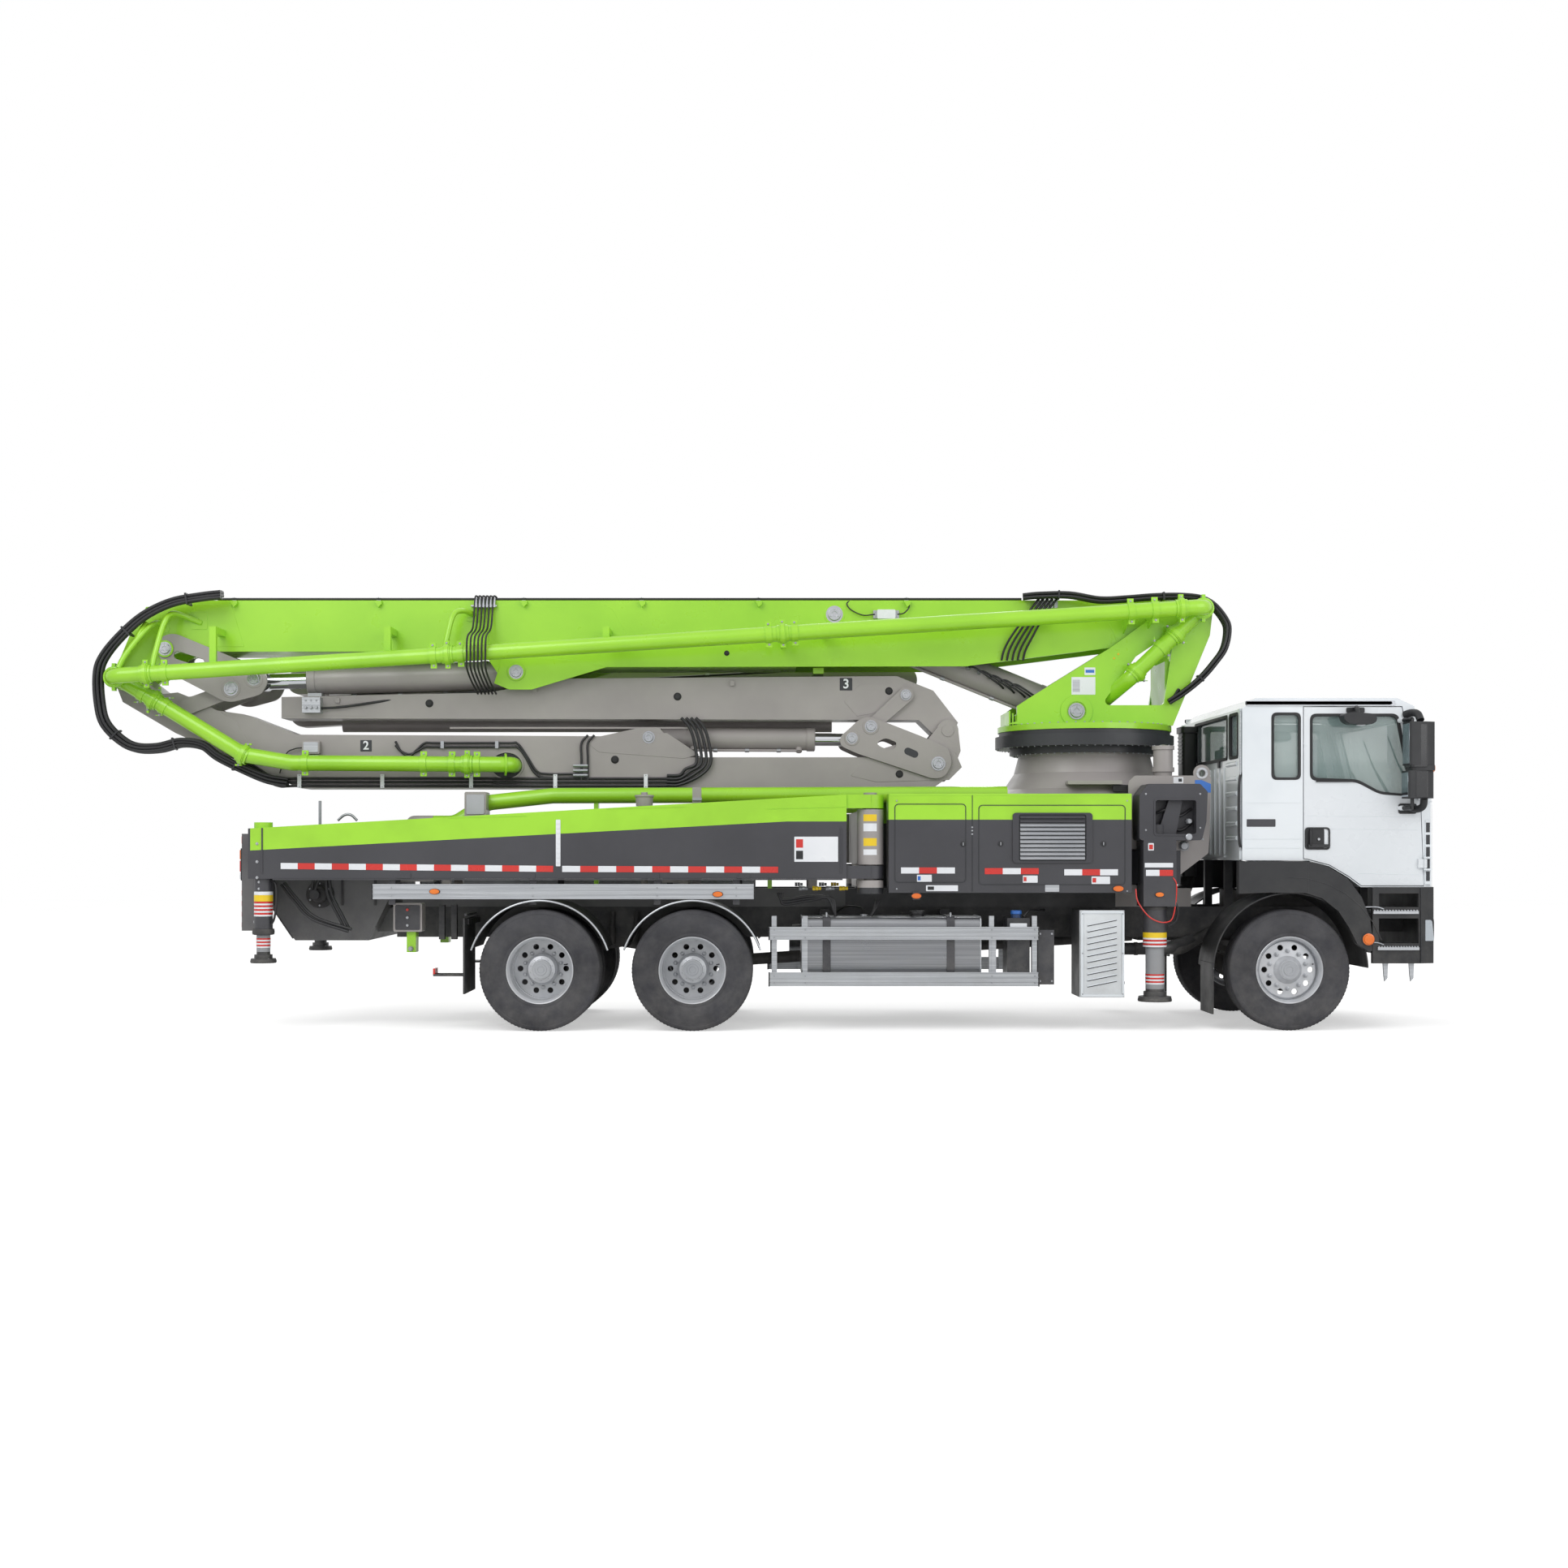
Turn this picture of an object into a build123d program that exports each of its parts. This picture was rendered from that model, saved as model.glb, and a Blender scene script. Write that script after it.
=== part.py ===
"""Concrete pump truck: a three-axle lorry with a six-section folding boom, four outriggers and a rear pump.

Frame: millimetres, +X forward, +Y to the left of the driver, +Z up, ground at Z = 0.
X = 0 and Y = 0 are the middle of the overall length and width.
Outlines are lists of (x, z) seen from the right side; a y range gives their width.
Pieces of the right side (-Y) are drawn once and mirrored for the left.
"""
from build123d import *
import os
from math import acos, atan2, cos, hypot, pi, radians, sin, tan

os.makedirs("parts", exist_ok=True)

# ------------------------------------------------------------------ driving dimensions
WHEELBASE = 5300          # front axle to first rear axle
TANDEM_SPACING = 1350     # first to second rear axle
FRONT_AXLE_X = 4710
HALF_WIDTH = 1250         # vehicle half width over the bodywork

TYRE_RADIUS = 538
TYRE_WIDTH = 300
TYRE_SIDES = 48           # flats round one tyre
RIM_FLANGE_RADIUS = 298
RIM_SEAT_RADIUS = 286
FRONT_TRACK_HALF = 1035
TWIN_TRACK_HALF = 918     # middle of a twin pair
TWIN_SPACING = 345
SPINDLE_RADIUS = 45

RAIL_TOP = 1080           # ladder frame
RAIL_HEIGHT = 280
RAIL_HALF_SPAN = 430
RAIL_PLATE = 12

RUNNING_GAP = 1           # pin and spindle in their bores
SEAT_GAP = 0.3            # fixed piece on its seat
PLATE = 20                # welded box plates
MOVE_GAP = 10             # beside a moving piece

# boom joints as (x, z), from the slewing column to the tip
SLEW_X = 3081
BOOM_PIVOT = (4086, 3827)
KNEE_1 = (-5930, 3194)    # section 1 to 2
KNEE_2 = (1768, 2723)     # section 2 to 3
KNEE_3 = (-4400, 2935)    # section 3 to 4
KNEE_4 = (1400, 3250)     # section 4 to 5
KNEE_5 = (-4500, 3250)    # section 5 to 6
TIP = (700, 3250)         # end of section 6
PIPE_RADIUS = 72          # delivery pipe outside
HOSE_RADIUS = 62          # thinner pipe of sections 3 to 6

# half widths and lateral places of the boom sections
SECTION_1_HALF = 300
SECTION_2_HALF = 230
SECTION_3_HALF = 190
SECTION_4_Y = (370, 550)
SECTION_5_Y = (600, 760)
SECTION_6_Y = (810, 950)
PIPE_1_Y = -660
PIPE_2_Y = -430
SWIVEL_Y = -545           # faces where the pipes of two sections meet

# linkage pins as (x, z)
LIFT_BASE = (2950, 2894)
LIFT_EYE = (704, 3803)
FOLD_2_BASE = (-2263, 3265)
FOLD_2_EYE = (-4700, 3197)
ROCKER_2_PIVOT = (-5526, 3477)
ROCKER_2_LINK = (-4913, 3106)
SECTION_2_LUG = (-5344, 2944)
FOLD_3_BASE = (-1032, 2660)
FOLD_3_EYE = (869, 2650)
ROCKER_3_PIVOT = (1677, 2412)
ROCKER_3_LINK = (1047, 2760)
SECTION_3_LUG = (1376, 3057)

# outriggers
SWING_HINGE = (993, 1080)          # x and |y| of the rear arms' hinge
SWING_JACK_X = -4410
FRONT_JACK = (3527, 1100)
FRONT_BEAM_HEAD = (3620, 1080)     # x and |y| where the front beam meets its head
FRONT_BEAM_ANGLE = 60              # from straight ahead, outwards
FRONT_BEAM_SIZE = 300
FRONT_BEAM_LENGTH = 2150
FRONT_BEAM_FLOORS = {"right": 1300, "left": 1660}
REAR_PAD_Z = 600
FRONT_PAD_Z = 257

# cab
CAB_REAR_X = 4280
CAB_FRONT_X = 6020
CAB_HALF = 1210
CAB_WALL = 60
CAB_ROOF_Z = 2950
DOOR_GAP = 8

rear_axles = (FRONT_AXLE_X - WHEELBASE, FRONT_AXLE_X - WHEELBASE - TANDEM_SPACING)
rail_bottom = RAIL_TOP - RAIL_HEIGHT


# ------------------------------------------------------------------ small helpers
def block(x_range, y_range, z_range):
    """A box given by its two planes in each direction."""
    ranges = (x_range, y_range, z_range)
    centre = [(low + high) / 2 for low, high in ranges]
    size = [high - low for low, high in ranges]
    return Pos(*centre) * Box(*size)


def plate(outline, y_range, corner=0):
    """A side outline of (x, z) points, extruded across the vehicle."""
    low, high = y_range
    points = [(x, low, z) for x, z in outline]
    if corner:
        edge = FilletPolyline(*points, radius=corner, close=True)
    else:
        edge = Polyline(*points, close=True)
    return extrude(make_face(edge), amount=high - low, dir=(0, 1, 0))


def plan(outline, z_range, corner=0):
    """An outline of (x, y) points seen from above, extruded upwards."""
    low, high = z_range
    points = [(x, y, low) for x, y in outline]
    if corner:
        edge = FilletPolyline(*points, radius=corner, close=True)
    else:
        edge = Polyline(*points, close=True)
    return extrude(make_face(edge), amount=high - low, dir=(0, 0, 1))


def bar(start, end, radius):
    """A round bar between two points."""
    axis = Vector(*end) - Vector(*start)
    place = Plane(origin=start, z_dir=axis)
    return place * Cylinder(radius, axis.length, align=(Align.CENTER, Align.CENTER, Align.MIN))


def cross_bar(point, radius, y_range):
    """A round bar across the vehicle at a side point (x, z)."""
    x, z = point
    return bar((x, y_range[0], z), (x, y_range[1], z), radius)


def post(x, y, radius, z_range):
    """An upright round bar."""
    return bar((x, y, z_range[0]), (x, y, z_range[1]), radius)


def pipe(points, radius, bend):
    """A round pipe of straight runs and tangent bends."""
    line, start = Part(), Vector(*points[0])
    for here, after in zip(points[1:-1], points[2:]):
        corner = Vector(*here)
        incoming, outgoing = (corner - start).normalized(), (Vector(*after) - corner).normalized()
        turn = incoming.get_angle(outgoing)
        cut = bend * tan(radians(turn) / 2)
        entry, leave = corner - incoming * cut, corner + outgoing * cut
        normal = incoming.cross(outgoing).normalized()
        centre = entry + normal.cross(incoming) * bend
        section = Plane(origin=entry, z_dir=incoming) * Circle(radius)
        elbow = revolve(section, axis=Axis(centre, normal), revolution_arc=turn)
        line += bar(start, entry, radius) + elbow
        start = leave
    return line + bar(start, points[-1], radius)


def strap(first, second, radii, y_range):
    """A flat link with round ends about two side points."""
    length = hypot(second[0] - first[0], second[1] - first[1])
    lean = atan2(second[1] - first[1], second[0] - first[0])
    spread = acos((radii[0] - radii[1]) / length)
    corners = [(point[0] + radius * cos(lean + turn), point[1] + radius * sin(lean + turn))
               for point, radius, turn in ((first, radii[0], spread), (second, radii[1], spread),
                                           (second, radii[1], -spread), (first, radii[0], -spread))]
    return (plate(corners, y_range) + cross_bar(first, radii[0], y_range)
            + cross_bar(second, radii[1], y_range))


def inset(outline, distance):
    """The same closed outline with each edge moved inwards."""
    count = len(outline)
    area = sum(outline[i][0] * outline[(i + 1) % count][1] - outline[(i + 1) % count][0] * outline[i][1]
               for i in range(count))
    step = distance if area > 0 else -distance
    moved = []
    for i in range(count):
        before, here, after = outline[i - 1], outline[i], outline[(i + 1) % count]
        first = (here[0] - before[0], here[1] - before[1])
        second = (after[0] - here[0], after[1] - here[1])
        first_length, second_length = hypot(*first), hypot(*second)
        normal = (-first[1] / first_length, first[0] / first_length)
        other = (-second[1] / second_length, second[0] / second_length)
        scale = step / (1 + normal[0] * other[0] + normal[1] * other[1])
        moved.append((here[0] + scale * (normal[0] + other[0]), here[1] + scale * (normal[1] + other[1])))
    return moved


def on_both(y_low, y_high):
    """The same y range on the right and the left side."""
    return ((-y_high, -y_low), (y_low, y_high))


def mirrored(piece):
    """The same piece on the other side of the vehicle."""
    return mirror(piece, about=Plane.XZ)


def along(start, end, distance):
    """The side point at a distance from start towards end."""
    share = distance / hypot(end[0] - start[0], end[1] - start[1])
    return (start[0] + share * (end[0] - start[0]), start[1] + share * (end[1] - start[1]))


def save(name, *pieces):
    """Write one node as a STEP file of its separate solids."""
    solids = [solid for piece in pieces for solid in piece.solids()]
    export_step(solids[0] if len(solids) == 1 else Compound(solids), f"parts/{name}.step")


# ------------------------------------------------------------------ wheels and axles
SPINDLE_BORE = SPINDLE_RADIUS + RUNNING_GAP
HAND_HOLES = 10
HAND_HOLE_RADIUS = 26
HAND_HOLE_CIRCLE = 205
RIM_HALF = 128


def flat_round(radius, y):
    """A many-sided round across the axle, with a flat underneath."""
    place = Plane(origin=(0, y, 0), x_dir=(1, 0, 0), z_dir=(0, -1, 0))
    return place * RegularPolygon(radius, TYRE_SIDES, major_radius=False, rotation=180 / TYRE_SIDES)


def tyre(y):
    """One tyre with its middle at y, its axle on the Y axis."""
    half, shoulder = TYRE_WIDTH / 2, 0.77 * TYRE_WIDTH / 2
    rings = ((0.84 * TYRE_RADIUS, -half), (TYRE_RADIUS, -shoulder),
             (TYRE_RADIUS, shoulder), (0.84 * TYRE_RADIUS, half))
    body = loft([flat_round(radius, y + place) for radius, place in rings], ruled=True)
    bore = extrude(flat_round(RIM_FLANGE_RADIUS + SEAT_GAP, y - half - 1), amount=-TYRE_WIDTH - 2)
    return body - bore


def turned(outline):
    """A body of revolution about the Y axis from (radius, y) points."""
    return revolve(make_face(Polyline(*outline, close=True)), axis=Axis.Y)


def rim_ring(y):
    """The well of one rim, with its middle at y."""
    lip, well = RIM_FLANGE_RADIUS - 10, RIM_FLANGE_RADIUS - 28
    return turned([(RIM_FLANGE_RADIUS, y - RIM_HALF), (RIM_FLANGE_RADIUS, y + RIM_HALF),
                   (lip, y + RIM_HALF), (well, y + RIM_HALF - 28),
                   (well, y - RIM_HALF + 28), (lip, y - RIM_HALF)])


def hand_holes(y_range):
    """The ring of holes through a wheel disc."""
    holes = []
    for number in range(HAND_HOLES):
        turn = 2 * pi * number / HAND_HOLES
        centre = (HAND_HOLE_CIRCLE * cos(turn), HAND_HOLE_CIRCLE * sin(turn))
        holes.append(cross_bar(centre, HAND_HOLE_RADIUS, y_range))
    return holes


def front_rim():
    """Single front wheel, outer side towards +Y, about the origin."""
    disc = turned([(60, 20), (120, 48), (250, 36), (275, 10), (275, 26), (250, 52), (120, 66), (60, 66)])
    hub = turned([(0, -70), (125, -70), (125, 70), (100, 100), (85, 128), (0, 132)])
    bore = cross_bar((0, 0), SPINDLE_BORE, (-71, 62))
    return rim_ring(0) + disc + hub - hand_holes((0, 70)) - bore


def twin_rim():
    """Twin rear wheels on one hub, outer side towards +Y, about the origin."""
    half = TWIN_SPACING / 2
    joint = turned([(262, -66), (288, -66), (288, 66), (262, 66)])
    disc = turned([(60, -14), (272, -14), (272, 14), (60, 14)])
    hub = turned([(0, -120), (140, -120), (140, 120), (120, 150), (90, 160), (85, 200), (0, 204)])
    bore = cross_bar((0, 0), SPINDLE_BORE, (-121, 62))
    return rim_ring(-half) + rim_ring(half) + joint + disc + hub - hand_holes((-20, 20)) - bore


def front_axle():
    """Axle beam with round ends for the kingpins, leaf springs on top."""
    parts = [block((FRONT_AXLE_X - 40, FRONT_AXLE_X + 40), (-KINGPIN_Y, KINGPIN_Y), AXLE_BEAM_Z)]
    spring = [(-760, rail_bottom - SEAT_GAP), (-690, rail_bottom - SEAT_GAP), (0, AXLE_BEAM_Z[1] + 75),
              (690, rail_bottom - SEAT_GAP), (760, rail_bottom - SEAT_GAP), (60, AXLE_BEAM_Z[1] - 5),
              (-60, AXLE_BEAM_Z[1] - 5)]
    spring = [(FRONT_AXLE_X + x, z) for x, z in spring]
    for side in (-1, 1):
        parts.append(post(FRONT_AXLE_X, side * KINGPIN_Y, 40, AXLE_BEAM_Z))
    for y_range in on_both(RAIL_HALF_SPAN - 80, RAIL_HALF_SPAN):
        parts.append(plate(spring, y_range))
    axle = Part() + parts
    for side in (-1, 1):
        axle -= post(FRONT_AXLE_X, side * KINGPIN_Y, KINGPIN_RADIUS + RUNNING_GAP, (0, 2 * TYRE_RADIUS))
    return axle


KINGPIN_Y = 830
KINGPIN_RADIUS = 25
AXLE_BEAM_Z = (445, 540)
DRUM_RADIUS = 200


def knuckle():
    """Left steering knuckle with its kingpin, brake drum and spindle."""
    low, high = AXLE_BEAM_Z
    x_range = (FRONT_AXLE_X - 50, FRONT_AXLE_X + 50)
    cheek_y = KINGPIN_Y + 48
    ears = [block(x_range, (KINGPIN_Y - 40, cheek_y + 10), z_range)
            for z_range in ((low - 42, low - 6), (high + 6, high + 42))]
    back = block(x_range, (cheek_y, cheek_y + 16), (low - 42, high + 90))
    pin = post(FRONT_AXLE_X, KINGPIN_Y, KINGPIN_RADIUS, (low - 42, high + 42))
    centre = (FRONT_AXLE_X, TYRE_RADIUS)
    drum = cross_bar(centre, DRUM_RADIUS, (cheek_y + 16, FRONT_TRACK_HALF - 76))
    spindle = cross_bar(centre, SPINDLE_RADIUS, (cheek_y, FRONT_TRACK_HALF + 58))
    return ears[0] + ears[1] + back + pin + drum + spindle


def rear_axle(x):
    """Driven axle with its differential, brake drums and spindles."""
    centre = (x, TYRE_RADIUS)
    parts = [cross_bar(centre, 85, (-620, 620)), Pos(x, 0, TYRE_RADIUS) * Sphere(205),
             cross_bar(centre, SPINDLE_RADIUS, (-TWIN_TRACK_HALF - 58, TWIN_TRACK_HALF + 58))]
    for y_range in on_both(600, TWIN_TRACK_HALF - 124):
        parts.append(cross_bar(centre, DRUM_RADIUS, y_range))
    return parts


def bogie():
    """Both rear axles under one pair of leaf springs."""
    parts = [solid for x in rear_axles for solid in rear_axle(x)]
    first, second = rear_axles
    middle = (first + second) / 2
    low = TYRE_RADIUS + 80
    top = rail_bottom - SEAT_GAP
    spring = [(second - 90, low), (second + 90, low), (middle, low + 90), (first - 90, low),
              (first + 90, low), (first + 90, low + 45), (middle + 160, top), (middle - 160, top),
              (second - 90, low + 45)]
    for y_range in on_both(RAIL_HALF_SPAN - 80, RAIL_HALF_SPAN):
        parts.append(plate(spring, y_range))
    shaft = bar((first, 0, TYRE_RADIUS), (3530, 0, 800), 55)
    return Part() + parts + shaft


ENGINE_X = (4450, 5500)


def engine():
    """Engine and gearbox as plain blocks."""
    half = RAIL_HALF_SPAN - 80 - SEAT_GAP
    return block(ENGINE_X, (-half, half), (620, 1230)) + block((3550, 4460), (-220, 220), (760, 1060))


# ------------------------------------------------------------------ ladder frame
FRAME_X = (-3350, 5700)
CROSSMEMBERS = (-3300, -2600, -1265, 100, 1500, 2600, 3400, 5640)
CAB_MOUNTS = {4350: 1512, 5600: 1276}


def ladder_frame():
    """Two channel rails, their crossmembers and the cab mounts."""
    rail = block(FRAME_X, (RAIL_HALF_SPAN - 80, RAIL_HALF_SPAN), (rail_bottom, RAIL_TOP))
    channel = block((FRAME_X[0] - 1, FRAME_X[1] + 1), (RAIL_HALF_SPAN - 90, RAIL_HALF_SPAN - RAIL_PLATE),
                    (rail_bottom + RAIL_PLATE, RAIL_TOP - RAIL_PLATE))
    rail -= channel
    frame = rail + mirrored(rail)
    inner = RAIL_HALF_SPAN - RAIL_PLATE / 2
    for x in CROSSMEMBERS:
        frame += block((x - 40, x + 40), (-inner, inner), (rail_bottom + 60, rail_bottom + 160))
    for x, cab_z in CAB_MOUNTS.items():
        for y_range in on_both(RAIL_HALF_SPAN - 60, RAIL_HALF_SPAN):
            frame += block((x - 35, x + 35), y_range, (RAIL_TOP - 5, cab_z - SEAT_GAP))
    return frame


# ------------------------------------------------------------------ grey body frame
SUBFRAME_X = (-3300, 4000)
SUBFRAME_TOP = 1250
TUNNEL_WALL = 20
RING_TOP = 2709.5
RING_BOTTOM = 2500
RING_RADIUS = 835
PEDESTAL_WALL = 30
END_PLATE_Y = (885, 905)
COLUMN_RADIUS = 118
HINGE_PIN_RADIUS = 60
LOWER_LUG_Z = (1345, 1465)
UPPER_LUG_Z = (1975, 2095)
LIFTING_EYE = (3992, 2296)
LIFTING_BORE = 30


def beam_box(side, width, height, reach, extra):
    """A box along a front outrigger beam: reach inwards of its head, extra beyond it."""
    floor = FRONT_BEAM_FLOORS[side]
    sign = -1 if side == "right" else 1
    turn = radians(FRONT_BEAM_ANGLE)
    shift = (extra - reach) / 2
    centre = (FRONT_BEAM_HEAD[0] + shift * cos(turn), sign * (FRONT_BEAM_HEAD[1] + shift * sin(turn)),
              floor + FRONT_BEAM_SIZE / 2)
    return Pos(*centre) * Rot(0, 0, sign * FRONT_BEAM_ANGLE) * Box(reach + extra, width, height)


def body_frame():
    """Subframe, crossed outrigger tunnels, slewing pedestal and the rear arms' hinge columns."""
    room = FRONT_BEAM_SIZE + 2 * MOVE_GAP
    outside = room + 2 * TUNNEL_WALL
    low = FRONT_BEAM_FLOORS["right"] - MOVE_GAP - TUNNEL_WALL
    top = FRONT_BEAM_FLOORS["left"] + FRONT_BEAM_SIZE + MOVE_GAP + TUNNEL_WALL
    rails = [block(SUBFRAME_X, y_range, (RAIL_TOP, SUBFRAME_TOP))
             for y_range in on_both(RAIL_HALF_SPAN - 100, RAIL_HALF_SPAN)]
    frame = block((2500, 3700), (-RAIL_HALF_SPAN, RAIL_HALF_SPAN), (SUBFRAME_TOP + SEAT_GAP, low + 5))
    between_plates = block((0, 6000), (-END_PLATE_Y[1], END_PLATE_Y[1]), (0, 4000))
    for side in FRONT_BEAM_FLOORS:
        frame += beam_box(side, outside, outside, FRONT_BEAM_LENGTH + 2 * TUNNEL_WALL, 400) & between_plates
    cone = Pos(SLEW_X, 0, 0) * revolve(make_face(Plane.XZ * Polyline(
        (0, top - 5), (980, top - 5), (900, top + 60), (760, top + 180), (660, top + 330),
        (620, RING_BOTTOM - 30), (620, RING_BOTTOM), (0, RING_BOTTOM), close=True)), axis=Axis.Z)
    hollow = post(SLEW_X, 0, 620 - PEDESTAL_WALL, (top + PEDESTAL_WALL, RING_BOTTOM - PEDESTAL_WALL))
    frame += (cone - hollow) & between_plates
    end_plate = [(3330, 1235), (3330, 2220), (3390, 2275), (4075, 2275), (4062, 1750), (4050, 1575),
                 (3720, 1324), (3720, 1235)]
    for y_range in on_both(*END_PLATE_Y):
        frame += plate(end_plate, y_range, corner=25)
        frame += cross_bar(LIFTING_EYE, 76, y_range)
    for side in FRONT_BEAM_FLOORS:
        frame -= beam_box(side, room, room, FRONT_BEAM_LENGTH + MOVE_GAP, 500)
        frame += Pos(0, 0, -(FRONT_BEAM_SIZE + MOVE_GAP + SEAT_GAP) / 2) * beam_box(
            side, 200, MOVE_GAP - SEAT_GAP, 640, -300)
    x, y = SWING_HINGE
    box_x = (x - 93, x + 93)
    gap = MOVE_GAP
    middle_z = (LOWER_LUG_Z[1] + gap, UPPER_LUG_Z[0] - gap)
    hinge = block(box_x, (-y, y), (middle_z[0] + 5, middle_z[1] - 5))
    hinge += block(box_x, (-RAIL_HALF_SPAN, RAIL_HALF_SPAN), (SUBFRAME_TOP + SEAT_GAP, middle_z[0] + 20))
    for sign in (-1, 1):
        hinge += post(x, sign * y, COLUMN_RADIUS, middle_z)
        hinge += post(x, sign * y, COLUMN_RADIUS, (1215, LOWER_LUG_Z[0] - gap))
        hinge += post(x, sign * y, HINGE_PIN_RADIUS, (1215, UPPER_LUG_Z[1] + 20))
    frame -= cross_bar(LIFTING_EYE, LIFTING_BORE, (-1000, 1000))
    return Part() + rails + [frame, hinge]


def slewing_ring():
    """Fixed slewing bearing between the pedestal and the turret."""
    outline = [(560, RING_BOTTOM), (700, RING_BOTTOM), (700, RING_BOTTOM + 60), (RING_RADIUS, RING_BOTTOM + 60),
               (RING_RADIUS, RING_TOP - 40), (RING_RADIUS - 35, RING_TOP - 40), (RING_RADIUS - 35, RING_TOP),
               (560, RING_TOP)]
    face = make_face(Plane.XZ * Polyline(*outline, close=True))
    return Pos(SLEW_X, 0, 0) * revolve(face, axis=Axis.Z)


# ------------------------------------------------------------------ cab
CAB_SIDE = [(CAB_REAR_X, 1512), (CAB_REAR_X, 2860), (4400, CAB_ROOF_Z), (5650, CAB_ROOF_Z), (5800, 2880),
            (CAB_FRONT_X, 1950), (CAB_FRONT_X - 10, 1276), (5330, 1276), (5215, 1362), (5050, 1460),
            (4860, 1512)]
CAB_PLAN = [(CAB_REAR_X, -CAB_HALF), (CAB_FRONT_X - 160, -CAB_HALF), (CAB_FRONT_X - 60, -CAB_HALF + 40),
            (CAB_FRONT_X, -CAB_HALF + 160), (CAB_FRONT_X, CAB_HALF - 160), (CAB_FRONT_X - 60, CAB_HALF - 40),
            (CAB_FRONT_X - 160, CAB_HALF), (CAB_REAR_X, CAB_HALF)]
DOOR_OUTLINE = [(4825, 1530), (4825, 2870), (5690, 2870), (5850, 2200), (5884, 1290), (5336, 1290),
                (5223, 1374), (5054, 1474), (4862, 1525)]
DOOR_WINDOW = [(4890, 2800), (5650, 2800), (5785, 2085), (5496, 2110), (5295, 2218), (4890, 2232)]
REAR_WINDOW = [(4550, 2235), (4550, 2810), (4785, 2810), (4785, 2235)]
WINDSCREEN_Z = (2030, 2770)
BACK_WINDOWS_Y = ((-1050, -760), (-660, 620))
BACK_WINDOWS_Z = (2440, 2820)
WINDSCREEN_HALF = 1030
GLASS = 6
MIRROR_STALK_X = 5740
MIRROR_Y = (-CAB_HALF - 280, -CAB_HALF - 80)
DOOR_HINGE = (5892, -CAB_HALF - 22)
HINGE_LUGS_Z = (1440, 2040)
HINGE_PIN = 9


def windscreen_x(z):
    """The outer skin of the cab's front at a height."""
    (x1, z1), (x2, z2) = CAB_SIDE[4], CAB_SIDE[5]
    return x1 + (x2 - x1) * (z - z1) / (z2 - z1)


def side_skin():
    """Y ranges of both side walls."""
    return on_both(CAB_HALF - CAB_WALL, CAB_HALF)


def cab_shell():
    """Hollow cab with openings for doors, windows and windscreen."""
    outer = plate(CAB_SIDE, (-CAB_HALF, CAB_HALF)) & plan(CAB_PLAN, (1000, 3000))
    inner_half = CAB_HALF - CAB_WALL
    inner = plate(inset(CAB_SIDE, CAB_WALL), (-inner_half, inner_half))
    inner = inner & plan(inset(CAB_PLAN, CAB_WALL), (1000, 3000))
    shell = outer - inner
    for y_range in on_both(inner_half - 1, CAB_HALF + 1):
        shell -= plate(inset(DOOR_OUTLINE, -DOOR_GAP), y_range)
        shell -= plate(REAR_WINDOW, y_range, corner=30)
    shell -= block((5650, 6200), (-WINDSCREEN_HALF, WINDSCREEN_HALF), WINDSCREEN_Z)
    for y_range in BACK_WINDOWS_Y:
        shell -= block((CAB_REAR_X - 1, CAB_REAR_X + CAB_WALL + 1), y_range, BACK_WINDOWS_Z)
    for sign in (-1, 1):
        x, y = DOOR_HINGE[0], -sign * DOOR_HINGE[1]
        for z in HINGE_LUGS_Z:
            for level in ((z - 14, z), (z + 90, z + 104)):
                shell += post(x, y, 16, level)
                shell += block((x, x + 60), (min(sign * (CAB_HALF - 20), y), max(sign * (CAB_HALF - 20), y)),
                               level)
            shell += post(x, y, HINGE_PIN, (z - 14, z + 104))
    return shell


def door():
    """Right-hand door, as thick as the wall, with its window and hinge knuckles."""
    outer = -CAB_HALF
    leaf = plate(DOOR_OUTLINE, (outer, outer + CAB_WALL))
    leaf -= plate(DOOR_WINDOW, (outer - 1, outer + CAB_WALL + 1), corner=30)
    x, y = DOOR_HINGE
    for z in HINGE_LUGS_Z:
        leaf += post(x, y, 16, (z + 6, z + 84))
        leaf += block((x - 60, x - 6), (y, outer - 2), (z + 6, z + 84))
        leaf += block((x - 60, x - 46), (outer - 5, outer + 20), (z + 6, z + 84))
        leaf -= post(x, y, HINGE_PIN + RUNNING_GAP, (z, z + 90))
    return leaf + handle() + mirrors()


def mirrors():
    """Two mirror housings on arms from the top and the middle of the right-hand door."""
    skin, x = -CAB_HALF + 5, MIRROR_STALK_X
    body = block((x - 60, x + 95), MIRROR_Y, (2330, 2700))
    body = fillet(body.edges().filter_by(Axis.Z), 30)
    low = block((x - 40, x + 95), MIRROR_Y, (2065, 2290))
    body += fillet(low.edges().filter_by(Axis.Z), 30)
    stalk_y = MIRROR_Y[1] - 50
    body += post(x, stalk_y, 16, (1960, 2760))
    for z in (1975, 2750):
        body += bar((x - 70, skin, z), (x, stalk_y, z), 22)
    return body


def handle():
    """Recessed pull of the right-hand door."""
    return block((4860, 5040), (-CAB_HALF - 22, -CAB_HALF - 8), (1625, 1655)) + [
        block((x, x + 20), (-CAB_HALF - 9, -CAB_HALF + 5), (1625, 1655)) for x in (4860, 5020)]


def door_glass():
    """Right-hand door window."""
    middle = -CAB_HALF + CAB_WALL / 2
    return plate(inset(DOOR_WINDOW, SEAT_GAP), (middle, middle + GLASS), corner=30)


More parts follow.
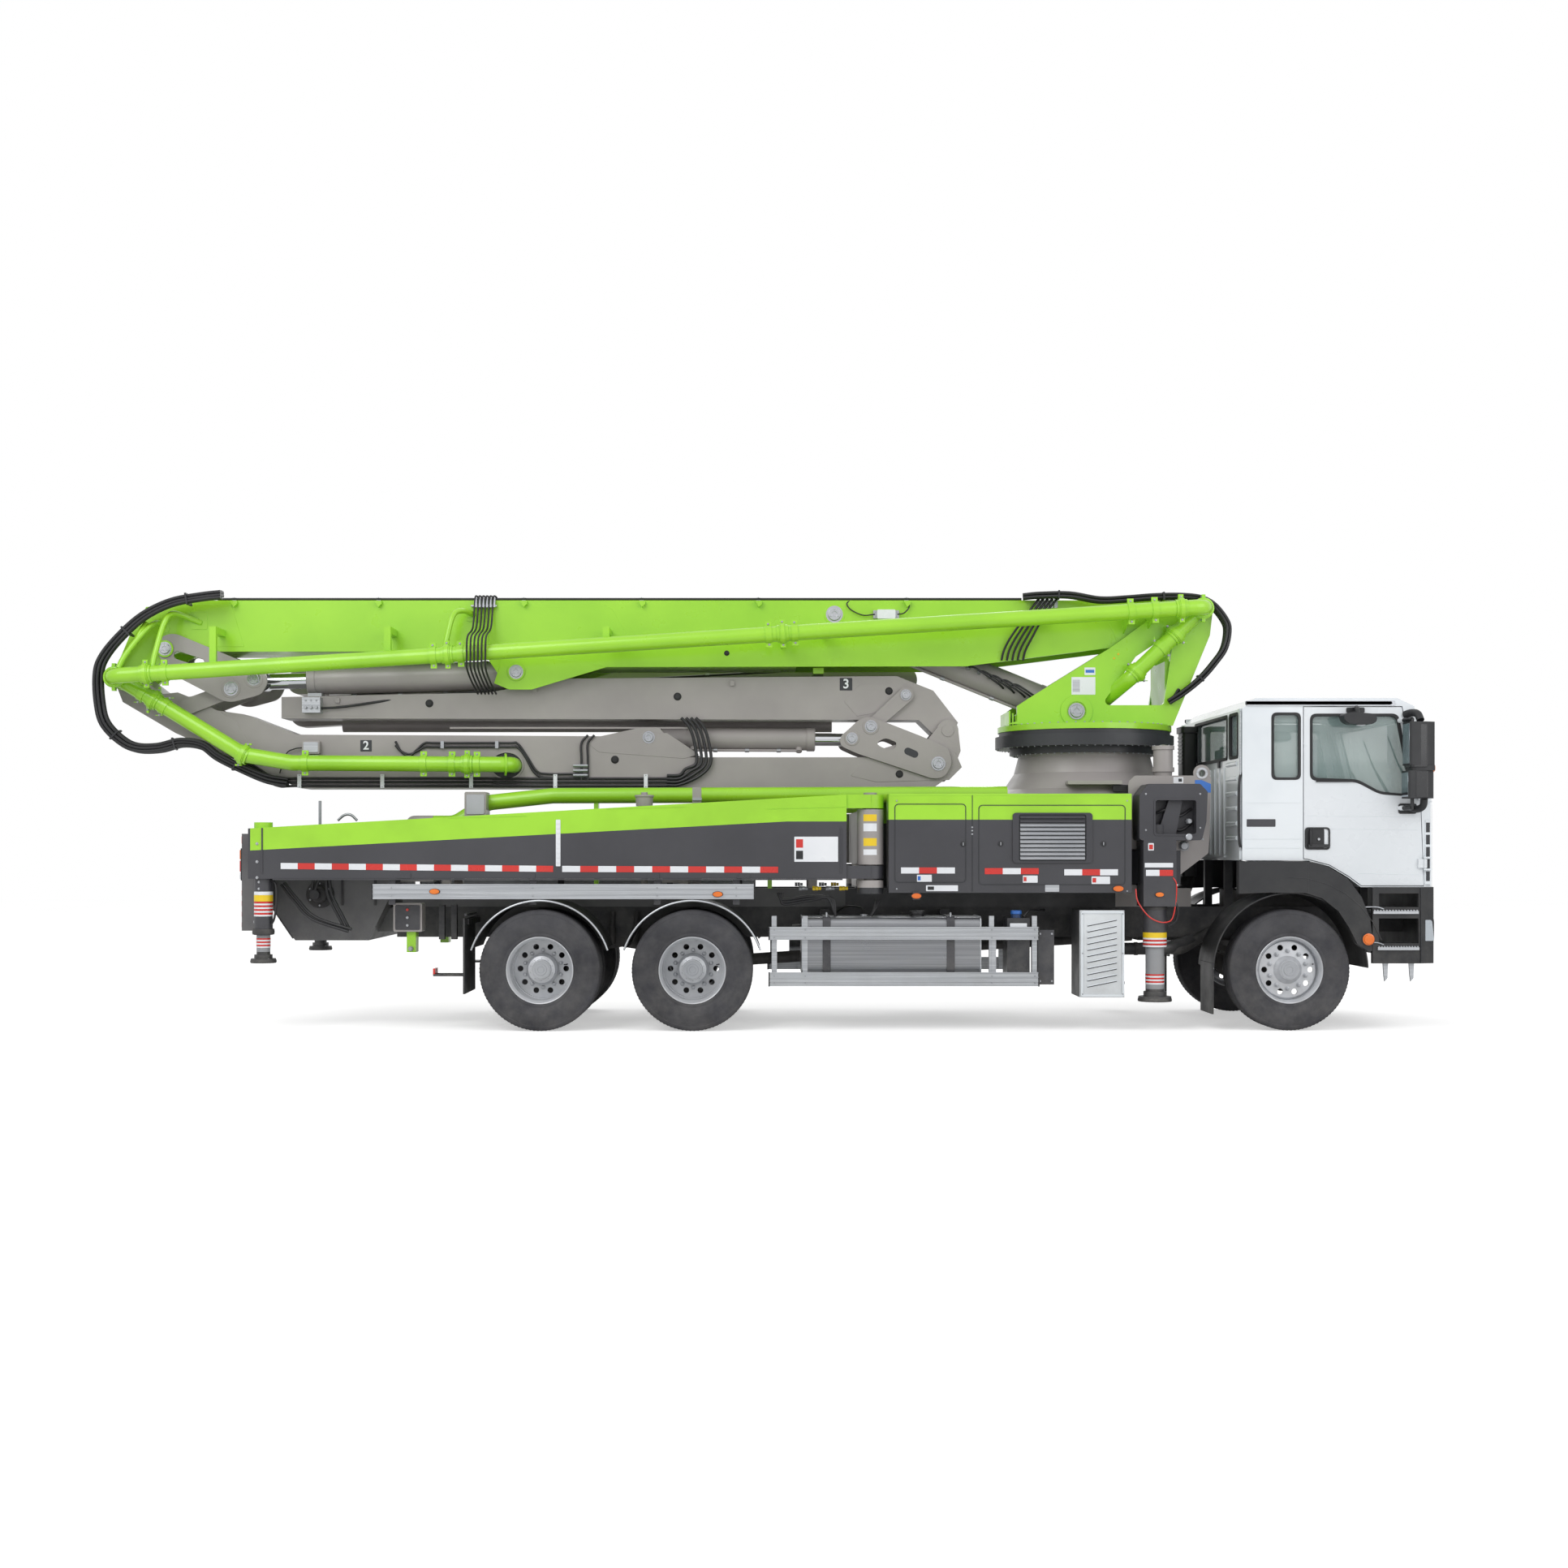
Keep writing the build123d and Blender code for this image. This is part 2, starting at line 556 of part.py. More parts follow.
def cab_glass():
    """Windscreen and both rear side windows."""
    low, high = WINDSCREEN_Z[0] + SEAT_GAP, WINDSCREEN_Z[1] - SEAT_GAP
    slope = [(windscreen_x(low) - 30, low), (windscreen_x(high) - 30, high),
             (windscreen_x(high) - 30 + GLASS, high), (windscreen_x(low) - 30 + GLASS, low)]
    half = WINDSCREEN_HALF - SEAT_GAP
    glass = plate(slope, (-half, half))
    middle = CAB_HALF - CAB_WALL / 2
    for y_range in on_both(middle - GLASS, middle):
        glass += plate(inset(REAR_WINDOW, SEAT_GAP), y_range, corner=30)
    low, high = BACK_WINDOWS_Z
    for y_range in BACK_WINDOWS_Y:
        glass += block((CAB_REAR_X + 25, CAB_REAR_X + 25 + GLASS), (y_range[0] + SEAT_GAP, y_range[1] - SEAT_GAP),
                       (low + SEAT_GAP, high - SEAT_GAP))
    return glass


def cab_interior():
    """Seats, dashboard, steering wheel and rear bunk box on the cab floor."""
    floor = 1512 + CAB_WALL + SEAT_GAP
    parts = []
    for y_range in on_both(330, 830):
        middle = sum(y_range) / 2
        parts.append(block((4700, 5040), (middle - 180, middle + 180), (floor, 1720)))
        parts.append(block((4620, 5080), y_range, (1700, 1830)))
        parts.append(plate([(4560, 1780), (4470, 2420), (4580, 2440), (4700, 1820)], y_range, corner=25))
        parts.append(block((4490, 4560), (middle - 130, middle + 130), (2400, 2580)))
    seats = Part() + parts
    dash = plate([(5560, 1700), (5560, 1960), (5700, 2010), (5900, 1960), (5950, 1650), (5950, 1450)],
                 (-980, 980)) + block((5900, 5949.5), (-500, 500), (1336.5, 1460))
    column = bar((5760, -560, 1650), (5388, -560, 2012), 40)
    wheel = Pos(5385, -560, 2015) * Rot(0, -46, 0) * (Torus(215, 17) + Box(400, 40, 20) + Box(40, 400, 20))
    bunk = block((4345, 4440), (-1100, 1100), (floor, 1900)) + block((4345, 5300), (-90, 90), (floor - 0, 1600))
    return seats + dash + column + wheel + bunk


BUMPER_PLAN = [(5424, -CAB_HALF - 30), (5850, -CAB_HALF - 30), (5980, -CAB_HALF + 20), (6013, -CAB_HALF + 150),
               (6013, CAB_HALF - 150), (5980, CAB_HALF - 20), (5850, CAB_HALF + 30), (5424, CAB_HALF + 30)]
BUMPER_Z = (601, 1275.7)
BUMPER_WALL = 50


def cab_trim():
    """Bumper with its built-in steps."""
    wrap = plan(BUMPER_PLAN, BUMPER_Z)
    inside = inset(BUMPER_PLAN, BUMPER_WALL)
    inside[0], inside[-1] = (5400, inside[0][1]), (5400, inside[-1][1])
    wrap -= plan(inside, (BUMPER_Z[0] - 1, BUMPER_Z[1] + 1))
    for y_range in on_both(CAB_HALF - 40, CAB_HALF + 90):
        for z_range in ((780, 1000), (1100, 1220)):
            wrap -= block((5480, 5830), y_range, z_range)
    for z_range in ((735, 775), (1040, 1095)):
        for y_range in on_both(CAB_HALF - 190, CAB_HALF + 25):
            wrap += block((5440, 5830), y_range, z_range)
    for y_range in on_both(RAIL_HALF_SPAN - 80, RAIL_HALF_SPAN):
        wrap += block((FRAME_X[1] + SEAT_GAP, 5980), y_range, (850, 1040))
    return wrap


# ------------------------------------------------------------------ guards, tanks and exhaust
GUARD_SKIN = (HALF_WIDTH - 45, HALF_WIDTH - 15)
MUDGUARD = 12


def arch(x, radius, y_range, low_z):
    """A thin round mudguard above low_z over an axle at x."""
    centre = (x, TYRE_RADIUS)
    shell = cross_bar(centre, radius, y_range) - cross_bar(centre, radius - MUDGUARD, (-2000, 2000))
    return shell & block((x - 2 * radius, x + 2 * radius), (-2000, 2000), (low_z, 3000))


FENDER = [(4241, 1505), (4830, 1505), (4950, 1485), (5040, 1452), (5205, 1350), (5327, 1186), (5399, 1001),
          (5418, 858), (5418, 714), (5389, 704), (5287, 776), (5215, 919), (5122, 1063), (4979, 1176),
          (4836, 1223), (4507, 1228), (4241, 1217)]
FENDER_Y = (-CAB_HALF - 35, -CAB_HALF + 50)


def mudguards():
    """Cab fenders, round mudguards over all wheels and their flaps, right side; mirrored to the left."""
    inner = -RAIL_HALF_SPAN - SEAT_GAP
    side = arch(FRONT_AXLE_X, 690, (-1205, -640), 560)
    side += plate(FENDER, FENDER_Y)
    side += block((4012, 4028), (-1205, -760), (150, 600))
    side += block((4370, 4420), (-700, inner), (1010, 1060)) + block((4370, 4420), (-700, -641), (1010, 1140))
    for x in rear_axles:
        side += arch(x, 630, (-1245, -600), TYRE_RADIUS + 200)
        side += block((x - 30, x + 30), (-640, inner), (1130, 1167))
    flap_x = rear_axles[1] - 668
    side += block((flap_x - 8, flap_x + 8), (-1240, -600), (330, 1000))
    side += block((flap_x - 25, flap_x + 25), (-1100, inner), (940, 990))
    return side + mirrored(side)


def side_guards():
    """Side guard rails and the long deck-edge rail, right side; mirrored to the left."""
    skin = (-GUARD_SKIN[1], -GUARD_SKIN[0])
    inner = -RAIL_HALF_SPAN - SEAT_GAP
    start = rear_axles[0] + 680
    side = block((start, 2475), skin, (810, 920)) + block((start, 2475), skin, (400, 520))
    for x in (start + 50, 2080):
        side += block((x - 20, x + 20), (-GUARD_SKIN[0] - 5, -GUARD_SKIN[0] + 25), (400, 920))
        side += block((x - 20, x + 20), (-GUARD_SKIN[0], inner), (850, 900))
    side += block((-3420, -40), skin, (1170, 1300))
    for x in (-3000, -1265, -140):
        side += block((x - 20, x + 20), (-GUARD_SKIN[0] - 5, inner), (1185, 1225))
    return side + mirrored(side)


def tanks():
    """Fuel tank and small additive tank on the right, air vessels and battery box on the left."""
    start = rear_axles[0] + 970
    fuel = block((start, 1970), (-1195, -620), (510, 1010))
    fuel = fillet(fuel.edges().filter_by(Axis.X), 70)
    battery = block((1300, 1950), (640, 1195), (520, 1000))
    parts = [fuel, battery, block((2200, 2400), (-1195, -880), (500, 1000)), post(2300, -1040, 45, (990, 1045))]
    for x, y_range in ((start + 220, (-640, -430.3)), (1750, (-640, -430.3)), (1500, (430.3, 660))):
        parts.append(block((x - 40, x + 40), y_range, (840, 960)))
    parts.append(block((2270, 2330), (-900, -430.3), (840, 960)))
    for z in (640, 900):
        parts.append(bar((start - 80, 800, z), (1200, 800, z), 120))
    parts.append(block((start + 320, start + 380), (430.3, 720), (840, 960)))
    parts.append(block((start + 320, start + 380), (690, 790), (600, 960)))
    return Part() + parts


def exhaust_silencer():
    """Silencer box behind the cab with its outlet pipe."""
    box = block((2840, 3240), (-1225, -720), (300, 1070))
    box = fillet(box.edges().filter_by(Axis.Z), 40)
    hanger = block((3000, 3080), (-740, -RAIL_HALF_SPAN - SEAT_GAP), (860, 960))
    outlet = pipe([(3200, -800, 710), (3700, -800, 710), (3960, -600, 780)], 55, 120)
    return box + hanger + outlet


# ------------------------------------------------------------------ pump, hopper and deck
HOUSING_X = (1150, 3300)
HOUSING_Y = (912, 1212)
HOUSING_Z = (1225, 2100)
HOUSING_WALL = 10


def side_housings():
    """Open-backed equipment boxes along both sides, with brackets to the subframe."""
    wall = HOUSING_WALL
    y_range = (-HOUSING_Y[1], -HOUSING_Y[0])
    shell = block(HOUSING_X, y_range, HOUSING_Z)
    shell -= block((HOUSING_X[0] + wall, HOUSING_X[1] - wall), (y_range[0] + wall, y_range[1] + 1),
                   (HOUSING_Z[0] + wall, HOUSING_Z[1] - wall))
    for x in (1400, 2200):
        shell += block((x - 30, x + 30), (y_range[1] - 80, -RAIL_HALF_SPAN - SEAT_GAP),
                       (HOUSING_Z[0], HOUSING_Z[0] + 24))
        shell += block((x - 8, x + 8), (y_range[0] + 5, y_range[1] - 10), (HOUSING_Z[0] + 5, HOUSING_Z[1] - 5))
    return shell + mirrored(shell)


HOPPER_SIDE = [(-3380, 1560), (-3380, 1150), (-3560, 780), (-4230, 780), (-4600, 1320), (-4600, 1560)]
HOPPER_HALF = 690
HOPPER_WALL = 12


def hopper():
    """Open receiving hopper with its rim, legs, outlet and rear corner panels."""
    wall = HOPPER_WALL
    shell = plate(HOPPER_SIDE, (-HOPPER_HALF, HOPPER_HALF))
    for y_range in on_both(RAIL_HALF_SPAN - 80, RAIL_HALF_SPAN):
        shell += block((-3600, FRAME_X[0] - SEAT_GAP), y_range, (850, 1070))
    shell -= plate(inset(HOPPER_SIDE, wall), (-HOPPER_HALF + wall, HOPPER_HALF - wall))
    shell -= block((-4580, -3400), (-HOPPER_HALF + wall, HOPPER_HALF - wall), (1500, 1600))
    rim = block((-4640, -3350), (-HOPPER_HALF - 40, HOPPER_HALF + 40), (1530, 1560))
    rim -= block((-4580, -3400), (-HOPPER_HALF + wall, HOPPER_HALF - wall), (1500, 1600))
    shell += rim
    for y_range in on_both(900, 980):
        shell += block((-4640, -4400), y_range, (880, 1750))
    for y_range in on_both(HOPPER_HALF - 5, 905):
        shell += block((-4560, -4480), y_range, (1380, 1440))
    return shell


PUMP_AXES_Y = (-135, 135)
PUMP_Z = 1500


def pump_unit():
    """Twin piston pump: delivery cylinders, water box and drive cylinders."""
    parts = []
    for y in PUMP_AXES_Y:
        parts.append(bar((-3050, y, PUMP_Z), (-700, y, PUMP_Z), 125))
        parts.append(bar((-750, y, PUMP_Z), (650, y, PUMP_Z), 80))
    parts.append(block((-900, -560), (-300, 300), (PUMP_Z - 200, PUMP_Z + 200)))
    parts.append(block((-3340, -3030), (-320, 320), (PUMP_Z - 190, PUMP_Z + 220)))
    parts.append(pipe([(-3200, 0, PUMP_Z), (-3200, 0, 1850), (-3200, -500, 1850), (-3000, -500, 1850)],
                      PIPE_RADIUS, 120))
    for x in (-2900, -700, 500):
        for y_range in on_both(330, 400):
            parts.append(block((x - 40, x + 40), y_range, (SUBFRAME_TOP + SEAT_GAP, PUMP_Z + 20)))
        parts.append(block((x - 40, x + 40), (-340, 340), (PUMP_Z - 60, PUMP_Z + 20)))
    parts.append(block((-2700, -950), (-330, 330), (1850, 1900)))
    for x in (-2600, -1100):
        parts.append(block((x - 30, x + 30), (-60, 60), (PUMP_Z, 1860)))
        parts.append(block((x - 30, x + 30), (-200, 200), (PUMP_Z - 20, PUMP_Z + 60)))
    return Part() + parts


DECK_PIPE = [(-2999, -500, 1850), (-2800, -500, 1850), (-2500, -500, 2040), (-1900, -500, 2105), (2285, -500, 2120)]


def deck_pipe():
    """Delivery line along the deck from the pump to the pedestal, on its stands."""
    line = pipe(DECK_PIPE, PIPE_RADIUS, 200)
    for x in (-1500, 100, 1600):
        line += block((x - 20, x + 20), (-520, -400), (SUBFRAME_TOP + SEAT_GAP, 2080))
    return line


# ------------------------------------------------------------------ outriggers
TUBE_WALL = 8
FRONT_TUBE_Z = (750, 1830)
FRONT_ROD_RADIUS = 82
FRONT_PAD_RADIUS = 145
HEAD_SIDE = [(3364, 1690), (3364, 2090), (3440, 2190), (3900, 2190), (3967, 2120), (3955, 1850), (3915, 1690)]
HEAD_Y = (930, 1240)
LEG_SIDE = [(3400, 1105), (3400, 1700), (3690, 1700), (3690, 1105)]
RECESS_SIDE = [(3500, 1740), (3500, 2050), (3870, 2050), (3870, 1740)]
REAR_TUBE_Z = (850, 1850)
REAR_ROD_RADIUS = 60
REAR_PAD_RADIUS = 110
ARM_WALL = 10
ARM_Y = (1012, 1224)
ARM_FRONT_X = 775
ARM_REAR_X = -4520
ARM_TOPS = (1795, 2095)


def jack_bore(x, y, rod_radius, z_range):
    """The bore of a jack tube, closed at its top."""
    return post(x, y, rod_radius + RUNNING_GAP, (z_range[0] - 1, z_range[1] - 20))


def front_arm(side):
    """Front outrigger: sliding beam, head and jack tube."""
    sign = -1 if side == "right" else 1
    x, y = FRONT_JACK[0], sign * FRONT_JACK[1]
    beam = beam_box(side, FRONT_BEAM_SIZE, FRONT_BEAM_SIZE, FRONT_BEAM_LENGTH, 40)
    inner = FRONT_BEAM_SIZE - 2 * ARM_WALL
    beam -= beam_box(side, inner, inner, FRONT_BEAM_LENGTH + 1, -200)
    y_range = tuple(sorted((sign * HEAD_Y[0], sign * HEAD_Y[1])))
    recess_y = tuple(sorted((sign * (HEAD_Y[1] - 140), sign * (HEAD_Y[1] + 1))))
    leg = plate(LEG_SIDE, y_range)
    leg -= block((3400 + ARM_WALL, 3690 - ARM_WALL), tuple(sorted((sign * (HEAD_Y[0] + 60),
                                                                  sign * (HEAD_Y[1] - ARM_WALL)))), (1104, 1260))
    head = plate(HEAD_SIDE, y_range, corner=30) - plate(RECESS_SIDE, recess_y, corner=20) + leg
    head += plate([(3520, 1700), (3640, 2060), (3760, 2060), (3690, 1700)], tuple(sorted((
        sign * (HEAD_Y[1] - 141), sign * (HEAD_Y[1] - 60)))))
    arm = beam + head + post(x, y, FRONT_ROD_RADIUS + RUNNING_GAP + TUBE_WALL + 12, FRONT_TUBE_Z)
    return arm - jack_bore(x, y, FRONT_ROD_RADIUS, FRONT_TUBE_Z)


def front_jack():
    """Right front support leg with its round foot."""
    x, y = FRONT_JACK[0], -FRONT_JACK[1]
    low = FRONT_PAD_Z
    return (post(x, y, FRONT_ROD_RADIUS, (low + 30, FRONT_TUBE_Z[1] - 60))
            + post(x, y, FRONT_PAD_RADIUS, (low, low + 45)) + post(x, y, 100, (low + 40, low + 90)))


def swing_arm(side):
    """Rear outrigger: hollow swinging arm, its two hinge lugs and the jack tube."""
    sign = -1 if side == "right" else 1
    low = 1350 if side == "right" else 1400
    x, y = SWING_HINGE[0], sign * SWING_HINGE[1]
    profile = [(ARM_REAR_X, low), (ARM_REAR_X, ARM_TOPS[0]), (ARM_FRONT_X, ARM_TOPS[1]), (ARM_FRONT_X, low)]
    outer = plate(profile, sorted((sign * ARM_Y[0], sign * ARM_Y[1])))
    inner = plate(inset(profile, ARM_WALL), sorted((sign * (ARM_Y[0] + ARM_WALL), sign * (ARM_Y[1] - ARM_WALL))))
    lug_y = sorted((sign * (ARM_Y[0] - 30), sign * (ARM_Y[1] - 20)))
    arm = outer - inner
    for z_range in (LOWER_LUG_Z, UPPER_LUG_Z):
        z_range = (max(z_range[0], low), z_range[1]) if z_range is LOWER_LUG_Z else z_range
        arm += block((ARM_FRONT_X - 60, x), lug_y, z_range) + post(x, y, COLUMN_RADIUS, z_range)
        arm -= post(x, y, HINGE_PIN_RADIUS + RUNNING_GAP, (z_range[0] - 1, z_range[1] + 1))
    jack_y = sign * (ARM_Y[0] + ARM_Y[1]) / 2
    arm += post(SWING_JACK_X, jack_y, REAR_ROD_RADIUS + RUNNING_GAP + TUBE_WALL + 12, REAR_TUBE_Z)
    return arm - jack_bore(SWING_JACK_X, jack_y, REAR_ROD_RADIUS, REAR_TUBE_Z)


def rear_jack():
    """Right rear support leg with its round foot."""
    x, y = SWING_JACK_X, -(ARM_Y[0] + ARM_Y[1]) / 2
    low = REAR_PAD_Z
    return (post(x, y, REAR_ROD_RADIUS, (low + 25, REAR_TUBE_Z[1] - 60))
            + post(x, y, REAR_PAD_RADIUS, (low, low + 40)) + post(x, y, 80, (low + 35, low + 75)))


# ------------------------------------------------------------------ cylinders
EYE_HALF = 70


def barrel(base, eye, length, radius, rod_radius, pin_radius):
    """Cylinder barrel on its base eye, open towards the rod."""
    start = along(base, eye, 1.1 * radius)
    end = along(base, eye, length)
    tube = bar((start[0], 0, start[1]), (end[0], 0, end[1]), radius)
    neck = bar((base[0], 0, base[1]), (start[0], 0, start[1]), 0.55 * radius)
    lug = cross_bar(base, 0.78 * radius, (-0.6 * radius, 0.6 * radius))
    inner = along(base, eye, 1.1 * radius + 35)
    bore = bar((inner[0], 0, inner[1]), (end[0] + 0.01 * (end[0] - inner[0]), 0,
                                         end[1] + 0.01 * (end[1] - inner[1])), rod_radius + RUNNING_GAP)
    return tube + neck + lug - bore - cross_bar(base, pin_radius + RUNNING_GAP, (-radius, radius))


def rod(base, eye, inner, radius, eye_radius, pin_radius):
    """Cylinder rod from a point inside the barrel to its open eye."""
    start = along(base, eye, inner)
    shaft = bar((start[0], 0, start[1]), (eye[0], 0, eye[1]), radius)
    head = shaft + cross_bar(eye, eye_radius, (-EYE_HALF, EYE_HALF))
    return head - cross_bar(eye, pin_radius, (-EYE_HALF - 1, EYE_HALF + 1))


def lift_barrel():
    """Lift cylinder barrel on the turret."""
    return barrel(LIFT_BASE, LIFT_EYE, 2230, 155, 80, PIN_RADIUS)


def lift_rod():
    """Lift cylinder rod."""
    return rod(LIFT_BASE, LIFT_EYE, 220, 80, 95, PIN_RADIUS)


def fold_2_barrel():
    """Barrel of the cylinder that folds section 2."""
    return barrel(FOLD_2_BASE, FOLD_2_EYE, 2000, 135, 75, PIN_RADIUS)


def fold_2_rod():
    """Rod of the cylinder that folds section 2."""
    return rod(FOLD_2_BASE, FOLD_2_EYE, 200, 75, 95, PIN_RADIUS)


def fold_3_barrel():
    """Barrel of the cylinder that folds section 3."""
    return barrel(FOLD_3_BASE, FOLD_3_EYE, 1560, 105, 60, PIN_RADIUS)


def fold_3_rod():
    """Rod of the cylinder that folds section 3."""
    return rod(FOLD_3_BASE, FOLD_3_EYE, 170, 60, 80, PIN_RADIUS)


# ------------------------------------------------------------------ turret
PIN_RADIUS = 45
PIVOT_PIN = 70
TURRET_EAR_Y = (320, 370)
TURRET_BASE_Z = (2710, 2765)
TURRET_EAR = [(2398, 2760), (2398, 2942), (2489, 3003), (3281, 3493), (3808, 3880), (4086, 3957),
              (4216, 3827), (4190, 3600), (3846, 2760)]
TURRET_OPENING = [(3180, 2950), (3500, 3400), (3860, 3640), (3760, 2950)]


def turret():
    """Slewing turret with the boom pivot pin, the lift cylinder pin and its riser pipe."""
    body = post(SLEW_X, 0, 800, TURRET_BASE_Z)
    for y_range in on_both(*TURRET_EAR_Y):
        ear = plate(TURRET_EAR, y_range)
        body += ear - plate(TURRET_OPENING, (-400, 400), corner=40)
    ear_y = (-TURRET_EAR_Y[0] - 5, TURRET_EAR_Y[0] + 5)
    body += block((3780, 3820), ear_y, (2760, 3360)) + block((2420, 2460), ear_y, (2760, 2880))
    body += cross_bar(LIFT_BASE, PIN_RADIUS, (-TURRET_EAR_Y[1], TURRET_EAR_Y[1]))
    for y_range in on_both(130, TURRET_EAR_Y[0] + 5):
        body += plate([(2750, 2760), (2850, 3000), (3050, 3000), (3150, 2760)], (y_range[0], y_range[1]))
    body += cross_bar(BOOM_PIVOT, PIVOT_PIN, (-TURRET_EAR_Y[1] - 15, TURRET_EAR_Y[1] + 15))
    x, z = BOOM_PIVOT
    riser = pipe([(3180, -150, 2760), (3180, -150, 2960), (3440, -470, 3200), (x, -470, z)],
                 PIPE_RADIUS, 110)
    swivel = cross_bar(BOOM_PIVOT, PIPE_RADIUS, (SWIVEL_Y + SEAT_GAP, -TURRET_EAR_Y[1]))
    return body + riser + swivel


# ------------------------------------------------------------------ boom section 1
BEAM_1 = [(4201, 3932), (-5186, 3932), (-5715, 3871), (-5867, 3591), (-5790, 3500), (-5260, 3455),
          (-2536, 3455), (-2536, 3400), (-2360, 3140), (-2170, 3140), (-1590, 3311), (1930, 3318),
          (3293, 3492), (4140, 3690)]
EAR_1 = [(-5870, 3600), (-6028, 3220), (-5960, 3110), (-5840, 3140), (-5480, 3430), (-5300, 3500)]
EAR_1_Y = (242, SECTION_1_HALF)
OPEN_1 = [(350, 3200), (350, 3912), (3880, 3912), (3880, 3500), (3500, 3200)]
KNEE_PIN = 55
ROCKER_2_Y = (312, 337)
ROCKER_3_Y = (240, 262)


def section_1():
    """Boom section 1: box beam, open underneath over the lift cylinder, with its delivery pipe."""
    half, web = SECTION_1_HALF, SECTION_1_HALF - PLATE
    beam = plate(BEAM_1, (-half, half)) + cross_bar(BOOM_PIVOT, 120, (-half, half))
    beam -= plate(OPEN_1, (-web, web))
    beam -= block((-2660, 300), (-web, web), (3475, 3912))
    beam -= block((-5430, -2700), (-web, web), (3475, 3912))
    beam -= block((-2620, -1750), (-web + 60, web - 60), (3000, 3425))
    for y_range in on_both(*EAR_1_Y):
        beam += plate(EAR_1, y_range) + cross_bar(KNEE_1, 100, y_range)
    for y_range in on_both(140, web + 5):
        beam += cross_bar(LIFT_EYE, 125, y_range)
    for point, pin in ((KNEE_1, KNEE_PIN), (FOLD_2_BASE, PIN_RADIUS)):
        beam += cross_bar(point, pin, (-half - 12, half + 12))
    for y_range in on_both(half - 5, ROCKER_2_Y[1] + 10):
        beam += cross_bar(ROCKER_2_PIVOT, PIN_RADIUS, y_range)
    beam -= cross_bar(BOOM_PIVOT, PIVOT_PIN + RUNNING_GAP, (-half - 1, half + 1))
    return beam + pipe_1()


def pipe_1():
    """Delivery pipe along section 1 from the pivot swivel to the first knee, on its brackets."""
    (x1, z1), (x2, z2) = BOOM_PIVOT, KNEE_1
    line = pipe([(x1, SWIVEL_Y - SEAT_GAP, z1), (x1, PIPE_1_Y, z1), (x2, PIPE_1_Y, z2),
                 (x2, SWIVEL_Y - SEAT_GAP, z2)], PIPE_RADIUS, 90)
    for x in (2600, 600, -1400, -3400, -5000):
        z = z1 + (x - x1) * (z2 - z1) / (x2 - x1)
        top = max(z, 3620)
        line += block((x - 30, x + 30), (-600, -SECTION_1_HALF + 10), (top - 30, top + 30))
        line += block((x - 30, x + 30), (-640, -590), (z, top + 30))
    return line


# ------------------------------------------------------------------ boom section 2
BEAM_2 = [(-6010, 3130), (-5860, 3270), (-5463, 2966), (-4818, 2875), (-4325, 2685), (-1479, 2670),
          (-1100, 2753), (-933, 2753), (-759, 2533), (-700, 2473), (1500, 2473), (1889, 2533),
          (1800, 2306), (1631, 2184), (-4300, 2184), (-4590, 2306), (-5463, 2700), (-5956, 2990)]
EAR_2 = [(1440, 2470), (1672, 2750), (1864, 2750), (1889, 2530)]
EAR_2_Y = (202, SECTION_2_HALF)
LINK_2_Y = (242, 267)
LINK_3_Y = (202, 228)


def section_2():
    """Boom section 2: box beam with the fork for section 3, cylinder ears and its folding link."""
    half, web = SECTION_2_HALF, SECTION_2_HALF - PLATE
    beam = plate(BEAM_2, (-half, half)) + cross_bar(KNEE_1, 105, (-half, half))
    beam -= block((-4200, -1700), (-web, web), (2204, 2650))
    beam -= block((-600, 1400), (-web, web), (2204, 2453))
    beam -= block((-1240, -600), (-125, 125), (2515, 2900))
    for y_range in on_both(*EAR_2_Y):
        beam += plate(EAR_2, y_range) + cross_bar(KNEE_2, 100, y_range)
    beam += cross_bar(KNEE_2, KNEE_PIN, (-half - 8, half + 8))
    beam += cross_bar(FOLD_3_BASE, PIN_RADIUS, (-half - 12, half + 12))
    beam += cross_bar(SECTION_2_LUG, PIN_RADIUS, (-LINK_2_Y[1], LINK_2_Y[1]))
    beam += cross_bar(ROCKER_3_PIVOT, PIN_RADIUS, (-ROCKER_3_Y[1] - 10, ROCKER_3_Y[1] + 10))
    for y_range in on_both(*LINK_2_Y):
        beam += strap(SECTION_2_LUG, ROCKER_2_LINK, (75, 70), y_range) - cross_bar(
            ROCKER_2_LINK, PIN_RADIUS, (-300, 300))
    return beam - cross_bar(KNEE_1, KNEE_PIN + RUNNING_GAP, (-half - 1, half + 1))


def delivery_pipe_2():
    """Delivery pipe along section 2 from the first knee into the beam's side."""
    (x, z), start = KNEE_1, SWIVEL_Y + SEAT_GAP
    return pipe([(x, start, z), (x, PIPE_2_Y, z), (-4771, PIPE_2_Y, 2487), (-4320, PIPE_2_Y, 2411),
                 (-2291, PIPE_2_Y, 2396), (-2291, -SECTION_2_HALF - SEAT_GAP, 2396)], PIPE_RADIUS, 90)


def rocker_2():
    """Pair of rocker plates between section 1, its cylinder and its link."""
    parts = []
    for y_range in on_both(*ROCKER_2_Y):
        parts.append(strap(ROCKER_2_PIVOT, ROCKER_2_LINK, (80, 80), y_range)
                     + strap(ROCKER_2_LINK, FOLD_2_EYE, (80, 70), y_range)
                     - cross_bar(ROCKER_2_PIVOT, PIN_RADIUS + RUNNING_GAP, y_range)
                     - cross_bar(FOLD_2_EYE, PIN_RADIUS, y_range))
    return Part() + parts


# ------------------------------------------------------------------ boom section 3
BEAM_3 = [(-4480, 2840), (-4480, 3040), (-2549, 3080), (-1788, 3213), (1294, 3236), (1636, 3100),
          (1868, 2800), (1800, 2640), (1690, 2640), (1500, 2825)]


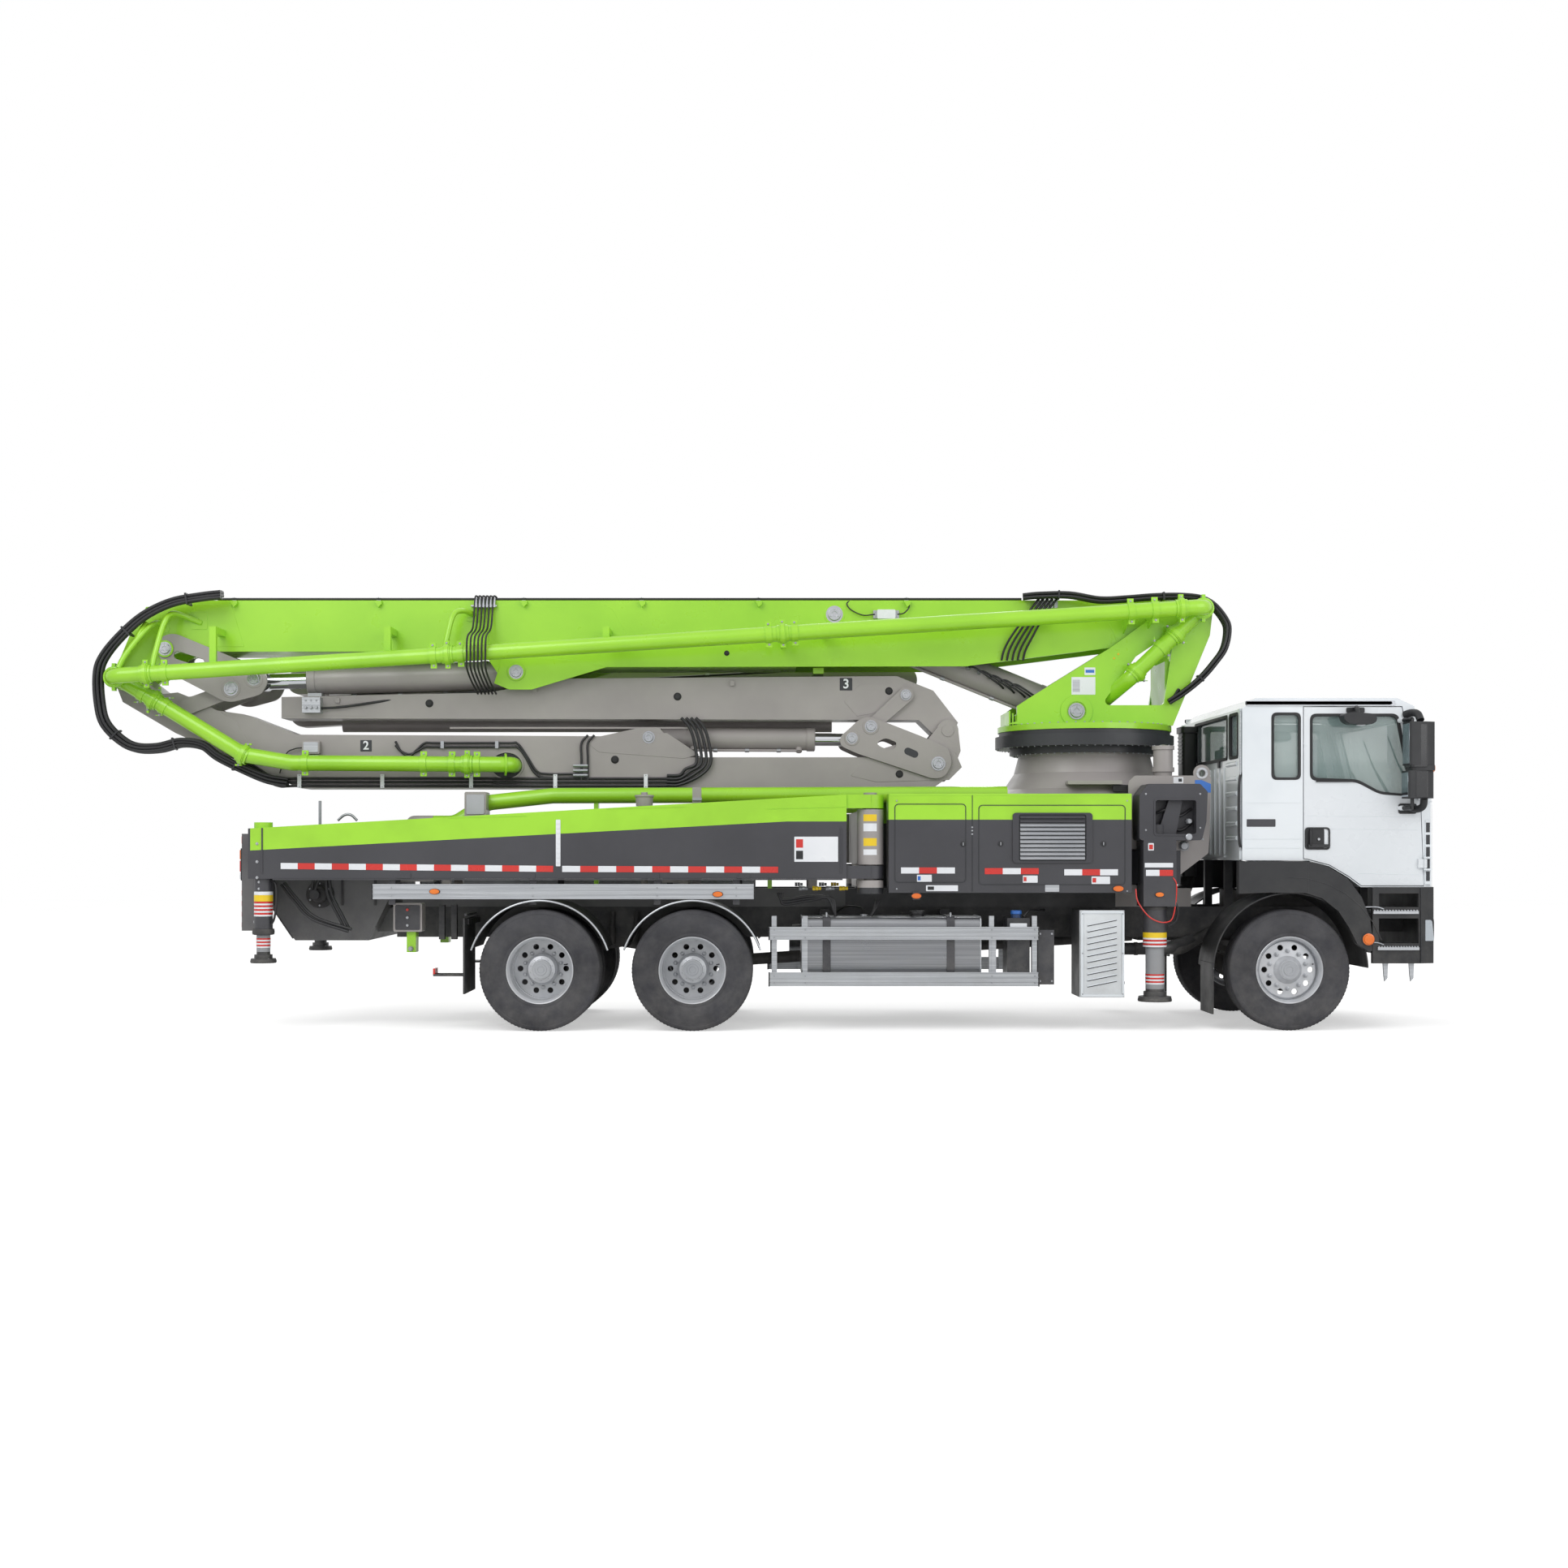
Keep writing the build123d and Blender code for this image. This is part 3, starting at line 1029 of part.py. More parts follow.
def section_3():
    """Boom section 3: box beam with its folding link and the pin for section 4."""
    half, web = SECTION_3_HALF, SECTION_3_HALF - PLATE
    beam = plate(BEAM_3, (-half, half)) + cross_bar(KNEE_2, 100, (-half, half))
    beam -= block((-4200, -1900), (-web, web), (2845, 3020))
    beam -= block((-1700, 1100), (-web, web), (2845, 3190))
    beam += cross_bar(KNEE_3, KNEE_PIN, (0, SECTION_4_Y[1] + 12))
    beam += cross_bar(KNEE_3, 90, (0, SECTION_4_Y[0] - MOVE_GAP))
    beam += cross_bar(SECTION_3_LUG, PIN_RADIUS, (-LINK_3_Y[1], LINK_3_Y[1]))
    for y_range in on_both(*LINK_3_Y):
        beam += strap(SECTION_3_LUG, ROCKER_3_LINK, (70, 60), y_range) - cross_bar(
            ROCKER_3_LINK, PIN_RADIUS, (-300, 300))
    beam += bar((-4000, 285, 2800), (700, 285, 2800), HOSE_RADIUS)
    for x in (-3600, -1400, 500):
        beam += block((x - 25, x + 25), (half - 10, 260), (2835, 2875))
        beam += block((x - 25, x + 25), (230, 260), (2800, 2875))
    return beam - cross_bar(KNEE_2, KNEE_PIN + RUNNING_GAP, (-half - 1, half + 1))


def rocker_3():
    """Pair of rocker plates between section 2, its cylinder and its link."""
    parts = []
    for y_range in on_both(*ROCKER_3_Y):
        parts.append(strap(ROCKER_3_PIVOT, ROCKER_3_LINK, (70, 70), y_range)
                     + strap(ROCKER_3_LINK, FOLD_3_EYE, (70, 60), y_range)
                     - cross_bar(ROCKER_3_PIVOT, PIN_RADIUS + RUNNING_GAP, y_range)
                     - cross_bar(FOLD_3_EYE, PIN_RADIUS, y_range))
    return Part() + parts


# ------------------------------------------------------------------ boom sections 4 to 6
def slim_section(start, end, depths, y_range, bore_radius, pin_y=None):
    """A slim hollow boom section about two side points, with the pin of the next one."""
    wall = PLATE / 2
    low, high = y_range
    beam = strap(start, end, depths, y_range)
    inner_start, inner_end = along(start, end, depths[0] + 60), along(end, start, depths[1] + 60)
    core = strap(inner_start, inner_end, (depths[0] - wall - 10, depths[1] - wall - 10), (low + wall, high - wall))
    beam -= core
    if pin_y:
        beam += cross_bar(end, KNEE_PIN, (high - wall, pin_y[1] + 12))
        beam += cross_bar(end, 85, (high - wall, pin_y[0] - MOVE_GAP))
    return beam - cross_bar(start, bore_radius, (low - 1, high + 1))


def section_4():
    """Boom section 4 beside section 3."""
    return slim_section(KNEE_3, KNEE_4, (140, 130), SECTION_4_Y, KNEE_PIN + RUNNING_GAP, SECTION_5_Y)


def section_5():
    """Boom section 5 beside section 4."""
    return slim_section(KNEE_4, KNEE_5, (130, 120), SECTION_5_Y, KNEE_PIN + RUNNING_GAP, SECTION_6_Y)


def section_6():
    """Boom section 6 with the end of the delivery line."""
    beam = slim_section(KNEE_5, TIP, (120, 100), SECTION_6_Y, KNEE_PIN + RUNNING_GAP)
    return beam + cross_bar(TIP, PIPE_RADIUS, (SECTION_6_Y[1] - 10, SECTION_6_Y[1] + 130))


# ------------------------------------------------------------------ nodes
FIXED = {"chassis_frame": ladder_frame, "running_gear": lambda: front_axle() + bogie(), "engine_block": engine,
         "body_frame": body_frame, "slewing_ring": slewing_ring, "side_housings": side_housings,
         "cab_shell": cab_shell, "cab_glass": cab_glass, "cab_interior": cab_interior, "cab_trim": cab_trim,
         "mudguards": mudguards, "side_guards": side_guards, "tanks": tanks,
         "exhaust_silencer": exhaust_silencer, "pump_unit": pump_unit, "hopper": hopper, "deck_pipe": deck_pipe}
BOOM = {"turret": turret, "lift_barrel": lift_barrel, "lift_rod": lift_rod, "section_1": section_1,
        "rocker_2": rocker_2, "fold_2_barrel": fold_2_barrel, "fold_2_rod": fold_2_rod,
        "section_2": section_2, "delivery_pipe_2": delivery_pipe_2, "rocker_3": rocker_3,
        "fold_3_barrel": fold_3_barrel, "fold_3_rod": fold_3_rod, "section_3": section_3,
        "section_4": section_4, "section_5": section_5, "section_6": section_6}
LEFT_FROM_LEFT = {"front_knuckle": knuckle}
LEFT_FROM_RIGHT = {"door": door, "door_glass": door_glass, "front_jack": front_jack, "rear_jack": rear_jack}

for name, make in {**FIXED, **BOOM}.items():
    save(name, make())
for name, make in LEFT_FROM_LEFT.items():
    left = make()
    save(f"{name}_left", left)
    save(f"{name}_right", mirrored(left))
for name, make in LEFT_FROM_RIGHT.items():
    right = make()
    save(f"{name}_right", right)
    save(f"{name}_left", mirrored(right))
for side in FRONT_BEAM_FLOORS:
    save(f"front_arm_{side}", front_arm(side))
    save(f"swing_arm_{side}", swing_arm(side))

single_rim, pair_rim = front_rim(), twin_rim()
single_tyre, pair_tyre = tyre(0), tyre(-TWIN_SPACING / 2) + tyre(TWIN_SPACING / 2)
AXLES = {"front": (FRONT_AXLE_X, FRONT_TRACK_HALF, single_rim, single_tyre),
         "middle": (rear_axles[0], TWIN_TRACK_HALF, pair_rim, pair_tyre),
         "rear": (rear_axles[1], TWIN_TRACK_HALF, pair_rim, pair_tyre)}
for axle, (x, track, rim, tread) in AXLES.items():
    for part_name, piece in (("rim", rim), ("tyre", tread)):
        left = Pos(x, track, TYRE_RADIUS) * piece
        save(f"{axle}_{part_name}_left", left)
        save(f"{axle}_{part_name}_right", mirrored(left))
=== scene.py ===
"""Concrete pump truck: looks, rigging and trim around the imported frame, in metres."""
import random
from math import atan2, cos, hypot, pi, radians, sin

import bmesh
import bpy
from mathutils import Matrix, Vector
from mathutils.geometry import tessellate_polygon


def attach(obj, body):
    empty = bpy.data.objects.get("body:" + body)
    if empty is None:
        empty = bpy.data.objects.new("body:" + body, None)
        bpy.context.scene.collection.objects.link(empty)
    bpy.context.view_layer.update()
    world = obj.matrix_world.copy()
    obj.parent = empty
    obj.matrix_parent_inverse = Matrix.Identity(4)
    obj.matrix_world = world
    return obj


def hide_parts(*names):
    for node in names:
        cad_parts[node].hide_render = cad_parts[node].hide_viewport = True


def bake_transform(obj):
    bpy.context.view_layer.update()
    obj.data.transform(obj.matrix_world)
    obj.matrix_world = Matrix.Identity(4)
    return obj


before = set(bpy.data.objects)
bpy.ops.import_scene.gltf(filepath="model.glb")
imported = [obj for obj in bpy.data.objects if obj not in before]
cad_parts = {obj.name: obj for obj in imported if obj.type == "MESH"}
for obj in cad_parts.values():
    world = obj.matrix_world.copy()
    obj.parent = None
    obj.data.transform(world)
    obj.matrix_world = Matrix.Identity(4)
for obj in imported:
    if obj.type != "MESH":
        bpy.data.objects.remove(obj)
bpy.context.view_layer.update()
RIGHT, LEFT = -1, 1
SIDES = {"right": RIGHT, "left": LEFT}


# ------------------------------------------------------------------ materials
def rgb(*levels):
    """A colour written as 0-255 screen levels, for a shader socket."""
    out = []
    for level in levels:
        share = level / 255
        out.append(share / 12.92 if share <= 0.04045 else ((share + 0.055) / 1.055) ** 2.4)
    return (*out, 1.0)


class Tree:
    """A material's node tree with short calls to add and join nodes."""

    def __init__(self, name):
        self.material = bpy.data.materials.new(name)
        self.material.use_nodes = True
        self.nodes = self.material.node_tree.nodes
        self.links = self.material.node_tree.links
        self.nodes.clear()
        self.output = self.nodes.new("ShaderNodeOutputMaterial")
        self.place = self.nodes.new("ShaderNodeTexCoord").outputs["Object"]

    def put(self, kind, inputs=(), **settings):
        node = self.nodes.new("ShaderNode" + kind)
        for key, value in settings.items():
            setattr(node, key, value)
        for key, value in dict(inputs).items():
            if isinstance(value, bpy.types.NodeSocket):
                self.links.new(value, node.inputs[key])
            else:
                node.inputs[key].default_value = value
        return node

    def noise(self, scale, detail=3.0, stretch=None, rough=0.55):
        place = self.place
        if stretch:
            place = self.put("Mapping", {"Vector": place, "Scale": stretch}).outputs[0]
        return self.put("TexNoise", {"Vector": place, "Scale": scale, "Detail": detail,
                                     "Roughness": rough}).outputs["Fac"]

    def span(self, value, low, high, to_low=0.0, to_high=1.0):
        return self.put("MapRange", {"Value": value, "From Min": low, "From Max": high,
                                     "To Min": to_low, "To Max": to_high}).outputs[0]

    def math(self, operation, first, second=0.0):
        return self.put("Math", {0: first, 1: second}, operation=operation).outputs[0]

    def mix(self, share, first, second):
        return self.put("MixRGB", {"Fac": share, "Color1": first, "Color2": second}).outputs[0]

    def beyond(self, plane):
        """1 where the point lies beyond a plane (a, b, c, distance), else 0."""
        dot = self.put("VectorMath", {0: self.place, 1: plane[:3]}, operation="DOT_PRODUCT")
        return self.math("GREATER_THAN", dot.outputs["Value"], plane[3])

    def zone(self, planes):
        """1 where the point lies beyond every plane of the list."""
        share = self.beyond(planes[0])
        for plane in planes[1:]:
            share = self.math("MULTIPLY", share, self.beyond(plane))
        return share


# A plane is (a, b, c, distance): low_x(x) is the side below x, high_x(x) the side above it, and so on.
def low_x(x):
    return (-1, 0, 0, -x)


def high_x(x):
    return (1, 0, 0, x)


def low_z(z):
    return (0, 0, -1, -z)


def high_z(z):
    return (0, 0, 1, z)


def above(first, second):
    """The plane that keeps what lies above a side line from first to second (x, z)."""
    run, rise = second[0] - first[0], second[1] - first[1]
    length = hypot(run, rise)
    a, c = -rise / length, run / length
    return (a, 0, c, a * first[0] + c * first[1])


def finish(name, base, other=None, rough=0.4, metal=0.0, broad=1.2, fine=90.0, bump=0.12, depth=0.0015,
           coat=0.0, zones=(), dust=0.0, wear=None, stretch=None, spread=0.08, sheen=0.0, specular=0.5,
           plain=None):
    """A painted, cast, rubber or plastic finish: two tones, dust low down, grain and worn spots."""
    tree = Tree(name)
    other = other or tuple(0.82 * value for value in base[:3]) + (1.0,)
    colour = tree.mix(tree.span(tree.noise(broad, 4.0, stretch), 0.38, 0.66), base, other)
    for planes, paint in zones:
        shade = tuple(0.88 * value for value in paint[:3]) + (1.0,)
        tone = tree.mix(tree.span(tree.noise(broad * 1.7, 3.0), 0.4, 0.66), paint, shade)
        colour = tree.mix(tree.zone(planes), colour, tone)
    if wear:
        spots = tree.span(tree.noise(38.0, 7.0, None, 0.7), 0.66, 0.72)
        colour = tree.mix(spots, colour, wear)
    if dust:
        high = tree.put("SeparateXYZ", {0: tree.place}).outputs["Z"]
        low = tree.span(high, 1.5, 0.1, 0.0, dust)
        cloud = tree.span(tree.noise(6.0, 6.0, None, 0.65), 0.35, 0.7)
        colour = tree.mix(tree.math("MULTIPLY", low, cloud), colour, rgb(146, 143, 137))
    relief = tree.put("Bump", {"Strength": bump, "Distance": depth, "Height": tree.noise(fine, 5.0, stretch)})
    if plain:
        metal = tree.span(tree.zone(plain), 0.0, 1.0, metal, 0.0)
    shader = tree.put("BsdfPrincipled", {
        "Base Color": colour, "Metallic": metal, "Coat Weight": coat, "Coat Roughness": 0.08,
        "Roughness": tree.span(tree.noise(broad * 4, 5.0), 0.3, 0.7, rough - spread, rough + spread),
        "Specular IOR Level": specular, "Sheen Weight": sheen, "Normal": relief.outputs[0]})
    tree.links.new(shader.outputs[0], tree.output.inputs["Surface"])
    return tree.material

GREEN, GREEN_SHADE = rgb(160, 219, 48), rgb(148, 208, 40)
GREY, GREY_SHADE = rgb(161, 156, 154), rgb(150, 145, 144)
BAND, BAND_SHADE = rgb(62, 62, 67), rgb(53, 53, 58)
WHITE, WHITE_SHADE = rgb(226, 231, 235), rgb(214, 220, 225)
BLACK, BLACK_SHADE = rgb(34, 35, 38), rgb(26, 27, 30)
STEEL, STEEL_SHADE = rgb(188, 190, 194), rgb(166, 169, 174)
CHIPS = rgb(96, 92, 86)

MATS = {
    "green": finish("green_paint", GREEN, GREEN_SHADE, rough=0.33, coat=0.35, bump=0.05, dust=0.15),
    "grey": finish("grey_paint", GREY, GREY_SHADE, rough=0.42, coat=0.12, bump=0.08, dust=0.2),
    "band": finish("dark_paint", BAND, BAND_SHADE, rough=0.45, bump=0.1, dust=0.3),
    "ring": finish("ring_paint", rgb(50, 52, 56), rgb(40, 42, 46), rough=0.42, bump=0.12),
    "frame": finish("frame_paint", rgb(44, 45, 49), rgb(33, 34, 38), rough=0.55, bump=0.2, dust=0.55,
                    wear=CHIPS),
    "cast": finish("cast_iron", rgb(66, 65, 66), rgb(46, 46, 49), rough=0.62, metal=0.35, fine=160.0,
                   bump=0.45, dust=0.55, wear=rgb(104, 88, 74)),
    "white": finish("cab_paint", WHITE, WHITE_SHADE, rough=0.22, coat=0.6, bump=0.03, dust=0.06, spread=0.05),
    "plastic": finish("moulded_black", BLACK, BLACK_SHADE, rough=0.48, fine=420.0, bump=0.2, depth=0.0005,
                      dust=0.22),
    "rubber": finish("black_rubber", rgb(40, 40, 42), rgb(30, 30, 32), rough=0.68, fine=300.0, bump=0.3,
                     dust=0.3),
    "steel": finish("bright_steel", STEEL, STEEL_SHADE, rough=0.26, metal=0.9, fine=70.0, bump=0.06),
    "chrome": finish("chromed_rod", rgb(214, 216, 220), rgb(196, 199, 204), rough=0.14, metal=1.0, bump=0.02,
                     spread=0.04),
    "zinc": finish("zinc_plated", rgb(178, 180, 184), rgb(150, 153, 158), rough=0.38, metal=0.75, fine=200.0,
                   bump=0.15),
    "aluminium": finish("brushed_aluminium", rgb(192, 195, 199), rgb(168, 171, 176), rough=0.36, metal=0.7,
                        fine=26.0, stretch=(0.6, 12.0, 60.0), bump=0.12, dust=0.25),
    "rim": finish("rim_silver", rgb(206, 208, 212), rgb(186, 189, 194), rough=0.36, metal=0.35, bump=0.08,
                  dust=0.3, wear=rgb(112, 106, 98)),
    "tyre": finish("tyre_rubber", rgb(72, 72, 76), rgb(58, 58, 62), rough=0.82, broad=2.6, fine=240.0,
                   bump=0.35, dust=0.22, specular=0.3, spread=0.06),
    "seat": finish("seat_cloth", rgb(58, 60, 66), rgb(44, 46, 52), rough=0.9, fine=520.0, bump=0.6,
                   sheen=0.3),
    "red": finish("red_reflector", rgb(212, 44, 34), rgb(196, 34, 28), rough=0.3, fine=600.0, bump=0.12,
                  coat=0.4),
    "label": finish("white_film", rgb(232, 234, 238), rgb(222, 225, 230), rough=0.32, fine=600.0, bump=0.06,
                    coat=0.3),
    "amber": finish("amber_lens", rgb(238, 126, 26), rgb(224, 104, 16), rough=0.2, fine=500.0, bump=0.25,
                    coat=0.6),
    "yellow": finish("yellow_film", rgb(240, 206, 40), rgb(228, 192, 30), rough=0.35, fine=500.0, bump=0.05),
    "blue": finish("blue_film", rgb(60, 120, 205), rgb(50, 106, 190), rough=0.35, fine=500.0, bump=0.05),
    "hose": finish("hose_rubber", rgb(36, 36, 38), rgb(26, 26, 29), rough=0.48, fine=380.0, bump=0.25),
    "lens": finish("clear_lens", rgb(205, 212, 218), rgb(186, 194, 202), rough=0.1, metal=0.5, coat=0.8,
                   bump=0.3, fine=45.0, spread=0.05),
    "mirror": finish("mirror_glass", rgb(190, 198, 206), rgb(176, 186, 196), rough=0.08, metal=1.0, bump=0.01,
                     spread=0.03),
}


def glass():
    """Slightly green window glass, a little dusty."""
    tree = Tree("window_glass")
    haze = tree.span(tree.noise(3.0, 5.0), 0.3, 0.75, 0.02, 0.09)
    tone = tree.mix(tree.span(tree.noise(1.0), 0.35, 0.65), rgb(150, 172, 168), rgb(138, 162, 160))
    relief = tree.put("Bump", {"Strength": 0.03, "Distance": 0.001, "Height": tree.noise(4.0)})
    shader = tree.put("BsdfPrincipled", {"Base Color": tone, "Roughness": haze, "IOR": 1.5, "Alpha": 0.42,
                                         "Specular IOR Level": 0.6, "Coat Weight": 0.5,
                                         "Normal": relief.outputs[0]})
    tree.links.new(shader.outputs[0], tree.output.inputs["Surface"])
    return tree.material


MATS["glass"] = glass()

# ------------------------------------------------------------------ finishes of the CAD nodes
ARM_LINE = ((-4.50, 1.600), (0.247, 1.857), (0.832, 1.857))
ARM_MAT = finish("swing_arm_paint", BAND, BAND_SHADE, rough=0.42, coat=0.15, bump=0.08, dust=0.12, zones=[
    ([above(ARM_LINE[0], ARM_LINE[1]), low_x(0.247), high_x(-4.50)], GREEN),
    ([above(ARM_LINE[1], ARM_LINE[2]), high_x(0.247)], GREEN)])
HOUSING_MAT = finish("housing_paint", BAND, BAND_SHADE, rough=0.42, coat=0.15, bump=0.08, dust=0.12,
                     zones=[([high_z(1.873)], GREEN)])
BODY_MAT = finish("body_frame_paint", GREY, GREY_SHADE, rough=0.45, coat=0.1, bump=0.1, dust=0.3,
                  zones=[([low_z(1.27), low_x(3.3)], rgb(46, 47, 51)),
                         ([low_x(0.8), low_z(2.2)], rgb(92, 92, 94))])
JACK_MAT = finish("jack_paint", BAND, BAND_SHADE, rough=0.42, bump=0.1, dust=0.4,
                  zones=[([low_z(0.746), high_z(0.37)], rgb(150, 152, 156)),
                         ([low_z(0.37)], rgb(58, 58, 60))])
REAR_JACK_MAT = finish("rear_jack_paint", BAND, BAND_SHADE, rough=0.42, bump=0.1, dust=0.4,
                       zones=[([low_z(0.846), high_z(0.70)], rgb(150, 152, 156)),
                              ([low_z(0.70)], rgb(52, 52, 54))])
SILENCER_MAT = finish("silencer_box", rgb(48, 49, 53), rgb(38, 39, 43), rough=0.45, bump=0.12, dust=0.35,
                      zones=[([(0, -1, 0, 1.19)], rgb(219, 223, 226))])
TANK_MAT = finish("fuel_tank", rgb(150, 152, 156), rgb(128, 130, 135), rough=0.34, metal=0.75, fine=24.0,
                  stretch=(0.5, 12.0, 60.0), bump=0.14, dust=0.3, plain=[high_x(2.1)],
                  zones=[([high_x(2.1)], rgb(40, 41, 46))])
PUMP_MAT = finish("pump_paint", GREY, GREY_SHADE, rough=0.45, bump=0.2, dust=0.35)
HOPPER_MAT = finish("hopper_paint", rgb(98, 98, 100), rgb(80, 80, 83), rough=0.5, bump=0.25, dust=0.5,
                    wear=CHIPS)

NODE_MATS = {
    "chassis_frame": "frame", "running_gear": "cast", "engine_block": "cast", "body_frame": BODY_MAT,
    "slewing_ring": "ring", "side_housings": HOUSING_MAT, "cab_shell": "white", "cab_glass": "glass",
    "cab_interior": "seat", "cab_trim": "plastic", "mudguards": "plastic", "side_guards": "aluminium",
    "tanks": TANK_MAT, "exhaust_silencer": SILENCER_MAT, "hopper": HOPPER_MAT, "pump_unit": PUMP_MAT,
    "deck_pipe": "green", "turret": "green", "section_1": "green", "section_2": "grey", "section_3": "grey",
    "section_4": "grey", "section_5": "grey", "section_6": "grey", "delivery_pipe_2": "green",
    "rocker_2": "grey", "rocker_3": "grey", "lift_barrel": "grey", "fold_2_barrel": "grey",
    "fold_3_barrel": "grey", "lift_rod": "chrome", "fold_2_rod": "chrome", "fold_3_rod": "chrome"}
for side, sign in SIDES.items():
    door_mat = finish(f"door_paint_{side}", rgb(221, 225, 229), rgb(214, 219, 223), rough=0.3, coat=0.35,
                      bump=0.05, dust=0.04,
                      zones=[([(0, sign, 0, 1.262), high_x(5.6)], rgb(26, 27, 31)),
                             ([(0, sign, 0, 1.2115), low_z(1.70), high_z(1.60), low_x(5.1)],
                              rgb(26, 27, 31))])
    NODE_MATS.update({
        f"front_knuckle_{side}": "cast", f"front_rim_{side}": "rim", f"middle_rim_{side}": "rim",
        f"rear_rim_{side}": "rim", f"front_tyre_{side}": "tyre", f"middle_tyre_{side}": "tyre",
        f"rear_tyre_{side}": "tyre", f"door_{side}": door_mat, f"door_glass_{side}": "glass",
        f"front_arm_{side}": "band", f"front_jack_{side}": JACK_MAT, f"swing_arm_{side}": ARM_MAT,
        f"rear_jack_{side}": REAR_JACK_MAT})
for name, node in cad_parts.items():
    look = NODE_MATS[name]
    for holder in node.material_slots:
        holder.material = MATS[look] if isinstance(look, str) else look


# ------------------------------------------------------------------ mesh tools
def basis(axis):
    """Two directions across an axis."""
    axis = Vector(axis).normalized()
    side = axis.cross((0, 0, 1) if abs(axis.z) < 0.9 else (1, 0, 0)).normalized()
    return side, axis.cross(side)


def smooth_line(points, per=7):
    """A smooth line through the points."""
    knots = [Vector(point) for point in points]
    knots = [knots[0] * 2 - knots[1]] + knots + [knots[-1] * 2 - knots[-2]]
    line = []
    for a, b, c, d in zip(knots, knots[1:], knots[2:], knots[3:]):
        for step in range(per):
            t = step / per
            line.append(0.5 * (2 * b + (c - a) * t + (2 * a - 5 * b + 4 * c - d) * t * t
                               + (3 * b - a - 3 * c + d) * t ** 3))
    return line + [knots[-2]]


def placed(axis, u, v, w):
    """A point of an outline at w along its axis: (x, z) along y, (x, y) along z, (y, z) along x."""
    return {"y": (u, w, v), "z": (u, v, w), "x": (w, u, v)}[axis]


BOX_FACES = [(0, 1, 3, 2), (4, 6, 7, 5), (0, 4, 5, 1), (2, 3, 7, 6), (0, 2, 6, 4), (1, 5, 7, 3)]


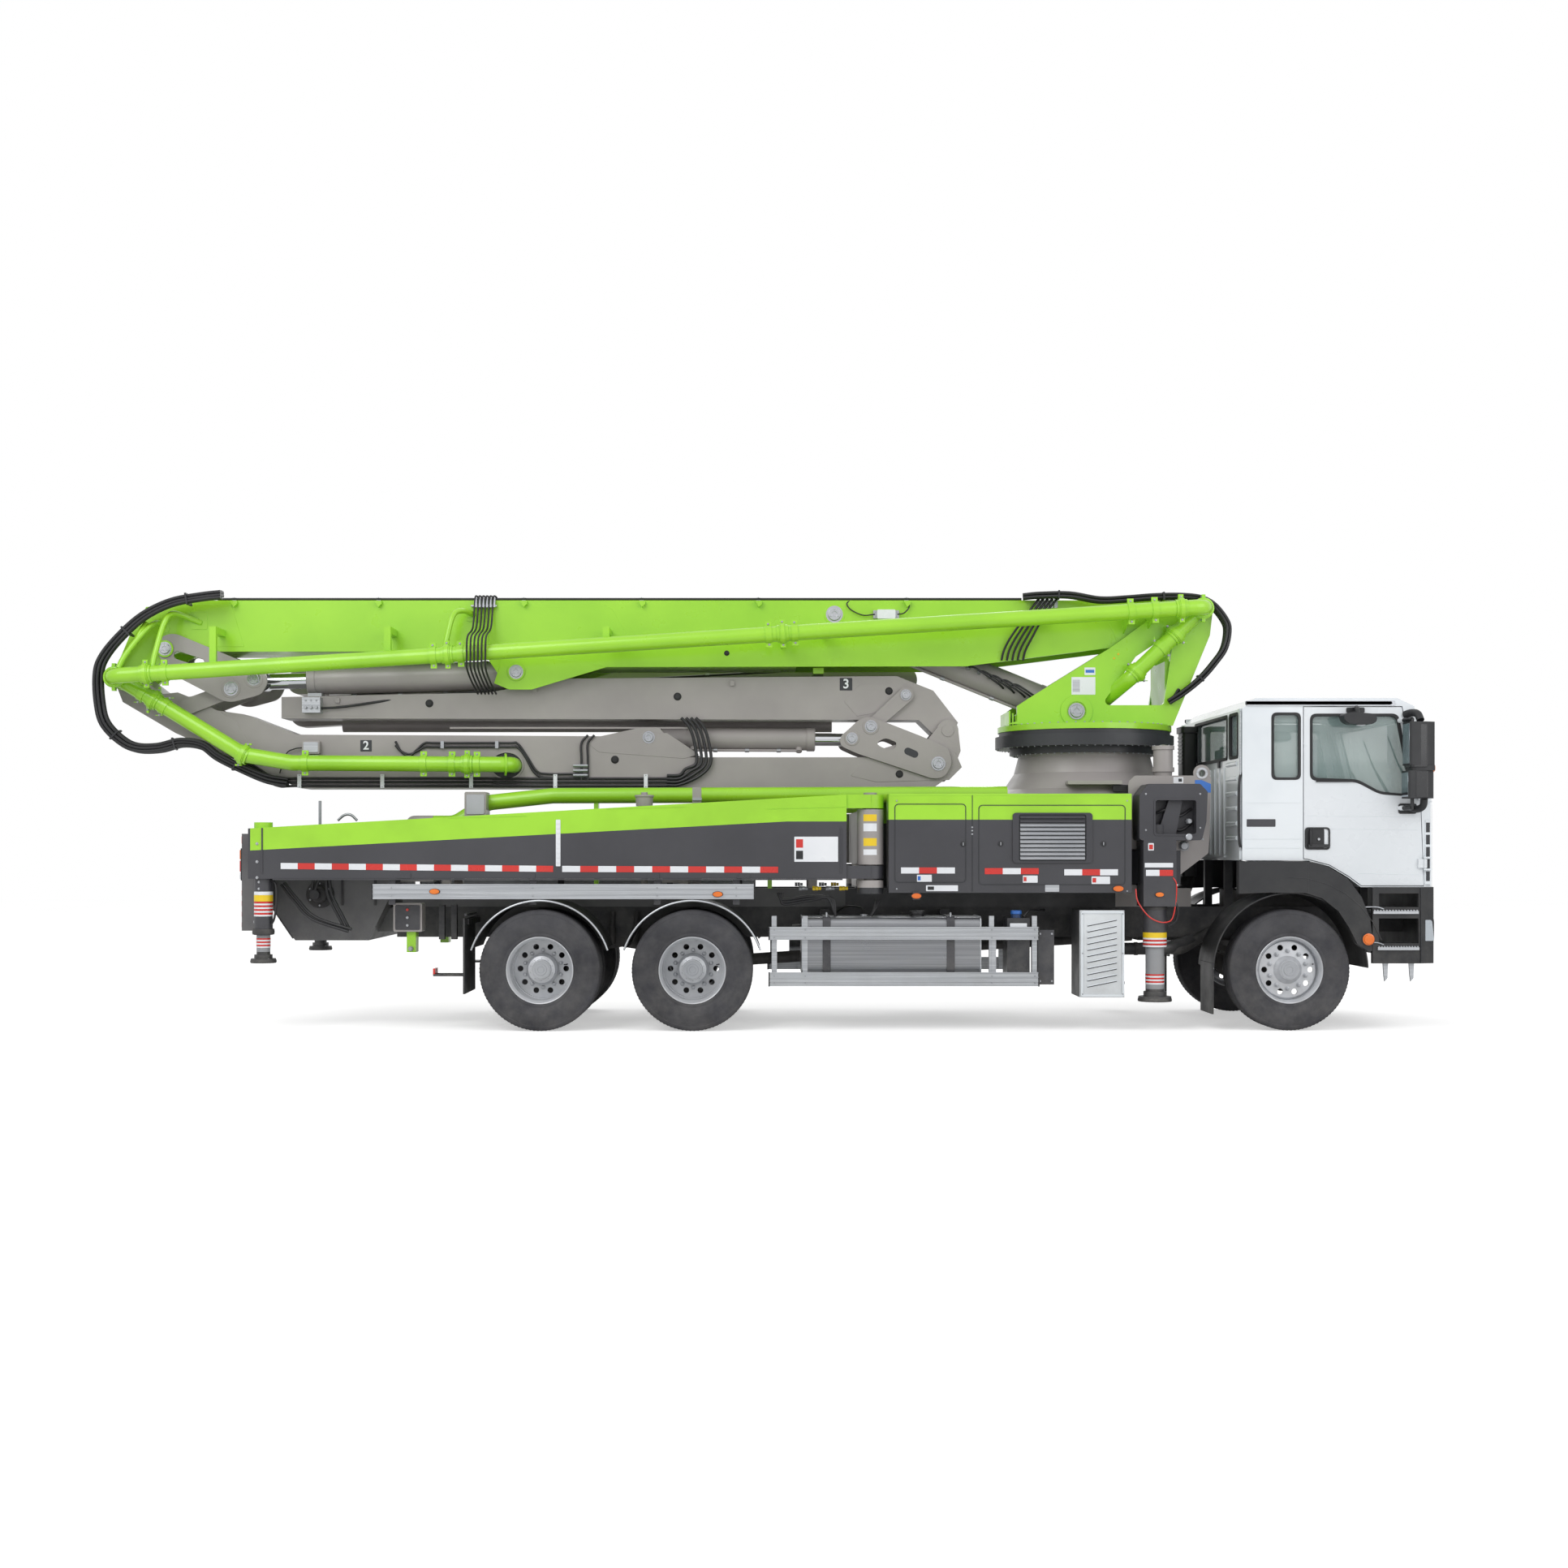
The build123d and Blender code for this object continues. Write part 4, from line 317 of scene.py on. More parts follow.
class Piece:
    """Collects faces in several finishes into one object."""

    def __init__(self, name):
        self.name, self.points, self.faces, self.marks, self.mats = name, [], [], [], []

    def add(self, points, faces, mat):
        if mat not in self.mats:
            self.mats.append(mat)
        first = len(self.points)
        self.points += [Vector(point) for point in points]
        self.faces += [tuple(first + index for index in face) for face in faces]
        self.marks += [self.mats.index(mat)] * len(faces)

    def box(self, low, high, mat):
        (a, b, c), (d, e, f) = low, high
        self.add([(x, y, z) for x in (a, d) for y in (b, e) for z in (c, f)], BOX_FACES, mat)

    def prism(self, outline, low, high, mat, axis="y"):
        """An outline extruded along an axis."""
        count = len(outline)
        points = [placed(axis, u, v, w) for w in (low, high) for u, v in outline]
        faces = [tuple(range(count)), tuple(range(2 * count - 1, count - 1, -1))]
        faces += [(i, (i + 1) % count, count + (i + 1) % count, count + i) for i in range(count)]
        self.add(points, faces, mat)

    def frame(self, outer, inner, low, high, mat, axis="y"):
        """A flat frame between two outlines with the same number of points."""
        count = len(outer)
        points = [placed(axis, u, v, w) for w in (low, high) for ring in (outer, inner) for u, v in ring]
        faces = []
        for i in range(count):
            j = (i + 1) % count
            faces += [(i, j, count + j, count + i),
                      (2 * count + i, 3 * count + i, 3 * count + j, 2 * count + j),
                      (i, 2 * count + i, 2 * count + j, j),
                      (count + i, count + j, 3 * count + j, 3 * count + i)]
        self.add(points, faces, mat)

    def lathe(self, profile, centre, axis, mat, sides=24):
        """A profile of (distance along, radius) turned round an axis; radius 0 closes an end."""
        u, v = basis(axis)
        w, centre = Vector(axis).normalized(), Vector(centre)
        points, rings = [], []
        for along, radius in profile:
            if radius <= 1e-6:
                rings.append([len(points)])
                points.append(centre + w * along)
                continue
            rings.append(list(range(len(points), len(points) + sides)))
            points += [centre + w * along
                       + radius * (cos(2 * pi * i / sides) * u + sin(2 * pi * i / sides) * v)
                       for i in range(sides)]
        faces = []
        for one, two in zip(rings, rings[1:]):
            for i in range(sides):
                j = (i + 1) % sides
                face = (one[i % len(one)], one[j % len(one)], two[j % len(two)], two[i % len(two)])
                faces.append(tuple(dict.fromkeys(face)))
        self.add(points, [face for face in faces if len(face) > 2], mat)

    def block(self, xs, ys, zs, mat):
        """A box between three pairs of sides, the middle pair in either order."""
        low, high = sorted(ys)
        self.box((xs[0], low, zs[0]), (xs[1], high, zs[1]), mat)

    def lug(self, spot, reach, mat):
        """A box reaching as far as the vector to both sides of a spot."""
        corners = [sorted(pair) for pair in zip(spot - reach, spot + reach)]
        self.box([pair[0] for pair in corners], [pair[1] for pair in corners], mat)

    def skin(self, outline, ys, mat):
        """An outline (x, z) extruded between two values of y in either order."""
        self.prism(outline, *sorted(ys), mat)

    def bolts(self, xs, y, zs, size):
        """Bolts on a side face at y, one for each pair of x and z."""
        for x in xs:
            for z in zs:
                self.bolt((x, y, z), (0, 1 if y > 0 else -1, 0), size)

    def rod(self, start, end, radius, mat, sides=16):
        length = (Vector(end) - Vector(start)).length
        self.lathe([(0, 0), (0, radius), (length, radius), (length, 0)], start, Vector(end) - Vector(start),
                   mat, sides)

    def tube(self, points, radius, mat, sides=10, per=7, line=None):
        """A round tube along a smooth line, closed at both ends."""
        line = line or smooth_line(points, per)
        side = basis((line[1] - line[0]).normalized())[0]
        rows = []
        for i, here in enumerate(line):
            ahead = (line[min(i + 1, len(line) - 1)] - line[max(i - 1, 0)]).normalized()
            side = (side - ahead * side.dot(ahead)).normalized()
            other = ahead.cross(side)
            rows += [here + radius * (cos(2 * pi * k / sides) * side + sin(2 * pi * k / sides) * other)
                     for k in range(sides)]
        count = len(line)
        faces = [(i * sides + k, i * sides + (k + 1) % sides, (i + 1) * sides + (k + 1) % sides,
                  (i + 1) * sides + k) for i in range(count - 1) for k in range(sides)]
        faces += [tuple(range(sides - 1, -1, -1)), tuple(range((count - 1) * sides, count * sides))]
        self.add(rows, faces, mat)

    def bolt(self, place, axis, size, mat="zinc", washer=True):
        """A hexagon head with its washer, standing on a face."""
        profile = [(0, 0), (0, size * 0.55), (size * 0.55, size * 0.55), (size * 0.62, size * 0.48),
                   (size * 0.62, 0)]
        self.lathe(profile, place, axis, mat, 6)
        if washer:
            self.lathe([(0, 0), (0, size * 0.75), (size * 0.12, size * 0.75), (size * 0.12, 0)], place, axis,
                       mat, 12)

    def make(self, body, slot, bevel=0.0, angle=34, segments=1):
        mesh = bpy.data.meshes.new(self.name)
        mesh.from_pydata([tuple(point) for point in self.points], [], self.faces)
        for mat in self.mats:
            mesh.materials.append(MATS[mat])
        mesh.polygons.foreach_set("material_index", self.marks)
        work = bmesh.new()
        work.from_mesh(mesh)
        bmesh.ops.recalc_face_normals(work, faces=work.faces)
        work.to_mesh(mesh)
        work.free()
        mesh.shade_smooth()
        mesh.set_sharp_from_angle(angle=radians(angle))
        thing = bpy.data.objects.new(self.name, mesh)
        bpy.context.scene.collection.objects.link(thing)
        if bevel:
            soften = thing.modifiers.new("soften", "BEVEL")
            soften.width, soften.segments, soften.limit_method = bevel, segments, "ANGLE"
            soften.angle_limit = radians(angle)
            soften.harden_normals = False
        if body:
            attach(thing, body)
        return thing


def rounded(low_u, high_u, low_v, high_v, radius, steps=4):
    """A rounded rectangle outline."""
    points = []
    for u, v, start in ((high_u - radius, high_v - radius, 0), (low_u + radius, high_v - radius, 90),
                        (low_u + radius, low_v + radius, 180), (high_u - radius, low_v + radius, 270)):
        points += [(u + radius * cos(radians(start + 90 * i / steps)),
                    v + radius * sin(radians(start + 90 * i / steps)))
                   for i in range(steps + 1)]
    return points


def plate(piece, outlines, low, high, mat, axis="y"):
    """A flat plate with holes: the first outline is its edge, the others are its openings."""
    flat = [[Vector((u, v, 0)) for u, v in outline] for outline in outlines]
    cuts = tessellate_polygon(flat)
    spots = [spot for outline in outlines for spot in outline]
    count = len(spots)
    points = [placed(axis, u, v, w) for w in (low, high) for u, v in spots]
    faces = list(cuts) + [tuple(count + index for index in reversed(cut)) for cut in cuts]
    first = 0
    for outline in outlines:
        for i in range(len(outline)):
            a, b = first + i, first + (i + 1) % len(outline)
            faces.append((a, b, count + b, count + a))
        first += len(outline)
    piece.add(points, faces, mat)


def slot_outline(start, end, radius):
    """A long round-ended opening between two points."""
    (x1, z1), (x2, z2) = start, end
    steps = 8
    turn = atan2(z2 - z1, x2 - x1)
    spots = []
    for (x, z), begin in ((start, turn + pi / 2), (end, turn - pi / 2)):
        spots += [(x + radius * cos(begin + pi * i / steps), z + radius * sin(begin + pi * i / steps))
                  for i in range(steps + 1)]
    return spots


def oval(x, z, wide, tall, count):
    """An oval outline about a point."""
    return [(x + wide * cos(2 * pi * i / count), z + tall * sin(2 * pi * i / count)) for i in range(count)]


def shaped(corners, radius, steps=4):
    """An outline with its corners rounded."""
    spots = []
    for i, corner in enumerate(corners):
        here, before, after = Vector(corner), Vector(corners[i - 1]), Vector(corners[(i + 1) % len(corners)])
        reach = min(radius, 0.45 * (before - here).length, 0.45 * (after - here).length)
        a, b = here + (before - here).normalized() * reach, here + (after - here).normalized() * reach
        for step in range(steps + 1):
            t = step / steps
            spots.append(tuple(a * (1 - t) ** 2 + here * 2 * t * (1 - t) + b * t * t))
    return spots


def bundle(name, knots, spread, radius, seed, clamps):
    """Hoses side by side along one line, tied at the clamps, laid in one fixed curve from the start to the
    end of a joint.
    """
    piece, chance = Piece(name), random.Random(seed)
    centre = smooth_line(knots, 6)
    for dy, dn in spread:
        phase, sway = chance.uniform(0, 6.28), chance.uniform(0.2, 0.5)
        line = []
        for i, here in enumerate(centre):
            ahead = (centre[min(i + 1, len(centre) - 1)] - centre[max(i - 1, 0)]).normalized()
            side = Vector((0, 1, 0))
            side = (side - ahead * side.dot(ahead)).normalized()
            wave = radius * sway * sin(phase + 9 * i / len(centre))
            line.append(here + side * (dy + wave) + ahead.cross(side) * (dn + 0.6 * wave))
        piece.tube(None, radius, "hose", 9, line=line)
    half_y, half_n = (max(abs(pair[n]) for pair in spread) + radius * 1.5 for n in (0, 1))
    for i in clamps:
        ahead = (centre[i + 1] - centre[i - 1]).normalized()
        side = (Vector((0, 1, 0)) - ahead * ahead.y).normalized()
        other = ahead.cross(side)
        corners = [centre[i] + ahead * a + side * b + other * c
                   for a in (-0.008, 0.008) for b in (-half_y, half_y) for c in (-half_n, half_n)]
        piece.add(corners, BOX_FACES, "plastic")
    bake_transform(piece.make(None, "black_plastic"))


# ------------------------------------------------------------------ wheels
HUB_Z = 0.538
TREADS = 96  # shoulder blocks round a tyre, and sides of its turned profile
# x of each axle and the distances of its tyres from the middle plane.
AXLES = {"front": (4.71, (1.035,)), "middle": (-0.59, (0.7455, 1.0905)), "rear": (-1.94, (0.7455, 1.0905))}


def tyre(piece, centre, outward):
    """A truck tyre: ribbed tread with grooves and sipes, shoulder blocks and ringed sidewalls."""
    x, y, z = centre
    side = [(0.118, 0.292), (0.134, 0.300), (0.139, 0.312), (0.137, 0.330), (0.143, 0.345), (0.1475, 0.372),
            (0.1492, 0.400), (0.1496, 0.403), (0.1496, 0.409), (0.1490, 0.412), (0.1485, 0.440),
            (0.1478, 0.444), (0.1478, 0.450), (0.1440, 0.470), (0.1380, 0.492), (0.1372, 0.496),
            (0.1385, 0.500), (0.1350, 0.516), (0.1280, 0.5300), (0.1190, 0.5345)]
    crown, depth = [], 0.013
    for middle in (0.082, 0.030, -0.030, -0.082):
        crown += [(middle + 0.0065, 0.5375), (middle + 0.0045, 0.5375 - depth),
                  (middle - 0.0045, 0.5375 - depth), (middle - 0.0065, 0.5375)]
    profile = side + crown + [(-along, radius) for along, radius in reversed(side)]
    piece.lathe(profile, (x, y, z), (0, outward, 0), "tyre", TREADS)
    for i in range(TREADS):
        turn = 2 * pi * (i + 0.5) / TREADS
        u, w = Vector((cos(turn), 0, sin(turn))), Vector((-sin(turn), 0, cos(turn)))
        for edge in (-1, 1):
            corners = []
            for out, along, across in ((0.5262, 0.1335, 0.0075), (0.5262, 0.0930, 0.0075),
                                       (0.5382, 0.0930, 0.0065), (0.5372, 0.1180, 0.0065),
                                       (0.5300, 0.1312, 0.0065)):
                for hand in (-1, 1):
                    corners.append(Vector((x, y, z)) + u * out + w * across * hand
                                   + Vector((0, edge * along, 0)))
            faces = [(0, 2, 4, 6, 8), (1, 9, 7, 5, 3), (2, 3, 5, 4), (4, 5, 7, 6), (6, 7, 9, 8), (8, 9, 1, 0)]
            piece.add(corners, faces, "tyre")


def wheel_trim(piece, x, y, outward, front):
    """Rim lip, wheel nuts, valve and hub cap bolts on the outer face of a wheel."""
    rim_y = y if front else y + outward * 0.1725
    piece.lathe([(0.100, 0.2705), (0.104, 0.2745), (0.112, 0.2760), (0.122, 0.2815), (0.1290, 0.2870),
                 (0.1345, 0.2905), (0.1365, 0.2945), (0.1335, 0.2985), (0.1270, 0.2995)],
                (x, rim_y, HUB_Z), (0, outward, 0), "rim", 72)
    nut_y = y + outward * (0.0605 if front else 0.0135)
    cap_y = y + outward * (0.099 if front else 0.157)
    for i in range(10):
        turn = 2 * pi * (i + 0.5) / 10
        across = Vector((cos(turn), 0, sin(turn)))
        spot = Vector((x, nut_y, HUB_Z)) + across * 0.1675
        piece.lathe([(0, 0), (0, 0.0235), (0.004, 0.0235), (0.005, 0.0165), (0.024, 0.0165), (0.026, 0.0125),
                     (0.036, 0.0115), (0.037, 0)], spot, (0, outward, 0), "zinc", 6)
        piece.bolt(Vector((x, cap_y - outward * 0.004, HUB_Z)) + across * (0.0925 if front else 0.1),
                   (0, outward, 0), 0.009, "zinc")
    end_y = y + outward * (0.1305 if front else 0.2025)
    piece.lathe([(0, 0.080), (0.003, 0.078), (0.003, 0.052), (0.007, 0.050), (0.007, 0.030), (0.004, 0.028),
                 (0.004, 0.0)], (x, end_y, HUB_Z), (0, outward, 0), "zinc", 40)
    valve = Vector((x + 0.235, rim_y + outward * 0.02, HUB_Z + 0.05))
    piece.tube([valve, valve + Vector((-0.006, outward * 0.04, 0)),
                valve + Vector((-0.02, outward * 0.085, 0))], 0.006, "rubber", 8, 4)


for axle, (wheel_x, tracks) in AXLES.items():
    for side, sign in SIDES.items():
        rubber = Piece(f"{axle}_tread_{side}")
        for track in tracks:
            tyre(rubber, (wheel_x, sign * track, HUB_Z), sign)
        cover = rubber.make(f"{axle}_wheel_{side}", "tyre", angle=28)
        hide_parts(f"{axle}_tyre_{side}")
        trim = Piece(f"{axle}_wheel_trim_{side}")
        wheel_trim(trim, wheel_x, sign * (1.035 if axle == "front" else 0.918), sign, axle == "front")
        trim.make(f"{axle}_wheel_{side}", "rim_silver", angle=30)


# ------------------------------------------------------------------ boom: clamps, pins, lines and hoses
def coupling(piece, place, axis, radius, mat="green", lever=True):
    """A pipe coupling: two grooved collars, the clamp shell between them and its bolt lugs."""
    axis = Vector(axis).normalized()
    r = radius
    piece.lathe([(-0.052, r), (-0.052, r + 0.010), (-0.030, r + 0.010), (-0.027, r + 0.020),
                 (0.027, r + 0.020), (0.030, r + 0.010), (0.052, r + 0.010),
                 (0.052, r)], place, axis, mat, 28)
    piece.lathe([(-0.019, r + 0.019), (-0.017, r + 0.027), (0.017, r + 0.027), (0.019, r + 0.019)],
                place, axis, mat, 28)
    if lever:
        side, up = basis(axis)
        for hand in (-1, 1):
            spot = Vector(place) + up * hand * (r + 0.034)
            piece.lug(spot, side * 0.016 + axis * 0.024 + up * 0.02, mat)
            piece.bolt(spot - side * 0.016, -side, 0.013, "zinc")
            piece.bolt(spot + side * 0.016, side, 0.013, "zinc")


def saddle(piece, place, axis, radius, reach, mat="green"):
    """A pipe clip: a band round the pipe with ears, standing on its bracket towards reach."""
    axis, reach = Vector(axis).normalized(), Vector(reach)
    piece.lathe([(-0.030, radius - 0.001), (-0.030, radius + 0.008), (0.030, radius + 0.008),
                 (0.030, radius - 0.001)], place, axis, mat, 28)
    side = axis.cross(reach).normalized()
    for hand in (-1, 1):
        spot = Vector(place) + side * hand * (radius + 0.022)
        piece.lug(spot, side * 0.022 + axis * 0.030 + reach.normalized() * 0.008, mat)
        piece.bolt(spot - reach.normalized() * 0.008, -reach, 0.014, "zinc")


def pin_head(piece, point, y, sign, radius):
    """A round pin head with its keeper bolts, on the outer face at y."""
    x, z = point
    piece.lathe([(0, radius * 1.28), (0.006, radius * 1.28), (0.006, radius), (0.018, radius * 0.98),
                 (0.022, radius * 0.9), (0.022, radius * 0.42), (0.018, radius * 0.38), (0.018, 0)],
                (x, y, z), (0, sign, 0), "steel", 32)
    for i in range(3):
        turn = radians(90 + 120 * i)
        piece.bolt((x + radius * 0.66 * cos(turn), y + sign * 0.021, z + radius * 0.66 * sin(turn)),
                   (0, sign, 0), radius * 0.17)


# Hinge lines and pins of the boom, (x, z); knee 1 is the one between sections 1 and 2.
PIVOT, KNEE_1, KNEE_3, KNEE_4, KNEE_5 = (
    (4.086, 3.827), (-5.930, 3.194), (-4.400, 2.935), (1.400, 3.250), (-4.500, 3.250))
LIFT_PIN, LIFT_EYE = (2.950, 2.894), (0.704, 3.803)
FOLD_2_PIN, FOLD_2_EYE = (-2.263, 3.265), (-4.700, 3.197)
FOLD_3_PIN, FOLD_3_EYE = (-1.032, 2.660), (0.869, 2.650)
LINK_3 = (1.376, 3.057)
PIPE_R = 0.072
# Side plates of sections 1 to 3: a skin lies just inside the plate, a face just outside.
SKIN_1, SKIN_2, SKIN_3 = 0.2995, 0.2295, 0.1895
FACE_1, FACE_2, FACE_3 = 0.3005, 0.2305, 0.1905
# The delivery line along section 1, from end to end.
LINE_1 = ((PIVOT[0], -0.66, PIVOT[1]), (KNEE_1[0], -0.66, KNEE_1[1]))


def at(line, x):
    """A point on a straight pipe at x, with its direction."""
    (x1, y1, z1), (x2, y2, z2) = line
    share = (x - x1) / (x2 - x1)
    spot = (x, y1 + share * (y2 - y1), z1 + share * (z2 - z1))
    return spot, Vector((x2 - x1, y2 - y1, z2 - z1)).normalized()


def struts(piece, rows, radius):
    """Bent round braces."""
    for points in rows:
        piece.tube(points, radius, "green", 12, 4)


def plug(piece, x, z, y, sign, radius=0.03):
    """A black rubber plug in a round hole."""
    piece.lathe([(0, radius * 1.25), (0.004, radius * 1.2), (0.004, radius), (0.012, radius * 0.8),
                 (0.014, 0)], (x, y, z), (0, sign, 0), "rubber", 24)


def number_plate(name, digit, x, z, y, size, body):
    """A dark square with its section number in white."""
    tile = Piece(f"{name}_tile")
    tile.prism(rounded(x - size / 2, x + size / 2, z - size / 2, z + size / 2, 0.004, 2), y - 0.0025, y,
               "ring")
    tile.make(body, "dark_grey")
    curve = bpy.data.curves.new(name, "FONT")
    curve.body, curve.size, curve.extrude, curve.offset = digit, size * 1.05, 0.0008, 0.0022
    curve.align_x, curve.align_y = "CENTER", "CENTER"
    source = bpy.data.objects.new(name, curve)
    bpy.context.scene.collection.objects.link(source)
    bpy.context.view_layer.update()
    mesh = bpy.data.meshes.new_from_object(source)
    mesh.transform(Matrix.Translation((x, y - 0.0035, z)) @ Matrix.Rotation(radians(90), 4, "X"))
    bpy.data.objects.remove(source)
    bpy.data.curves.remove(curve)
    mesh.materials.clear()
    mesh.materials.append(MATS["label"])
    thing = bpy.data.objects.new(f"{name}_digit", mesh)
    bpy.context.scene.collection.objects.link(thing)
    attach(thing, body)


def boom_1():
    """Section 1: couplings, braces, pins, doubler plates, top lines, clips and the junction box."""
    pipes = Piece("pipe_1_couplings")
    for x in (3.86, 0.217, -2.846, -5.60):
        coupling(pipes, *at(LINE_1, x), PIPE_R)
    for x in (3.40, 3.62, 0.328, 0.089, -2.726, -2.976, -5.43):
        saddle(pipes, *at(LINE_1, x), PIPE_R, (0, 1, 0))
    for x, z in (PIVOT, KNEE_1):
        coupling(pipes, (x, -0.546, z), (0, 1, 0), PIPE_R)
    pipes.make("boom_1", "boom_green", 0.0015)

    braces = Piece("pipe_1_braces")
    struts(braces, [
        [(-5.20, -0.30, 3.72), (-5.32, -0.36, 3.77), (-5.42, -0.46, 3.79), (-5.47, -0.54, 3.70),
         (-5.53, -0.61, 3.42), (-5.55, -0.64, 3.28)],
        [(-5.56, -0.30, 3.70), (-5.58, -0.42, 3.71), (-5.66, -0.52, 3.62), (-5.80, -0.61, 3.40),
         (-5.86, -0.64, 3.27)],
        [(-5.66, -0.46, 3.70), (-5.69, -0.52, 3.62), (-5.72, -0.56, 3.53)],
        [(-2.66, -0.30, 3.80), (-2.74, -0.42, 3.82), (-2.82, -0.52, 3.76), (-2.88, -0.60, 3.46)]], 0.026)
    for x, top in ((3.40, 3.74), (3.62, 3.755), (0.21, 3.60)):
        level = at(LINE_1, x)[0][2]
        braces.prism([(-0.30, top + 0.02), (-0.57, level + 0.06), (-0.60, level - 0.05), (-0.30, top - 0.12)],
                     x - 0.006, x + 0.006, "green", "x")
    for x, z, size in ((-5.22, 3.74, 0.16), (-5.57, 3.70, 0.14), (-2.66, 3.80, 0.13)):
        braces.prism(rounded(x - size / 2, x + size / 2, z - size / 2, z + size / 2, 0.02), -0.309, -SKIN_1,
                     "green")
    braces.make("boom_1", "boom_green", 0.001)

    pins = Piece("section_1_pins")
    for sign in (RIGHT, LEFT):
        for point, y, radius in ((LIFT_EYE, 0.300, 0.062), (FOLD_2_PIN, 0.312, 0.052),
                                 (KNEE_1, 0.312, 0.062), ((-5.526, 3.477), 0.347, 0.050)):
            pin_head(pins, point, sign * y, sign, radius)
            pins.lathe([(0, radius * 1.6), (0.004, radius * 1.55), (0.004, radius)],
                       (point[0], sign * (y - 0.0005), point[1]), (0, sign, 0), "green", 36)
    pins.make("boom_1", "steel", 0.0008)

    panel = Piece("section_1_doubler")
    for sign in (RIGHT, LEFT):
        ys = (sign * SKIN_1, sign * 0.3035)
        panel.skin([(-2.52, 3.52), (-2.52, 3.845), (-2.47, 3.885), (-1.44, 3.885), (-1.37, 3.85),
                    (-1.20, 3.56), (-1.26, 3.52)], ys, "green")
        panel.skin([(-2.47, 3.16), (-2.33, 3.10), (-2.12, 3.10), (-1.42, 3.31), (-1.60, 3.36), (-2.38, 3.44)],
                   ys, "green")
        panel.skin([(-5.68, 3.87), (-5.30, 3.90), (-4.92, 3.89), (-4.80, 3.50), (-5.22, 3.50), (-5.56, 3.60)],
                   ys, "green")
        panel.skin([(3.20, 3.90), (4.18, 3.90), (4.14, 3.73), (3.34, 3.53)], ys, "green")
    panel.box((0.51, -0.15, 3.262), (0.61, 0.15, 3.318), "green")
    panel.make("boom_1", "boom_green", 0.003, segments=3)

    lines = Piece("section_1_top_lines")
    for k in range(5):
        lines.tube([(-5.05, -0.285 + 0.03 * k, 3.945), (-1.2, -0.285 + 0.03 * k, 3.945),
                    (2.45 - 0.07 * k, -0.285 + 0.03 * k, 3.945)], 0.0125, "hose", 10, 3)
    lines.make("boom_1", "black_plastic")

    clips = Piece("section_1_clips")
    for x in (-4.893, -3.547, -2.193, -1.094, -0.006, 1.376):
        clips.prism([(x - 0.03, 3.925), (x + 0.035, 3.925), (x + 0.035, 3.895), (x + 0.005, 3.865),
                     (x - 0.012, 3.89)], -0.345, -0.2985, "green")
        clips.box((x - 0.02, -0.302, 3.9315), (x + 0.02, -0.152, 3.9345), "zinc")
        clips.box((x - 0.02, -0.302, 3.9535), (x + 0.02, -0.152, 3.9575), "zinc")
        for y in (-0.299, -0.155):
            clips.bolt((x, y, 3.9575), (0, 0, 1), 0.008)
    for x, z in ((3.05, 3.80), (-0.3, 3.44)):
        plug(clips, x, z, -FACE_1, RIGHT, 0.02)
    clips.make("boom_1", "boom_green", 0.001)

    box = Piece("section_1_junction_box")
    box.prism(rounded(1.10, 1.27, 3.757, 3.842, 0.012), -0.350, -0.3, "label")
    for x in (1.085, 1.285):
        box.box((x - 0.02, -0.325, 3.762), (x + 0.02, -SKIN_1, 3.837), "zinc")
        for z in (3.777, 3.822):
            box.bolt((x, -0.325, z), (0, -1, 0), 0.007)
    box.tube([(1.08, -0.33, 3.80), (0.97, -0.335, 3.79), (0.86, -0.325, 3.84), (0.82, -0.305, 3.90),
              (0.86, -0.29, 3.94)], 0.006, "hose", 8)
    box.tube([(1.29, -0.33, 3.80), (1.35, -0.335, 3.81), (1.40, -0.32, 3.87), (1.38, -0.29, 3.94)], 0.006,
             "hose", 8)
    box.make("boom_1", "light_grey", 0.001)


boom_1()


